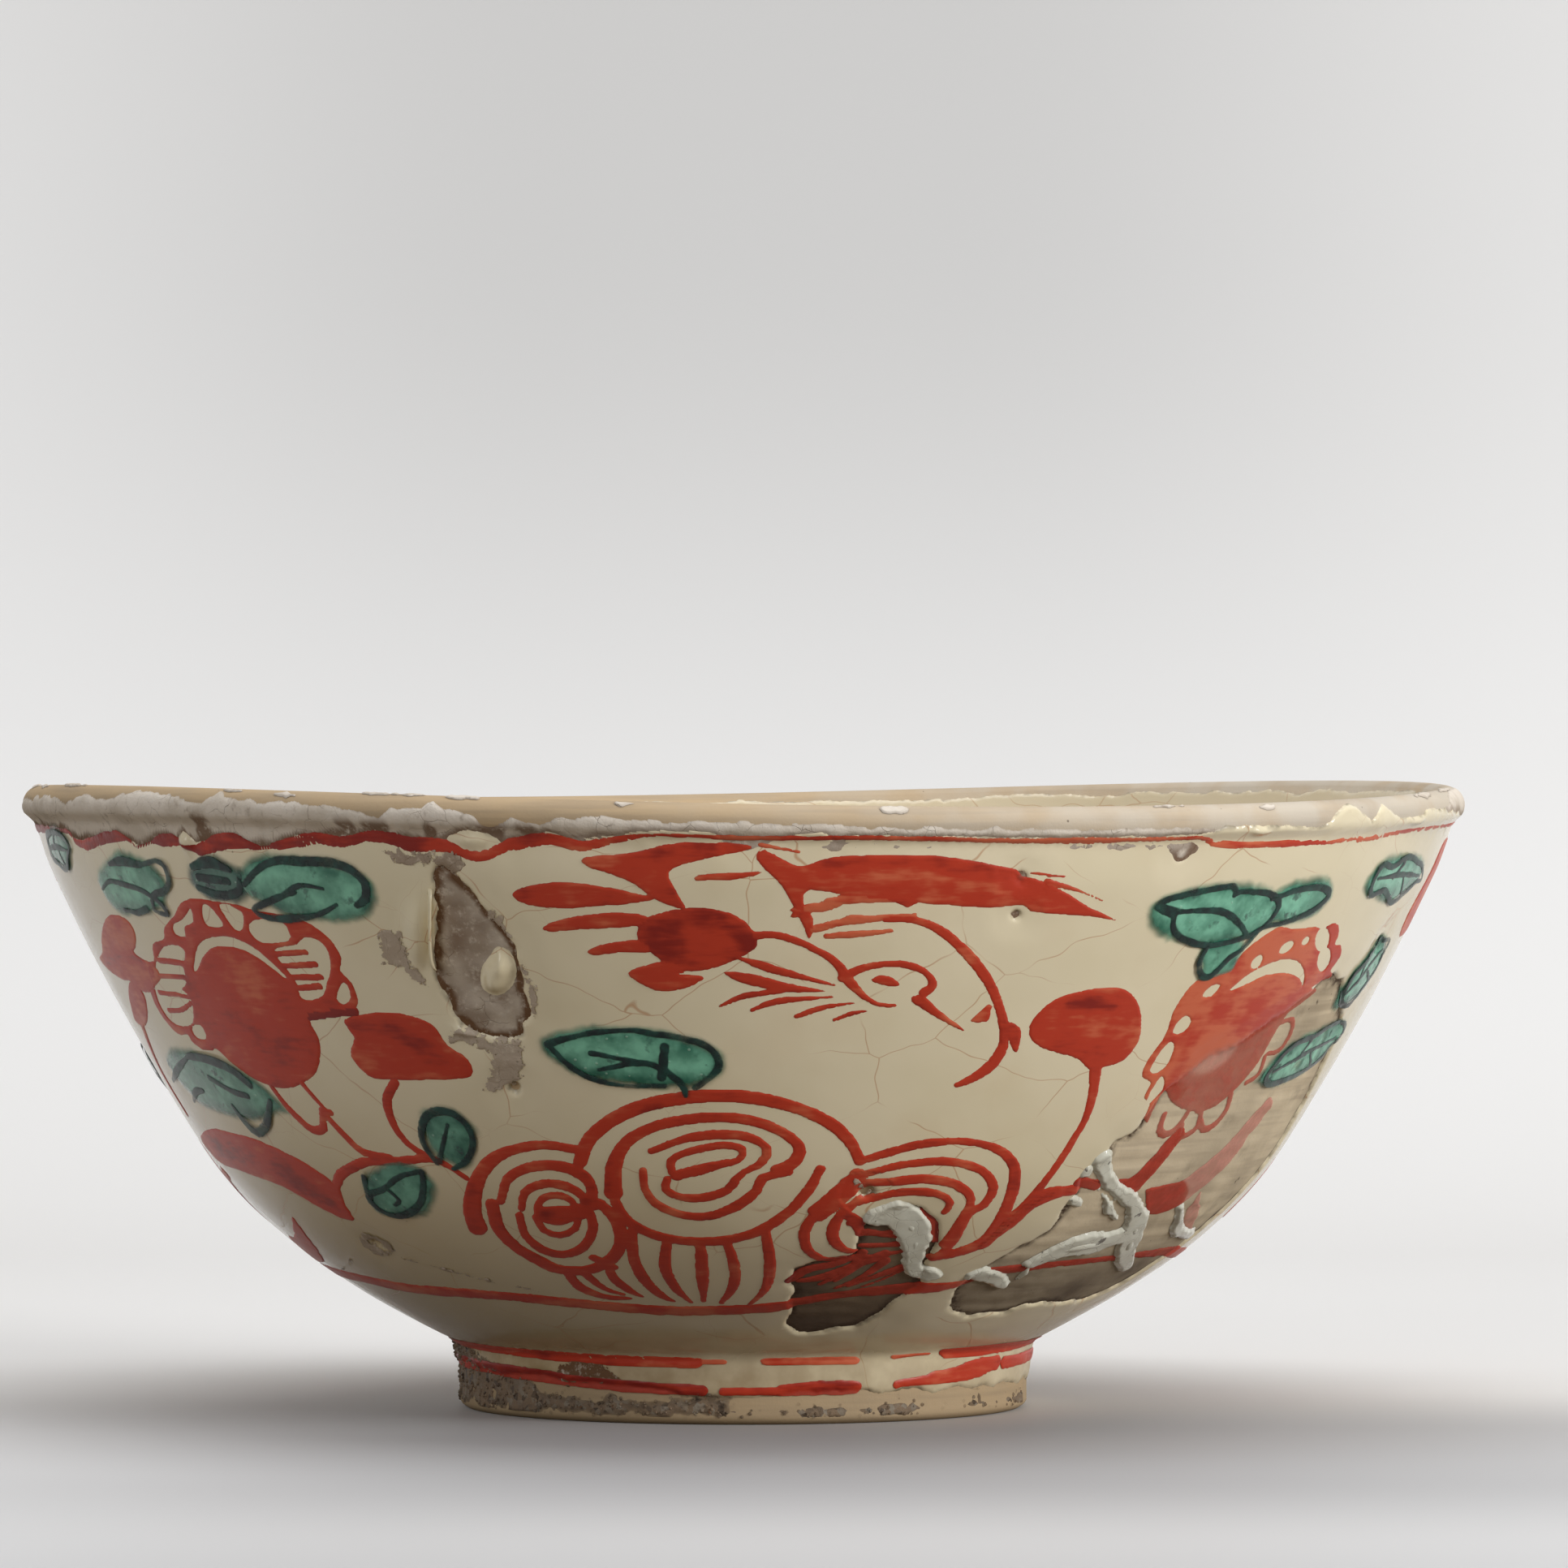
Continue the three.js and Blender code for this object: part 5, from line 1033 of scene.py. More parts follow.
class Bowl:
    """What every maker of a piece asks: where the coats lie, and how thick they are."""

    def __init__(self, context):
        self.sizes = context.scene.bowl_sizes
        self.colours = context.scene.bowl_colours
        self.wall = Wall(self.sizes)
        self.round = Round(self.wall)
        self.glaze_top, self.slip_top = knots(GLAZE_TOP), knots(SLIP_TOP)
        self.glaze_foot = knots(FOOT_GLAZE)

    def across(self, angle, v, centre):
        """Millimetres round the bowl from a centre line."""
        return np.radians((angle - centre + 180) % 360 - 180) * self.wall.radius(v)

    def grain(self, angle, v, size, seed):
        return cloud(self.wall.place(angle, v), size, seed)

    def rough(self, angle, v, *waves):
        """A sum of noises, each given as its height, its size and its seed."""
        return sum(height * self.grain(angle, v, size, seed) for height, size, seed in waves)

    def bare_depth(self, angle, v):
        """How far inside a bare patch each point is."""
        total = np.full(np.shape(v), AWAY)
        for centre, mark in BARE.values():
            total = np.maximum(total, mark.depth(self.across(angle, v, centre), v))
        near = total > AWAY + 0.1
        total[near] += self.rough(angle[near], v[near], (0.45, 3.2, 5), (0.25, 1.1, 6))
        for centre, u, up, size in PITS:
            away = np.hypot(self.across(angle, v, centre) - u, v - up)
            total = np.maximum(total, np.where(away < 3, size - away, AWAY))
        return total

    def glaze_depth(self, angle, v):
        """How far inside the outside glaze each point is."""
        torn = self.bare_depth(angle, v)
        top = self.glaze_top(angle) - v
        near = np.abs(top) < 4
        ragged = self.rough(angle[near], v[near], (0.22, 4.5, 11), (0.28, 1.6, 12), (0.14, 0.7, 13))
        top[near] += ragged * (1 - 0.5 * ease(np.abs(top[near]), 1, 4))
        low = v - self.glaze_foot(angle)
        near = np.abs(low) < 3
        low[near] += self.rough(angle[near], v[near], (0.5, 3, 15), (0.2, 0.9, 16))
        return np.minimum(np.minimum(top, low), -torn)

    def glaze_height(self, angle, v, depth):
        """Top of the outside glaze over the clay: its edges are rolled, and it waves a little."""
        thick = self.sizes.glaze * 1000 * (1 - 0.45 * ease(v, 68, 73.5)) * (1 - 0.4 * ease(-v, 3, 7))
        thick = thick * (0.68 + 0.32 * ease(depth, 0.5, 4))
        wave = self.rough(angle, v, (0.05, 11, 21), (0.03, 4.5, 22))
        swell = 0.05 * np.sin(np.pi * np.clip(depth / 2.2, 0, 1)) * (1 - ease(v, 68, 73))
        height = (thick - 0.09) * rolled_edge(depth, 0.75) + swell + wave * ease(depth, 0.3, 2)
        for centre, u, up, half_u, half_v, rise in BUMPS:
            away = np.hypot((self.across(angle, v, centre) - u) / half_u, (v - up) / half_v)
            height = height + rise * (1 - ease(away, 0.2, 1)) * ease(depth, 0, 0.3)
        return np.where(depth <= 0, -0.06, height)

    def slip_height(self, angle, v, depth):
        rough = self.rough(angle, v, (0.04, 1.8, 31), (0.03, 0.7, 32))
        thick = (self.sizes.slip * 1000 - 0.05) * (1 - 0.55 * ease(v, 72.5, 74.5))
        return np.where(depth <= 0, -0.03, thick * ease(depth, -0.1, 0.5) + rough * ease(depth, 0, 0.4))

    def slip_depth(self, angle, v):
        top = self.slip_top(angle) - v
        near = np.abs(top) < 3
        top[near] += self.rough(angle[near], v[near], (0.3, 2.2, 33), (0.25, 0.8, 34))
        scar = SCAR.depth(self.across(angle, v, 0), v)
        return np.minimum(np.minimum(top, v - 62), -scar)

    def clay_height(self, angle, v):
        """Rings and roughness of the turned clay where the glaze has come away."""
        strong = ease(self.grain(angle, v, 8, 52), -0.4, 0.5)
        rings = 0.05 * np.sin(v * 2.4 + self.grain(angle, v, 9, 51) * 1.5) * strong
        return 0.17 + rings + 0.04 * self.grain(angle, v, 1.4, 53) + 0.02 * self.grain(angle, v, 0.6, 54)

    def surface(self, angle, v):
        """Height of the outermost coat over the clay, and how bare the clay is there."""
        depth = self.glaze_depth(angle, v)
        slip = self.slip_height(angle, v, self.slip_depth(angle, v))
        top = np.maximum(np.maximum(self.glaze_height(angle, v, depth), slip), 0)
        torn = (depth < 0.5) & (v > 3) & (v < 70.5)
        top[torn] = np.maximum(top[torn], self.clay_height(angle[torn], v[torn]))
        return top, ease(-depth, -0.1, 0.25)


# Node trees written as sums


class Wire:
    """One socket of a node tree. Sums written with it add the nodes that work them out."""

    def __init__(self, tree, socket):
        self.tree, self.socket = tree, socket

    def maths(self, operation, *values):
        return self.tree.node("ShaderNodeMath", {"operation": operation}, dict(enumerate(values)))

    def __add__(self, other):
        return self.maths("ADD", self, other)

    def __sub__(self, other):
        return self.maths("SUBTRACT", self, other)

    def __rsub__(self, other):
        return self.maths("SUBTRACT", other, self)

    def __mul__(self, other):
        return self.maths("MULTIPLY", self, other)

    def __truediv__(self, other):
        return self.maths("DIVIDE", self, other)

    def __rtruediv__(self, other):
        return self.maths("DIVIDE", other, self)

    def __pow__(self, other):
        return self.maths("POWER", self, other)

    def __abs__(self):
        return self.maths("ABSOLUTE", self)

    def __lt__(self, other):
        return self.maths("LESS_THAN", self, other)

    __radd__, __rmul__ = __add__, __mul__

    def floor(self):
        return self.maths("FLOOR", self)

    def sine(self):
        return self.maths("SINE", self)

    def cosine(self):
        return self.maths("COSINE", self)

    def clipped(self):
        return self.maths("MINIMUM", self.maths("MAXIMUM", self, 0.0), 1.0)


class Tree:
    """A node tree that is written node by node."""

    def __init__(self, tree):
        self.tree = tree

    def node(self, kind, settings=None, inputs=None, output=0):
        """Adds a node, its settings first, and returns one of its outputs."""
        node = self.tree.nodes.new(kind)
        for key, value in (settings or {}).items():
            setattr(node, key, value)
        for key, value in (inputs or {}).items():
            self.feed(self.pick(node.inputs, key), value)
        return Wire(self, self.pick(node.outputs, output)) if len(node.outputs) else node

    def pick(self, sockets, key):
        if isinstance(key, int):
            return sockets[key]
        named = [s for s in sockets if key in (s.identifier, s.name) and s.enabled]
        return named[0] if named else sockets[key]

    def feed(self, socket, value):
        if isinstance(value, Wire):
            self.tree.links.new(value.socket, socket)
        elif socket.type == "RGBA":
            socket.default_value = (*value[:3], 1)
        else:
            socket.default_value = value


class Finish(Tree):
    """A material's nodes. Lengths in it are millimetres."""

    def __init__(self, name, specular=0.5, ior=1.5):
        self.material = bpy.data.materials.new(name)
        self.material.use_nodes = True
        super().__init__(self.material.node_tree)
        self.tree.nodes.clear()
        self.shader = self.tree.nodes.new("ShaderNodeBsdfPrincipled")
        end = self.tree.nodes.new("ShaderNodeOutputMaterial")
        self.tree.links.new(self.shader.outputs[0], end.inputs[0])
        self.shader.inputs["IOR"].default_value = ior
        self.shader.inputs["Specular IOR Level"].default_value = specular
        self.place = self.node("ShaderNodeTexCoord", {}, {}, "Object")

    def put(self, **values):
        for key, value in values.items():
            self.feed(self.shader.inputs[key.replace("_", " ")], value)
        return self.material

    def along(self, axis):
        """How far along one axis, in metres."""
        return self.node("ShaderNodeSeparateXYZ", {}, {0: self.place}, axis)

    def stretched(self, scale):
        return self.node("ShaderNodeMapping", {}, {"Vector": self.place, "Scale": scale}, "Vector")

    def noise(self, size, detail=2.0, rough=0.5, at=None, shift=0):
        settings = {"noise_dimensions": "4D"}
        return self.node("ShaderNodeTexNoise", settings, {
            "Vector": at or self.place, "W": float(shift), "Scale": 1000 / size, "Detail": detail,
            "Roughness": rough})

    def shaken(self, size, amount, at=None, shift=0):
        """The coordinates pushed about by noise, by so many millimetres."""
        colours = self.node("ShaderNodeTexNoise", {"noise_dimensions": "4D"}, {
            "Vector": at or self.place, "W": float(shift), "Scale": 1000 / size, "Detail": 2.0}, "Color")
        centred = self.node("ShaderNodeVectorMath", {"operation": "SUBTRACT"},
                            {0: colours, 1: (0.5, 0.5, 0.5)})
        return self.node("ShaderNodeVectorMath", {"operation": "MULTIPLY_ADD"}, {
            0: centred, 1: (amount * 2 * MM,) * 3, 2: at or self.place}, "Vector")

    def cells(self, size, feature="F1", at=None, output="Distance"):
        return self.node("ShaderNodeTexVoronoi", {"feature": feature}, {
            "Vector": at or self.place, "Scale": 1000 / size, "Randomness": 1.0}, output)

    def cracks(self, size, width, at=None):
        """1 on fine lines between cells, 0 elsewhere."""
        return 1 - self.ramp(self.cells(size, "DISTANCE_TO_EDGE", at), 0, width / size)

    def spots(self, size, radius, share, at=None):
        """1 in round spots, one in each of a share of the cells."""
        chosen = self.node("ShaderNodeSeparateColor", {}, {0: self.cells(size, at=at, output="Color")}, 0)
        return (1 - self.ramp(self.cells(size, at=at), radius * 0.6 / size, radius / size)) * (chosen < share)

    def ramp(self, value, low, high):
        return self.node("ShaderNodeMapRange", {"interpolation_type": "SMOOTHSTEP"}, {
            "Value": value, "From Min": low, "From Max": high}, "Result")

    def mix(self, share, a, b):
        return self.node("ShaderNodeMix", {"data_type": "RGBA"}, {
            "Factor_Float": share, "A_Color": a, "B_Color": b}, "Result_Color")

    def attribute(self, name):
        return self.node("ShaderNodeAttribute", {"attribute_name": name}, {}, "Fac")

    def bump(self, height, amount):
        """A normal from a height of 0 to 1 that stands for so many millimetres."""
        return self.node("ShaderNodeBump", {}, {"Strength": 1.0, "Distance": amount * MM, "Height": height},
                         "Normal")


def made_once(maker):
    """Keeps a finish that several pieces share."""
    def finish(colours):
        name = f"{maker.__name__}_finish"
        return bpy.data.materials.get(name) or maker(colours, name)
    return finish


@made_once
def cream_glaze(colours, name):
    """Old cream glaze: pooled, thinly crackled, with pinholes, brown torn edges and a stained foot, and
    painted shade low on the bowl, to the left and inside it.
    """
    f = Finish(name)
    depth = f.attribute("depth")
    height_up = f.along("Z")
    pool = f.ramp(f.noise(18, 3, shift=1), 0.35, 0.7)
    warm = f.ramp(f.noise(9, 3, shift=2), 0.5, 0.78)
    base = f.mix(pool * 0.6, colours.glaze, colours.glaze_pool)
    base = f.mix(warm * 0.16, base, (0.72, 0.53, 0.3))
    wander = f.shaken(7, 1.8)
    long_lines = f.cracks(17, 0.12, f.node("ShaderNodeMapping", {}, {
        "Vector": wander, "Scale": (1, 1, 1.6), "Rotation": (0.3, 0.2, 0)}, "Vector"))
    long_lines = long_lines * f.ramp(f.noise(11, 2, shift=3), 0.41, 0.52)
    short_lines = f.cracks(4.2, 0.03, f.shaken(2.5, 0.7)) * f.ramp(f.noise(13, 2, shift=4), 0.55, 0.7)
    lines = (long_lines * 0.6 + short_lines * 0.35).clipped()
    base = f.mix(lines, base, colours.crackle)
    holes = f.spots(2.6, 0.12, 0.25) * f.ramp(f.noise(6, 2, shift=6), 0.45, 0.6)
    base = f.mix(holes * 0.8, base, colours.dirt)
    smears = f.ramp(f.noise(3, 3, shift=12), 0.2, 0.7) * 0.6 + 0.4
    # a brown stain low on the foot, with painted shade that makes it darker to the left
    stained = (1 - f.ramp(height_up, 0.0045, 0.0115)) * smears
    shade_to_left = 1 - f.ramp(f.along("X"), -0.03, 0.04) * 0.55
    base = f.mix(stained * shade_to_left, base, (0.3, 0.2, 0.11))
    # painted shade: the glaze darker and browner low on the bowl, most to the left
    far_left = 1 - f.ramp(f.along("X"), -0.05, 0.01) * 0.75
    low = (1 - f.ramp(height_up, 0.012, 0.045)) * far_left
    base = f.mix(low * 0.62, base, (0.42, 0.28, 0.1))
    # painted shade: the inside glaze darker and browner than the outside
    base = f.mix(f.attribute("inside") * 0.42, base, (0.5, 0.39, 0.25))
    torn = (1 - f.ramp(depth, 0.02, 0.6)) * f.ramp(f.noise(1.8, 3, shift=7), 0.45, 0.65)
    base = f.mix(torn * 0.65, base, colours.dirt)
    height = f.noise(4, 2, shift=8) * 0.25 - lines * 0.04 - holes * 0.8 + f.noise(0.8, 1, shift=9) * 0.02
    rough = 0.09 + f.noise(5, 3, shift=10) * 0.1 + (lines + holes + torn + stained) * 0.3
    return f.put(Base_Color=base, Roughness=rough, Normal=f.bump(height, 0.12))


@made_once
def red_enamel(colours, name):
    """Iron red brushed on thin and thick, darker where it pools, faded on bare clay."""
    f = Finish(name, 0.28)
    depth, bare, tone = f.attribute("depth"), f.attribute("bare"), f.attribute("tone")
    streaks = f.noise(0.9, 2, at=f.stretched((0.3, 0.3, 1.6)), shift=1)
    patches = f.noise(5, 3, shift=2)
    thick = 0.5 + (patches - 0.5) * 1.3 + (streaks - 0.5) * 0.7 + tone * 0.55
    base = f.mix(f.ramp(thick, 0.1, 0.5), colours.red_thin, colours.red)
    base = f.mix(f.ramp(thick, 0.55, 1.05), base, colours.red_dark)
    faded = f.mix(f.ramp(tone, -0.85, -0.35), colours.pink_on_clay, colours.red_on_clay)
    base = f.mix(bare * 0.8, base, faded)
    worn = f.ramp(f.noise(0.8, 3, 0.65, shift=4), 0.2, 0.34)
    cover = f.ramp(depth, 0, 0.09) * (0.86 + worn * 0.14)
    patchy = f.ramp(f.noise(1.6, 3, 0.7, shift=5), 0.3, 0.62)
    cover = (cover * (1 - bare * (0.1 - tone * 0.18 + patchy * 0.2))).clipped()
    rough = 0.3 + f.noise(1.2, 2, shift=6) * 0.15 + bare * 0.3
    height = streaks * 0.5 + f.noise(0.35, 2, shift=7) * 0.2
    return f.put(Base_Color=base, Roughness=rough, Alpha=cover, Normal=f.bump(height, 0.03))


@made_once
def green_enamel(colours, name):
    """Glassy green that has run past its outline in a soft edge, with bubbles and dark crystals."""
    f = Finish(name)
    depth, bare, dark = f.attribute("depth"), f.attribute("bare"), f.attribute("dark")
    cloudy = f.ramp(f.noise(2.4, 3, shift=1), 0.34, 0.68)
    thick = ((1 - f.ramp(depth, 1.3, 2.8)) * 0.4 + cloudy * 0.62 - 0.01).clipped()
    base = f.mix(thick, colours.green_thin, colours.green)
    crystals = f.ramp(f.noise(1.5, 3, 0.6, shift=2), 0.55, 0.68) * f.ramp(f.noise(4, 2, shift=8), 0.42, 0.6)
    base = f.mix((dark * 0.75 + crystals * 0.75).clipped(), base, (0.01, 0.04, 0.032))
    bubbles = f.spots(1.1, 0.2, 0.3)
    base = f.mix(bubbles * 0.45, base, (0.42, 0.66, 0.52))
    cover = f.ramp(depth, 0, 1.5) * (1 - bare * f.ramp(f.noise(2, 3, shift=4), 0.45, 0.65) * 0.5)
    height = f.noise(2.2, 2, shift=3) * 0.6 + bubbles * 0.4 + crystals * 0.3
    rough = 0.08 + f.noise(2, 2, shift=5) * 0.12 + bare * 0.2 + crystals * 0.2
    return f.put(Base_Color=base, Roughness=rough, Alpha=cover, Normal=f.bump(height, 0.09))


@made_once
def dark_line(colours, name):
    """Black-green outline of the leaves, brushed on under the green."""
    f = Finish(name, 0.3)
    depth = f.attribute("depth")
    base = f.mix(f.ramp(f.noise(1.6, 2, shift=1), 0.35, 0.7), colours.line, (0.012, 0.06, 0.045))
    cover = (f.ramp(depth, 0, 0.2) * (0.72 + f.ramp(f.noise(1.3, 3, shift=2), 0.3, 0.6) * 0.28)).clipped()
    return f.put(Base_Color=base, Roughness=0.3, Alpha=cover)


@made_once
def buff_clay(colours, name):
    """Bare turned clay of the lip, foot and torn places."""
    f = Finish(name, 0.3)
    stain, dirt = f.attribute("stain"), f.attribute("dirt")
    grain = f.noise(0.7, 3, 0.65, shift=1)
    cloudy = f.noise(7, 3, shift=2)
    lines = f.noise(0.9, 2, at=f.stretched((0.06, 0.06, 1)), shift=3)
    base = f.mix(f.attribute("pale"), colours.clay, (0.83, 0.71, 0.51))
    base = f.mix(f.ramp(cloudy, 0.35, 0.7) * 0.3, base, (0.45, 0.36, 0.25))
    base = f.mix(f.ramp(lines, 0.42, 0.66) * 0.32, base, (0.3, 0.23, 0.16))
    where = {key: f.along(key) for key in ("X", "Z")}
    at_lip = f.ramp(where["X"], -0.02, 0.06) * f.ramp(where["Z"], 0.06, 0.064)
    skin = at_lip * (0.35 + f.ramp(cloudy, 0.3, 0.6) * 0.5)
    base = f.mix(skin * 0.8, base, (0.7, 0.65, 0.56))
    # the foot's clay darker: a stain, with painted shade that is stronger to the left
    footed = (1 - f.ramp(where["Z"], 0.007, 0.012)) * (1 - f.ramp(where["X"], -0.03, 0.03) * 0.45)
    base = f.mix(footed * 0.6, base, (0.34, 0.24, 0.13))
    # stain: brown stain, partly painted shade on the low patch and low on the side patch
    base = f.mix(stain, base, colours.clay_dark)
    specks = f.spots(1.3, 0.1, 0.25) + f.spots(3.4, 0.2, 0.2)
    dirty = dirt * f.ramp(f.noise(1.2, 3, 0.7, shift=4), 0.25, 0.6)
    base = f.mix((dirty + specks * 0.6).clipped(), base, colours.dirt)
    height = grain * 0.4 + lines * 0.6 + f.noise(0.3, 2, shift=5) * 0.2 - specks * 0.4
    return f.put(Base_Color=base, Roughness=0.62 + grain * 0.3, Normal=f.bump(height, 0.07))


@made_once
def chalk_slip(colours, name):
    """White slip, chalky and crumbling, greyer and browner in its hollows."""
    f = Finish(name, 0.2)
    depth = f.attribute("depth")
    crumbs = f.noise(0.7, 3, 0.7, shift=1)
    cloudy = f.noise(3.8, 3, shift=2)
    base = f.mix(f.ramp(cloudy, 0.42, 0.66) * 0.5, colours.slip, (0.52, 0.44, 0.34))
    base = f.mix(f.ramp(crumbs, 0.5, 0.72) * 0.35, base, (0.74, 0.71, 0.65))
    cracks = f.cracks(2.6, 0.05, f.shaken(1.4, 0.6)) * f.ramp(f.noise(5, 2, shift=5), 0.45, 0.6)
    dirty = (f.ramp(f.noise(2.1, 3, 0.7, shift=3), 0.58, 0.74) * 0.5 + cracks * 0.5
             + (1 - f.ramp(depth, 0, 0.35)) * 0.35).clipped()
    base = f.mix(dirty, base, (0.2, 0.14, 0.09))
    base = f.mix(f.attribute("soft") * 0.45, base, (0.74, 0.62, 0.46))
    # brown from the dirt attribute: dirt, and on the slip band also a painted shadow along the glaze's torn
    # edge
    brown = f.attribute("dirt") * f.ramp(f.noise(0.9, 3, 0.7, shift=6), 0.2, 0.5)
    base = f.mix(brown, base, (0.17, 0.09, 0.045))
    edge = depth - f.attribute("soft") * f.ramp(f.noise(0.8, 3, 0.7, shift=7), 0.35, 0.7) * 0.9
    height = crumbs + f.noise(0.25, 2, shift=4) * 0.4 - cracks * 0.5
    return f.put(Base_Color=base, Roughness=0.9, Alpha=f.ramp(edge, 0, 0.06), Normal=f.bump(height, 0.07))


@made_once
def rolled_glaze(colours, name):
    """Greyish cream glaze that drew back into rolls."""
    f = Finish(name)
    base = f.mix(f.ramp(f.noise(2.5, 3, shift=1), 0.4, 0.7) * 0.25, colours.roll, (0.52, 0.47, 0.34))
    veins = f.cracks(2.4, 0.05, f.shaken(1.4, 0.6))
    base = f.mix(veins * 0.3, base, (0.3, 0.25, 0.18))
    base = f.mix(f.ramp(f.noise(1.3, 3, shift=2), 0.65, 0.7) * 0.8, base, colours.dirt)
    height = f.noise(1.4, 2, shift=3) - veins * 0.3
    return f.put(Base_Color=base, Roughness=0.08 + f.noise(1.5, 2, shift=4) * 0.14,
                 Normal=f.bump(height, 0.05))


@made_once
def kiln_sand(colours, name):
    """Brown crust with sand fused into it, some grains dark and some pale."""
    f = Finish(name, 0.3)
    tint = f.node("ShaderNodeSeparateColor", {}, {0: f.cells(0.6, output="Color")}, 0)
    base = f.mix(f.ramp(tint, 0.55, 0.95), colours.grit, (0.36, 0.31, 0.24))
    base = f.mix(1 - f.ramp(tint, 0.04, 0.22), base, (0.04, 0.026, 0.016))
    base = f.mix(f.ramp(f.noise(2.4, 3, shift=1), 0.4, 0.66) * 0.6, base, (0.19, 0.14, 0.1))
    cover = 1 - f.attribute("fade")
    base = f.mix(0.25, base, (0.12, 0.075, 0.04))
    return f.put(Base_Color=base, Roughness=0.5 + tint * 0.4, Alpha=cover,
                 Normal=f.bump(f.noise(0.4, 3, shift=2), 0.12))


# Trees of geometry nodes


def grow(piece, tree, values):
    """Runs a tree on an object and keeps its result as a plain mesh."""
    modifier = piece.modifiers.new(tree.name, "NODES")
    modifier.node_group = tree
    for item in tree.interface.items_tree:
        if item.item_type == "SOCKET" and item.in_out == "INPUT" and item.name in values:
            modifier[item.identifier] = values[item.name]
    shown = piece.evaluated_get(bpy.context.evaluated_depsgraph_get())
    mesh = bpy.data.meshes.new_from_object(shown)
    piece.modifiers.clear()
    piece.data = mesh
    mesh.name = piece.name
    return piece


def new_tree(name, inputs):
    """An empty tree with named inputs, each given as its kind and default."""
    group = bpy.data.node_groups.new(name, "GeometryNodeTree")
    group.interface.new_socket("Geometry", in_out="INPUT", socket_type="NodeSocketGeometry")
    for key, (kind, default) in inputs.items():
        socket = group.interface.new_socket(key, in_out="INPUT", socket_type=f"NodeSocket{kind}")
        if default is not None:
            socket.default_value = default
    group.interface.new_socket("Geometry", in_out="OUTPUT", socket_type="NodeSocketGeometry")
    tree = Tree(group)
    start = group.nodes.new("NodeGroupInput")
    given = {s.name: Wire(tree, s) for s in start.outputs if s.name}
    return tree, given


def end_tree(tree, geometry, material):
    real = tree.node("GeometryNodeRealizeInstances", {}, {0: geometry})
    painted = tree.node("GeometryNodeSetMaterial", {}, {"Geometry": real, "Material": material})
    end = tree.tree.nodes.new("NodeGroupOutput")
    tree.tree.links.new(painted.socket, end.inputs[0])
    return tree.tree


def turned_tree():
    """Turns a profile of points round the bowl's axis and lifts its rim by the tilt and the saddle."""
    tree, given = new_tree("Turned piece", {
        "Columns": ("Int", 288), "Rows": ("Int", 100), "Foot height": ("Float", 0.0088),
        "Rim height": ("Float", 0.0681), "Tilt": ("Float", 0.00075), "Tilt angle": ("Float", 0.05),
        "Saddle": ("Float", 0.001), "Saddle angle": ("Float", -1.1), "Material": ("Material", None)})
    grid = tree.node("GeometryNodeMeshGrid", {}, {
        "Size X": 1.0, "Size Y": 1.0, "Vertices X": given["Columns"] + 1, "Vertices Y": given["Rows"]},
        "Mesh")
    number = tree.node("GeometryNodeInputIndex")
    column = (number / given["Rows"]).floor()
    row = number - column * given["Rows"]
    angle = column / given["Columns"] * math.tau
    where = tree.node("GeometryNodeInputPosition")
    spot = tree.node("GeometryNodeSampleIndex", {"data_type": "FLOAT_VECTOR"}, {
        "Geometry": given["Geometry"], "Value": where, "Index": row})
    apart = {k: tree.node("ShaderNodeSeparateXYZ", {}, {0: spot}, k) for k in ("X", "Z")}
    share = ((apart["Z"] - given["Foot height"]) / (given["Rim height"] - given["Foot height"])).clipped()
    lift = (given["Tilt"] * (angle - given["Tilt angle"]).cosine()
            + given["Saddle"] * ((angle - given["Saddle angle"]) * 2).cosine()) * share ** 2
    placed = tree.node("ShaderNodeCombineXYZ", {}, {
        "X": apart["X"] * angle.sine(), "Y": apart["X"] * angle.cosine() * -1, "Z": apart["Z"] + lift})
    shaped = tree.node("GeometryNodeSetPosition", {}, {"Geometry": grid, "Position": placed})
    merged = tree.node("GeometryNodeMergeByDistance", {}, {"Geometry": shaped, "Distance": 0.000002})
    smooth = tree.node("GeometryNodeSetShadeSmooth", {}, {"Geometry": merged})
    return end_tree(tree, smooth, given["Material"])


def bead_tree():
    """Runs a lumpy bead along a path whose points carry their width."""
    tree, given = new_tree("Rolled glaze", {
        "Lumps": ("Float", 0.0003), "Lump size": ("Float", 0.0015),
        "Material": ("Material", None)})
    path = tree.node("GeometryNodeMeshToCurve", {}, {"Mesh": given["Geometry"]})
    width = tree.node("GeometryNodeInputNamedAttribute", {"data_type": "FLOAT"}, {"Name": "width"},
                      "Attribute")
    thick = tree.node("GeometryNodeSetCurveRadius", {}, {"Curve": path, "Radius": width})
    section = tree.node("GeometryNodeCurvePrimitiveCircle", {}, {"Resolution": 14, "Radius": 1.0}, "Curve")
    tube = tree.node("GeometryNodeCurveToMesh", {}, {
        "Curve": thick, "Profile Curve": section, "Scale": width, "Fill Caps": True})
    where = tree.node("GeometryNodeInputPosition")
    lumps = tree.node("ShaderNodeTexNoise", {},
                      {"Vector": where, "Scale": 1 / given["Lump size"], "Detail": 2.0}, "Fac")
    normal = tree.node("GeometryNodeInputNormal")
    push = tree.node("ShaderNodeVectorMath", {"operation": "SCALE"}, {
        0: normal, "Scale": (lumps - 0.5) * given["Lumps"] * 2})
    shaped = tree.node("GeometryNodeSetPosition", {}, {"Geometry": tube, "Offset": push})
    smooth = tree.node("GeometryNodeSetShadeSmooth", {}, {"Geometry": shaped})
    return end_tree(tree, smooth, given["Material"])


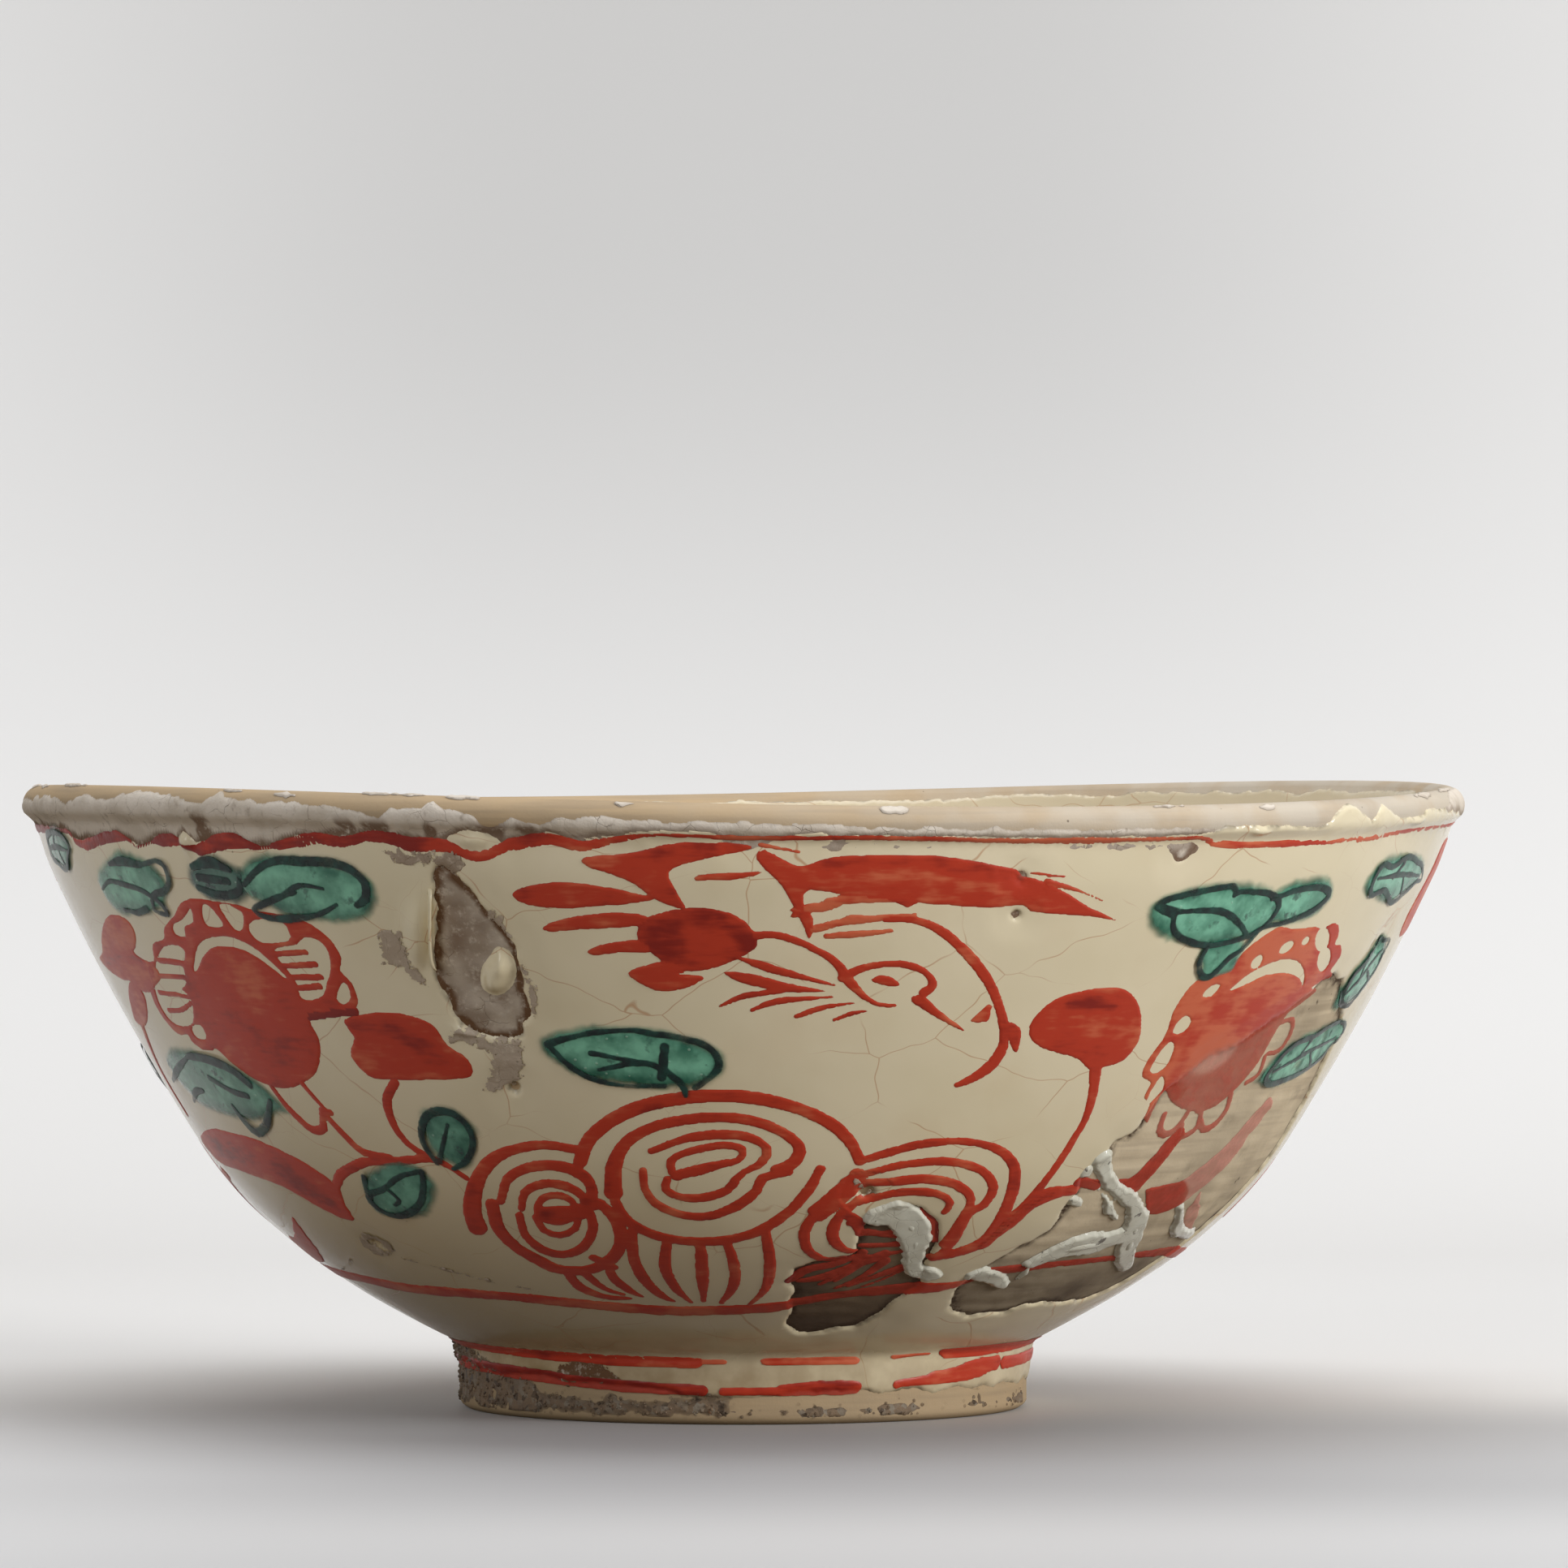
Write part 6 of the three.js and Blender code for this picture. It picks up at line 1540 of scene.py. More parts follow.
def sand_tree():
    """Scatters angular grains over a surface."""
    tree, given = new_tree("Kiln sand", {
        "Grains to a square metre": ("Float", 1500000.0), "Smallest": ("Float", 0.00012),
        "Largest": ("Float", 0.0005), "Seed": ("Int", 3), "Material": ("Material", None)})
    points = tree.node("GeometryNodeDistributePointsOnFaces", {}, {
        "Mesh": given["Geometry"], "Density": given["Grains to a square metre"], "Seed": given["Seed"]},
        "Points")
    grain = tree.node("GeometryNodeMeshIcoSphere", {}, {"Radius": 1.0, "Subdivisions": 2}, "Mesh")
    where = tree.node("GeometryNodeInputPosition")
    lumps = tree.node("ShaderNodeTexNoise", {}, {"Vector": where, "Scale": 1.1, "Detail": 1.0}, "Color")
    push = tree.node("ShaderNodeVectorMath", {"operation": "MULTIPLY_ADD"}, {
        0: lumps, 1: (0.9, 0.9, 0.9), 2: (-0.45, -0.45, -0.45)})
    angular = tree.node("GeometryNodeSetPosition", {}, {"Geometry": grain, "Offset": push})
    size = tree.node("FunctionNodeRandomValue", {"data_type": "FLOAT"}, {
        "Min_001": given["Smallest"], "Max_001": given["Largest"], "Seed": 4}, "Value_001")
    spin = tree.node("FunctionNodeRandomValue", {"data_type": "FLOAT_VECTOR"}, {
        "Min": (0, 0, 0), "Max": (6.28, 6.28, 6.28), "Seed": 5}, "Value")
    grains = tree.node("GeometryNodeInstanceOnPoints", {}, {
        "Points": points, "Instance": angular, "Rotation": spin, "Scale": size})
    both = tree.node("GeometryNodeJoinGeometry", {}, {0: grains})
    tree.tree.links.new(given["Geometry"].socket, both.socket.node.inputs[0])
    return end_tree(tree, both, given["Material"])


def tree_called(name, maker):
    return bpy.data.node_groups.get(name) or maker()


# Makers of pieces


PLACES = {"front": FRONT, "back_right": BACK_RIGHT, "back_left": BACK_LEFT}
FOOT_LINE_WIDTH = 1.2


def turn_piece(bowl, name, profile, material):
    """A turned piece from its profile of (radius, height) in millimetres."""
    points = np.column_stack([profile[:, 0], 0 * profile[:, 0], profile[:, 1]])
    s = bowl.sizes
    return grow(new_path(name, points * MM), tree_called("Turned piece", turned_tree), {
        "Columns": s.columns, "Rows": len(points), "Foot height": s.foot_height, "Rim height": s.rim_height,
        "Tilt": s.tilt, "Tilt angle": s.tilt_angle, "Saddle": s.saddle, "Saddle angle": s.saddle_angle,
        "Material": material})


def window_of(marks, margin=1.5):
    low = np.min([m.path[:, :2].min(0) - m.path[:, 2].max() for m in marks], 0) - margin
    high = np.max([m.path[:, :2].max(0) + m.path[:, 2].max() for m in marks], 0) + margin
    return low[0], high[0], low[1], high[1]


def stand_up(bowl, angle, v, depth, relief, rise, lift=0.0):
    """How far a film stands off the clay: its edge is sunk and rises to the full relief."""
    top, bare = bowl.surface(angle, v)
    return top + lift + 0.05 * bare - 0.02 + (relief + 0.02) * ease(depth, 0, rise)


def film(bowl, centre, marks, relief, step=0.24, grain=0.06, lift=0.0, rise=0.16, number=0, extra=None):
    """A painted film, as one part for join()."""
    def field(angle, v):
        u = bowl.across(angle, v, centre)
        deep = depth_of(marks, u, v)[0]
        near = deep > -0.6
        flat = np.column_stack([u[near], v[near], np.full(near.sum(), centre)])
        deep[near] += grain * (cloud(flat, 2.2, 41) + 0.7 * cloud(flat, 0.6, 42))
        return deep

    def height(angle, v, depth):
        return stand_up(bowl, angle, v, depth, relief, rise, lift)

    chart = Local(bowl.wall, centre, window_of(marks))
    points, faces, depth, angle, v = drape(chart, field, height, step, 1)
    _, bare = bowl.surface(angle, v)
    tone = depth_of(marks, bowl.across(angle, v, centre), v)[1]
    attributes = {"depth": depth, "bare": bare, "tone": tone} | (extra or {})
    attributes = {key: np.broadcast_to(value, len(v)) for key, value in attributes.items()}
    return points, faces, attributes, number


def paint(bowl, name, centre, marks, *nodes, lift=0.0):
    """Red painting at a centre line, in place of the solids named."""
    part = film(bowl, centre, marks, bowl.sizes.red_relief * 1000, lift=lift)
    hand_in(join(name, [part], [red_enamel(bowl.colours)]), "red_enamel", *nodes)


def paint_thrice(bowl, name, marks, seed):
    """A picture at the front and, by another turn of the hand, twice more round the back."""
    for place, centre in PLACES.items():
        draw = np.random.default_rng(centre + seed)
        here = [m.varied(draw) for m in marks] if centre else marks
        paint(bowl, f"painted_{name}_{place}", centre, here, f"{name}_{place}")


class BOWL_OT_clay(bpy.types.Operator):
    """Turn the clay body: wall, lip, floor and foot ring"""
    bl_idname = "bowl.clay"
    bl_label = "Clay body"

    def execute(self, context):
        bowl = Bowl(context)
        piece = turn_piece(bowl, "turned_clay", bowl.wall.clay, buff_clay(bowl.colours))
        hand_in(piece, "clay", "clay_body")
        return {"FINISHED"}


class BOWL_OT_bare_clay(bpy.types.Operator):
    """Lay the rough turned surface over each place where the glaze has come away"""
    bl_idname = "bowl.bare_clay"
    bl_label = "Bare clay"

    def execute(self, context):
        bowl = Bowl(context)
        for name, (centre, mark) in BARE.items():
            def field(angle, v):
                return 1.2 - np.maximum(bowl.glaze_depth(angle, v),
                                        -mark.depth(bowl.across(angle, v, centre), v) - 1.5)

            def height(angle, v, depth):
                return (bowl.clay_height(angle, v) + 0.03) * ease(depth, 0, 0.5) - 0.03

            chart = Local(bowl.wall, centre, window_of([mark], 3))
            points, faces, depth, angle, v = drape(chart, field, height, 0.4, 0)
            edge = bowl.glaze_depth(angle, v)
            ragged = bowl.rough(angle, v, (0.6, 2, 55), (0.4, 0.9, 56))
            smears = 0.25 * ease(bowl.grain(angle, v, 3, 57), 0.3, 0.8)
            dirt = np.clip(1 - ease(-edge, 0.1, 0.9 + ragged) + smears, 0, 1)
            deep, light = BARE_TONES[name]
            stain = np.clip(deep + 0.35 * bowl.grain(angle, v, 6, 58), 0, 1)
            # painted shade: the side patch darker towards its bottom
            if name == "side":
                stain = np.clip(stain + 0.6 * ease(-v, -24, -14), 0, 1)
            pale = np.full(len(v), float(light))
            attributes = {"dirt": dirt, "stain": stain, "pale": pale}
            surface = buff_clay(bowl.colours)
            if name == "scar":
                surface = chalk_slip(bowl.colours)
                mottled = np.clip(dirt + 0.42 + 0.35 * bowl.grain(angle, v, 2.5, 59), 0, 1)
                attributes = {"dirt": mottled, "depth": np.full(len(v), 2.0), "soft": np.full(len(v), 0.4)}
            piece = add_mesh(f"bare_clay_{name}", points, faces, [surface], attributes)
            hand_in(piece, "clay")
        return {"FINISHED"}


class BOWL_OT_slip(bpy.types.Operator):
    """Lay the chalky white slip band under the lip"""
    bl_idname = "bowl.slip"
    bl_label = "Slip band"

    def execute(self, context):
        bowl = Bowl(context)

        def near(angle, v):
            return np.where(v > 69.5, 0, 3)

        points, faces, depth, angle, v = drape(bowl.round, bowl.slip_depth, bowl.slip_height, 0.38, 3, near)
        # painted shadow, with dirt: dark along the glaze's torn edge, weaker high up at the front and right;
        # then brown patches
        dirt = (0.9 - 0.45 * ease(angle, -30, 0) * ease(v, 71.5, 73)) * (
            1 - ease(-bowl.glaze_depth(angle, v), 0.05, 0.5 + 0.3 * bowl.grain(angle, v, 1.5, 35)))
        for middle, half in BROWN:
            patch = 1 - ease(np.abs(angle - middle) + 0.9 * bowl.grain(angle, v, 1.2, 36), half * 0.3, half)
            dirt = np.maximum(dirt, 0.85 * patch * (1 - ease(v, 74.4, 75.8)))
        piece = add_mesh("chalky_slip_band", points, faces, [chalk_slip(bowl.colours)],
                         {"depth": depth, "dirt": dirt})
        hand_in(piece, "slip", "slip_band")
        return {"FINISHED"}


class BOWL_OT_glaze(bpy.types.Operator):
    """Lay the torn cream glaze over the outside"""
    bl_idname = "bowl.glaze"
    bl_label = "Outside glaze"

    def execute(self, context):
        bowl = Bowl(context)
        points, faces, depth, *_ = drape(bowl.round, bowl.glaze_depth, bowl.glaze_height, 0.34, 2)
        piece = add_mesh("torn_outside_glaze", points, faces, [cream_glaze(bowl.colours)], {"depth": depth})
        hand_in(piece, "glaze", "outside_glaze")
        return {"FINISHED"}


class BOWL_OT_inside(bpy.types.Operator):
    """Lay the plain glaze over the inside and in the hollow of the foot"""
    bl_idname = "bowl.inside"
    bl_label = "Inside glaze"

    def execute(self, context):
        bowl = Bowl(context)
        chart = Hollow(bowl.wall)
        thick = bowl.sizes.inside_glaze * 1000
        end = chart.arc[-1]

        def field(angle, v):
            top = end - 1.8 - v
            near = top < 3
            wavy = 0.5 * bowl.grain(angle[near], 60 + v[near] * 0, 5, 61)
            top[near] += wavy + 0.2 * bowl.grain(angle[near], v[near], 1.2, 62)
            return top

        def height(angle, v, depth):
            body = (thick - 0.05) * (1 - 0.5 * ease(v, end - 7, end - 2)) * rolled_edge(depth, 0.7)
            spots = np.column_stack([v * np.sin(np.radians(angle)), v * np.cos(np.radians(angle)), 0 * v])
            return np.where(depth <= 0, -0.05, body + 0.04 * cloud(spots, 8, 63))

        points, faces, depth, *_ = drape(chart, field, height, 0.5, 2)
        piece = add_mesh("inside_glaze_coat", points, faces, [cream_glaze(bowl.colours)],
                         {"depth": depth, "inside": np.ones(len(points))})
        hand_in(piece, "glaze", "inside_glaze")
        roof = bowl.wall.recess - (0, bowl.sizes.base_glaze * 1000)
        roof = np.vstack([roof[:-1], bowl.wall.recess[-1:] - (0.15, 0.25), bowl.wall.recess[-1:]])
        hand_in(turn_piece(bowl, "base_glaze_coat", roof, cream_glaze(bowl.colours)), "glaze", "base_glaze")
        return {"FINISHED"}


class BOWL_OT_birds(bpy.types.Operator):
    """Paint the three red birds"""
    bl_idname = "bowl.birds"
    bl_label = "Birds"

    def execute(self, context):
        paint_thrice(Bowl(context), "bird", BIRD, 400)
        return {"FINISHED"}


class BOWL_OT_scrolls(bpy.types.Operator):
    """Paint the red scroll rocks, three groups of brush lines each"""
    bl_idname = "bowl.scrolls"
    bl_label = "Scroll rocks"

    def execute(self, context):
        paint_thrice(Bowl(context), "scroll_rock", SCROLL_MIDDLE + SCROLL_LEFT + SCROLL_RIGHT, 500)
        return {"FINISHED"}


class BOWL_OT_flowers(bpy.types.Operator):
    """Paint the flowers, buds and broad brushed leaves"""
    bl_idname = "bowl.flowers"
    bl_label = "Flowers, buds and red leaves"

    def execute(self, context):
        bowl = Bowl(context)
        draw = np.random.default_rng(77)
        back_flower = [m.varied(draw) for m in FLOWER_LEFT]
        back_bud = [m.varied(draw) for m in BUD_LEFT]
        paint(bowl, "painted_flower_left", LEFT, FLOWER_LEFT, "flower_left")
        thin_wash = shade(-0.5, oval(-3, 50, 14, 14))
        paint(bowl, "painted_flower_right", RIGHT, [*FLOWER_RIGHT, thin_wash], "flower_right")
        paint(bowl, "painted_flower_back", BACK, back_flower, "flower_back")
        paint(bowl, "painted_bud_left", LEFT, BUD_LEFT, "bud_left")
        paint(bowl, "painted_bud_right", RIGHT, BUD_RIGHT, "bud_right")
        paint(bowl, "painted_pale_flower", LEFT, PALE_FLOWER, "bud_far_left")
        paint(bowl, "painted_bud_back", BACK, back_bud, "bud_back")
        paint(bowl, "brushed_leaf_left", LEFT, BRUSHED_LEAF, "red_leaf_left")
        paint(bowl, "brushed_leaf_back", BACK, BACK_LEAF, "red_leaf_back")
        paint(bowl, "brushed_leaf_on_clay", RIGHT, LEAF_ON_CLAY)
        paint(bowl, "painted_wing_at_edge", FAR_RIGHT, WING_AT_EDGE)
        return {"FINISHED"}


class BOWL_OT_lines(bpy.types.Operator):
    """Paint the red lines that run round under the lip, above the foot and on it"""
    bl_idname = "bowl.lines"
    bl_label = "Red lines"

    def execute(self, context):
        bowl = Bowl(context)
        rows = [(knots(RIM_LINE), knots(RIM_WIDTH), 0.02, 81, 0),
                (knots(LOWER_LINE), knots(LOWER_WIDTH), 0.06, 83, 0),
                (knots(FOOT_LINE_HIGH), lambda a: FOOT_LINE_WIDTH, 0.6, 85, 84),
                (knots(FOOT_LINE_LOW), lambda a: FOOT_LINE_WIDTH, 0.6, 87, 84)]
        relief = bowl.sizes.red_relief * 1000

        def field(angle, v):
            total = np.full(v.shape, AWAY)
            for middle, width, broken, seed, front in rows:
                away = np.abs(v - middle(angle)) + 3 * (np.abs(angle) < front)
                near = away < 2.5
                a, up = angle[near], v[near]
                swell = 1 + 0.3 * bowl.grain(a, up, 9, seed)
                wide = width(a) / 2 * swell + 0.1 * bowl.grain(a, up, 1.1, seed + 1)
                worn = bowl.grain(a, middle(a), 6, seed + 2) + 0.4 * bowl.grain(a, middle(a), 2, seed)
                wide -= broken * 1.2 * ease(worn, 0, 0.5)
                total[near] = np.maximum(total[near], wide - away[near])
            return total

        def height(angle, v, depth):
            return stand_up(bowl, angle, v, depth, relief, 0.16)

        points, faces, depth, angle, v = drape(bowl.round, field, height, 0.36, 1)
        at_rim = ease(v, 66, 69)
        tone = 0.6 * bowl.grain(angle, v, 6, 89) + at_rim * (0.8 - 1.3 * ease(angle, -35, 5))
        attributes = {"depth": depth, "bare": bowl.surface(angle, v)[1] * (1 - at_rim), "tone": tone}
        hand_in(add_mesh("painted_red_lines", points, faces, [red_enamel(bowl.colours)], attributes),
                "red_enamel")
        paint(bowl, "painted_foot_lines", FRONT, FOOT_STROKES, lift=0.07)
        paint(bowl, "painted_fan_on_clay", FRONT, FAN)
        return {"FINISHED"}


def plain_leaf(u, v, half_u, half_v, tilt, draw):
    """Outline and three veins of a leaf that has none of its own."""
    at = tilted(u, v, tilt)
    return [
        ring((0.7, 1.1, 0.8), u + 0.3, v + 0.2, half_u * 0.96, half_v * 0.92, tilt).varied(draw),
        line((0.6, 0.9, 0.5), at(-half_u * 0.8, 0.2), at(0, 0.35 * half_v * 0.5), at(half_u * 0.85, 0)),
        line((0.6, 0.8), at(-half_u * 0.3, 0.1), at(-half_u * 0.05, half_v * 0.75)),
        line((0.6, 0.8), at(half_u * 0.1, 0.1), at(half_u * 0.3, -half_v * 0.8)),
    ]


class BOWL_OT_leaves(bpy.types.Operator):
    """Lay the glassy green leaves and their dark outlines"""
    bl_idname = "bowl.leaves"
    bl_label = "Green leaves"

    def execute(self, context):
        bowl = Bowl(context)
        relief = bowl.sizes.green_relief * 1000
        for number, (name, (centre, u, v, half_u, half_v, tilt)) in enumerate(LEAVES.items()):
            draw = np.random.default_rng(number + 9)
            pad = oval(u, v, half_u + 1.1, half_v + 0.9, tilt).varied(draw)
            dark = DARK_LEAVES.get(name, 0.0)
            sheet = film(bowl, centre, [pad], relief, 0.3, 0.25, 0.02, 1.6, 0, {"dark": dark})
            drawn = LEAF_LINES.get(name) or plain_leaf(u, v, half_u, half_v, tilt, draw)
            outline = film(bowl, centre, drawn, 0.04, 0.2, 0.07, relief + 0.03, number=1)
            piece = join(f"green_{name}", [sheet, outline],
                         [green_enamel(bowl.colours), dark_line(bowl.colours)])
            nodes = () if name == "leaf_far_right" else (name,)
            hand_in(piece, "green_enamel", *nodes)
        return {"FINISHED"}


# Each roll of glaze: its centre line, its path and its widths along it

ROLLS = {
    "glaze_roll_low": (
        FRONT, [(14.6, 26.9), (16.3, 27.2), (18, 25.8), (18.8, 23.5), (18.7, 21), (18.5, 19), (19, 17.3),
                (21, 17)], (2, 2.8, 2.8, 1.7, 1.5, 1.6)),
    "glaze_roll_branch": (
        RIGHT, [(-14.4, 34.2), (-13.4, 32.8), (-11.8, 31.2), (-9.5, 29.8), (-7, 28.6), (-4.5, 27.3),
                (-2.5, 25.5), (-1, 23.8), (0.3, 22), (1.5, 20.3), (3, 18.6), (5, 17.2), (7, 16)],
        (1.6, 1.1, 1, 1.2, 2.4, 2.2, 1.8, 1.1)),
    "glaze_roll_side": (RIGHT, [(-12, 18.3), (-9.8, 20.2), (-7.5, 20.9), (-4.5, 21.2), (-1.5, 22.3)],
                        (1.4, 2.6, 2.6, 2)),
    "glaze_roll_edge": (RIGHT, [(-18.7, 16.7), (-16.5, 16), (-14.2, 14.9), (-12.3, 13.8)], (1.2, 1.5, 0.8)),
    "glaze_roll_tail": (RIGHT, [(5.5, 26.3), (7.5, 24.6), (9.5, 22.8), (12, 21.8), (17, 21)], (0.7, 1.1, 1)),
}
BITS = [line((0.5, 1, 0.6), (-12, 29.7), (-9.5, 28), (-7.7, 26.4), (-5.7, 25.3)), oval(-15.6, 32.4, 0.7, 0.8),
        oval(-14.2, 28.2, 1.4, 0.7, -30), line(0.8, (-11.3, 15), (-11.6, 16.8))]
BEAD = blob((-26.2, 60.5), (-24.8, 60), (-24.1, 58.5), (-24.1, 57), (-24.8, 55.5), (-26.3, 54.6),
            (-27.8, 55.3), (-28.2, 56.8), (-27.8, 58.3), (-26.9, 59.5))
FLAKE = [(-34, 67.2, 0.5), (-33.8, 66.4, 1.3), (-33.8, 63.5, 1.6), (-33.8, 61, 1.7), (-33.7, 59, 1.6),
         (-33.5, 58, 1.1)]


class BOWL_OT_rolls(bpy.types.Operator):
    """Run the rolls of glaze that drew back over the bare clay"""
    bl_idname = "bowl.rolls"
    bl_label = "Rolled glaze"

    def execute(self, context):
        bowl = Bowl(context)
        tree = tree_called("Rolled glaze", bead_tree)
        glaze = rolled_glaze(bowl.colours)
        for name, (centre, points, widths) in ROLLS.items():
            path = line(widths, *points).path
            u, v, half = path.T
            angle = centre + np.degrees(u / bowl.wall.radius(v))
            share = np.linspace(0, 1, len(u))
            swell = 0.6 * half * np.sqrt(np.clip(1 - np.abs(2 * share - 1) ** 4, 0.06, 1))
            swell *= 1 + 0.5 * cloud(np.column_stack([u, v, 0 * u]), 1.7, 91)
            spots = bowl.wall.place(angle, v, 0.2 - 0.35 * swell) * MM
            piece = new_path(f"rolled_{name}", spots)
            wide = piece.data.attributes.new("width", "FLOAT", "POINT")
            wide.data.foreach_set("value", (swell * MM).astype(np.float32))
            grow(piece, tree, {"Lumps": 0.0002, "Lump size": 0.0024, "Material": glaze})
            hand_in(piece, "glaze_bead", name)
            spread = line(tuple(1.45 * w + 0.3 for w in widths), *points)
            skirt = film(bowl, centre, [spread], 0.38, 0.2, 0.24, 0.02, 0.5, extra={"bare": 0.0})
            hand_in(join(f"spread_{name}", [skirt], [glaze]), "glaze_bead")
        bits = film(bowl, RIGHT, BITS, 0.35, 0.2, 0.3, 0, 0.35)
        hand_in(join("bits_of_glaze_on_clay", [bits], [glaze]), "glaze_bead")
        bead = film(bowl, FRONT, [BEAD], 1.0, 0.2, 0.0, 0, 1.7, extra={"depth": 2.0})
        pear = join("pear_bead_in_scar", [bead], [cream_glaze(bowl.colours)])
        hand_in(pear, "glaze_bead", "glaze_bead_in_scar")
        return {"FINISHED"}


class BOWL_OT_skins(bpy.types.Operator):
    """Lay chalky skins round the scar, the crater and the lip, and stand up the flake beside the scar"""
    bl_idname = "bowl.skins"
    bl_label = "Chalk skins and flake"

    def execute(self, context):
        bowl = Bowl(context)
        chalk = chalk_slip(bowl.colours)
        for name, (centre, marks) in CHALK_SKINS.items():
            stain = SKIN_STAINS.get(name, 0.5)
            skin = film(bowl, centre, marks, 0.1, 0.2, 0.4, 0.02, 0.3, extra={"dirt": stain, "soft": 1.0})
            hand_in(join(f"chalk_skin_{name}", [skin], [chalk]), "slip")
        crown = bowl.wall.arc[-1] - 0.5
        bits = [oval(u, crown + drop, half, 0.45) for u, drop, half in LIP_BITS]
        hand_in(join("chalk_bits_on_lip", [film(bowl, 0, bits, 0.14, 0.16, 0.3, 0, 0.2)], [chalk]), "slip")
        points, faces = [], []
        for u, v, high in smooth_path(FLAKE, step=0.4):
            section = [(-0.25, 0), (0.1, high * 0.55), (0.5, high), (0.75, high * 0.9), (0.4, high * 0.45),
                       (0.25, 0)]
            shift, off = np.array(section).T
            angle = np.degrees((u + shift) / bowl.wall.radius(v))
            points.append(bowl.wall.place(angle, np.full(6, v), off + 0.2))
        for k in range(len(points) - 1):
            for i in range(6):
                a, b, c, d = 6 * k + i, 6 * k + (i + 1) % 6, 6 * k + 6 + (i + 1) % 6, 6 * k + 6 + i
                faces += [(a, b, c), (a, c, d)]
        last = 6 * (len(points) - 1)
        for i in range(1, 5):
            faces += [(0, i + 1, i), (last, last + i, last + i + 1)]
        points = np.vstack(points)
        flake = add_mesh("raised_flake", points, np.array(faces)[:, ::-1], [cream_glaze(bowl.colours)],
                         {"depth": np.full(len(points), 2.0)})
        hand_in(flake, "glaze_bead", "lifted_flake")
        return {"FINISHED"}


# Each patch of sand: its centre line, its bounds in u and v, how thick it lies, how far its crust rises

SAND = {
    "foot_grit_left": (-50, -26, 26, -9.35, -1.2, 1.3, 0.16),
    "foot_grit_front": (-2, -18, 20, -9.4, -7.4, 0.5, 0.04),
    "foot_grit_right": (42, -20, 22, -9.4, -7.2, 0.6, 0.06),
}


class BOWL_OT_sand(bpy.types.Operator):
    """Lay the brown crust of the foot and scatter kiln sand over it"""
    bl_idname = "bowl.sand"
    bl_label = "Kiln sand"

    def execute(self, context):
        bowl = Bowl(context)
        tree = tree_called("Kiln sand", sand_tree)
        for number, (name, (centre, low_u, high_u, low_v, high_v, thick, rise)) in enumerate(SAND.items()):
            def field(angle, v):
                u = bowl.across(angle, v, centre)
                slope = high_v if name != "foot_grit_left" else high_v - 5.6 * ease(u, -14, 9)
                inside = np.minimum(np.minimum(u - low_u, high_u - u), np.minimum(v - low_v, slope - v))
                ragged = inside + 1.1 * bowl.grain(angle, v, 3.5, 95 + number)
                return ragged + 0.4 * bowl.grain(angle, v, 1.2, 96)

            def height(angle, v, depth):
                lumps = 0.7 + 0.5 * bowl.grain(angle, v, 1.3, 97) + 0.4 * bowl.grain(angle, v, 0.5, 98)
                top = np.maximum(bowl.surface(angle, v)[0], 0)
                return top - 0.03 + rise * ease(depth, 0, 1.5) * lumps

            chart = Local(bowl.wall, centre, (low_u - 3, high_u + 3, low_v, high_v + 2))
            points, faces, depth, *_ = drape(chart, field, height, 0.36, 0)
            piece = add_mesh(f"fused_{name}", points, faces, [kiln_sand(bowl.colours)],
                             {"fade": 1 - ease(depth, 0, 1.4)})
            grow(piece, tree, {"Grains to a square metre": 1300000.0 * thick, "Seed": 3 + number,
                               "Largest": 0.00024, "Material": kiln_sand(bowl.colours)})
            hand_in(piece, "kiln_grit", name)
        dirt = film(bowl, 0, FOOT_DIRT, 0.03, 0.2, 0.3, 0.08, 0.3, extra={"dirt": 1.0, "soft": 0.5})
        hand_in(join("brown_dirt_on_foot", [dirt], [chalk_slip(bowl.colours)]), "kiln_grit")
        return {"FINISHED"}


# Floor, lights and camera


def backdrop_paint(colours):
    """Pale grey paper, clear seen from its back, whose bounce is darker and warmer than it looks. Its colour
    carries painted shade before the bowl, a painted shadow band, painted shade up the backdrop and painted
    light at the sides.
    """
    f = Finish("pale_paper", 0.2)
    height = f.along("Z")
    side = abs(f.along("X"))
    far = f.along("Y")
    # painted shade: the floor darker towards the front
    base = f.mix(f.ramp(far, -0.5, 0.1), colours.floor_front, colours.floor)
    across = f.along("X")
    # painted shadow of the bowl: a darker band on the floor before it, weaker to the left
    band = f.ramp(far, -0.2, -0.11) * (1 - f.ramp(far, -0.04, 0.03)) * (0.45 + f.ramp(across, -0.09, 0) * 0.5)
    base = f.mix(band, base, colours.floor_front)
    # painted shade: the paper greyer up the backdrop
    base = f.mix(f.ramp(height, 0.0, 0.15), base, colours.backdrop)
    # painted light: the paper lighter towards the sides
    base = f.mix(f.ramp(side, 0.03, 0.16) * 0.5, base, colours.floor)
    seen = f.node("ShaderNodeLightPath", {}, {}, "Is Camera Ray")
    shone = f.node("ShaderNodeLightPath", {}, {}, "Is Glossy Ray")
    base = f.mix((seen + shone).clipped(), colours.bounce, base)
    back = f.node("ShaderNodeNewGeometry", {}, {}, "Backfacing")
    return f.put(Base_Color=base, Roughness=0.55, Alpha=1 - back)


def softbox(name, place, aim, width, height, power):
    light = bpy.data.lights.new(name, "AREA")
    light.shape, light.size, light.size_y = "RECTANGLE", width, height
    light.energy = power
    lamp = new_object(name, light)
    lamp.location = place
    lamp.rotation_euler = (Vector(aim) - Vector(place)).to_track_quat("-Z", "Y").to_euler()


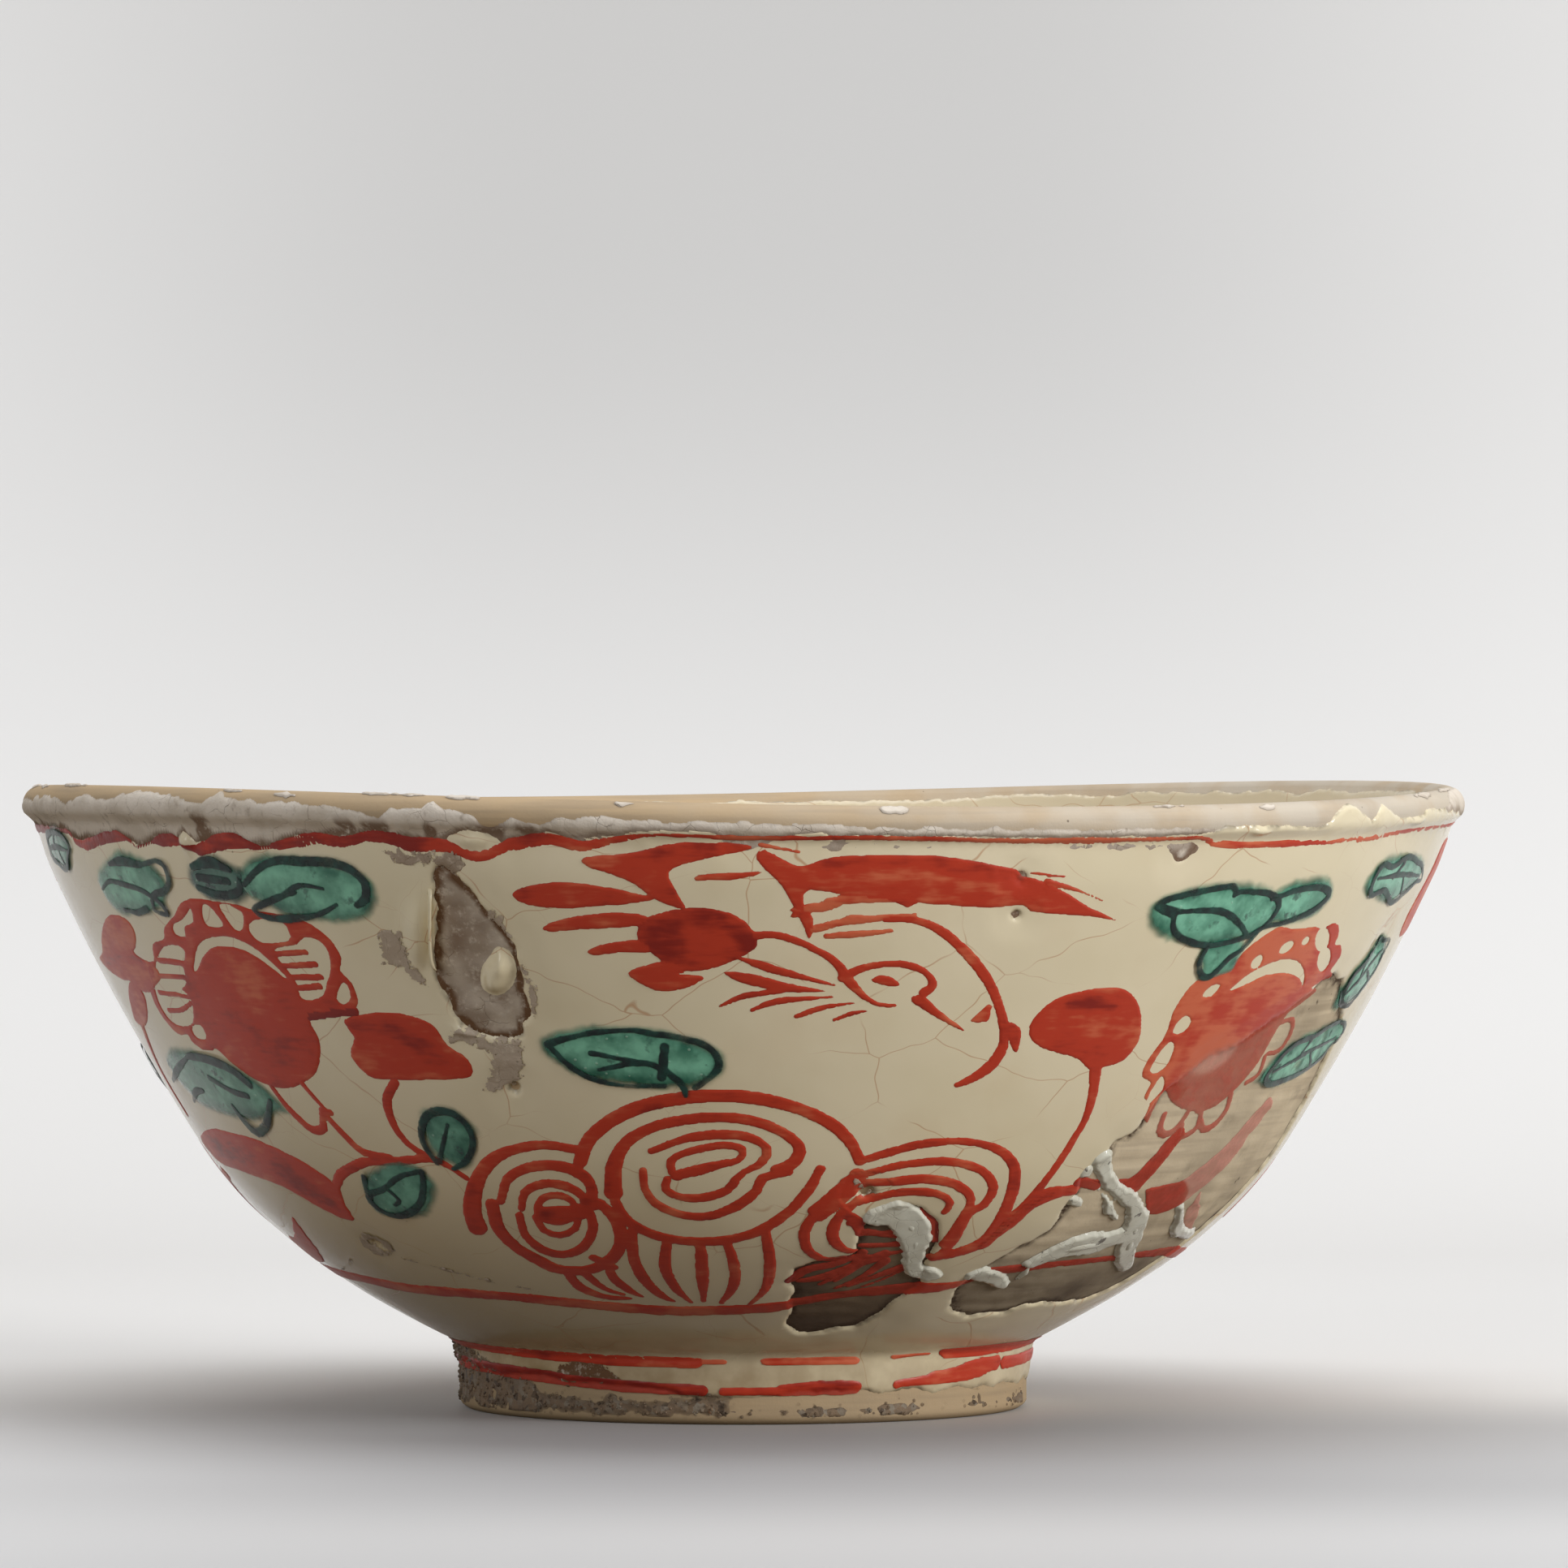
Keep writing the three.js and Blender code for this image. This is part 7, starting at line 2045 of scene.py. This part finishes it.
class BOWL_OT_stage(bpy.types.Operator):
    """Set up the pale floor, the softboxes and the camera"""
    bl_idname = "bowl.stage"
    bl_label = "Stage"

    def execute(self, context):
        scene = context.scene
        turn_up = [(-1.6, 0), (0.3, 0)] + [(0.3 + 0.35 * math.sin(a), 0.35 - 0.35 * math.cos(a))
                                           for a in np.radians(np.arange(5, 91, 5))] + [(0.65, 2.2)]
        points = [(x, y, z) for y, z in turn_up for x in (-2.2, 2.2)]
        faces = [(2 * i, 2 * i + 1, 2 * i + 3, 2 * i + 2) for i in range(len(turn_up) - 1)]
        mesh = bpy.data.meshes.new("paper_backdrop")
        mesh.from_pydata(points, [], faces)
        mesh.shade_smooth()
        mesh.materials.append(backdrop_paint(scene.bowl_colours))
        backdrop = new_object("paper_backdrop", mesh)
        middle = (0, 0, 0.04)
        softbox("overhead softbox", (0.05, 0.1, 1.0), middle, 1.1, 0.8, 6)
        softbox("right key", (1.1, -0.6, 0.38), middle, 0.5, 0.5, 10.4)
        softbox("left fill", (-0.75, -0.9, 0.4), middle, 0.5, 0.7, 2.4)
        world = bpy.data.worlds.new("Studio")
        world.use_nodes = True
        world.node_tree.nodes["Background"].inputs["Color"].default_value = (0.9, 0.93, 1, 1)
        world.node_tree.nodes["Background"].inputs["Strength"].default_value = 0.4
        scene.world = world
        lens = bpy.data.cameras.new("Camera")
        lens.lens, lens.sensor_width, lens.sensor_fit = 273.1, 36, "HORIZONTAL"
        lens.clip_start, lens.clip_end = 0.05, 20
        camera = new_object("Camera", lens)
        camera.location = (0.0045, -1.319, 0.090)
        aim = Vector((0.0045, 0, 0.069)) - camera.location
        camera.rotation_euler = aim.to_track_quat("-Z", "Y").to_euler()
        scene.camera = camera
        scene.view_settings.view_transform = "Standard"
        return {"FINISHED"}


MAKERS = (BOWL_OT_clay, BOWL_OT_bare_clay, BOWL_OT_slip, BOWL_OT_glaze, BOWL_OT_inside, BOWL_OT_birds,
          BOWL_OT_scrolls, BOWL_OT_flowers, BOWL_OT_lines, BOWL_OT_leaves, BOWL_OT_rolls, BOWL_OT_skins,
          BOWL_OT_sand, BOWL_OT_stage)


class BOWL_PT_panel(bpy.types.Panel):
    """Lists the bowl's pieces in the order in which they are made"""
    bl_idname = "BOWL_PT_panel"
    bl_label = "Footed Bowl"
    bl_space_type = "VIEW_3D"
    bl_region_type = "UI"
    bl_category = "Bowl"

    def draw(self, context):
        for maker in MAKERS:
            self.layout.operator(maker.bl_idname)
        for group in (context.scene.bowl_sizes, context.scene.bowl_colours):
            column = self.layout.column(align=True)
            for key in group.__annotations__:
                column.prop(group, key)


CLASSES = (BowlSizes, BowlColours, *MAKERS, BOWL_PT_panel)


def register():
    for cls in CLASSES:
        bpy.utils.register_class(cls)
    bpy.types.Scene.bowl_sizes = PointerProperty(type=BowlSizes)
    bpy.types.Scene.bowl_colours = PointerProperty(type=BowlColours)


def unregister():
    del bpy.types.Scene.bowl_sizes, bpy.types.Scene.bowl_colours
    for cls in reversed(CLASSES):
        bpy.utils.unregister_class(cls)


def main():
    register()
    for maker in MAKERS:
        group, name = maker.bl_idname.split(".")
        getattr(getattr(bpy.ops, group), name)()


if __name__ == "__main__":
    main()
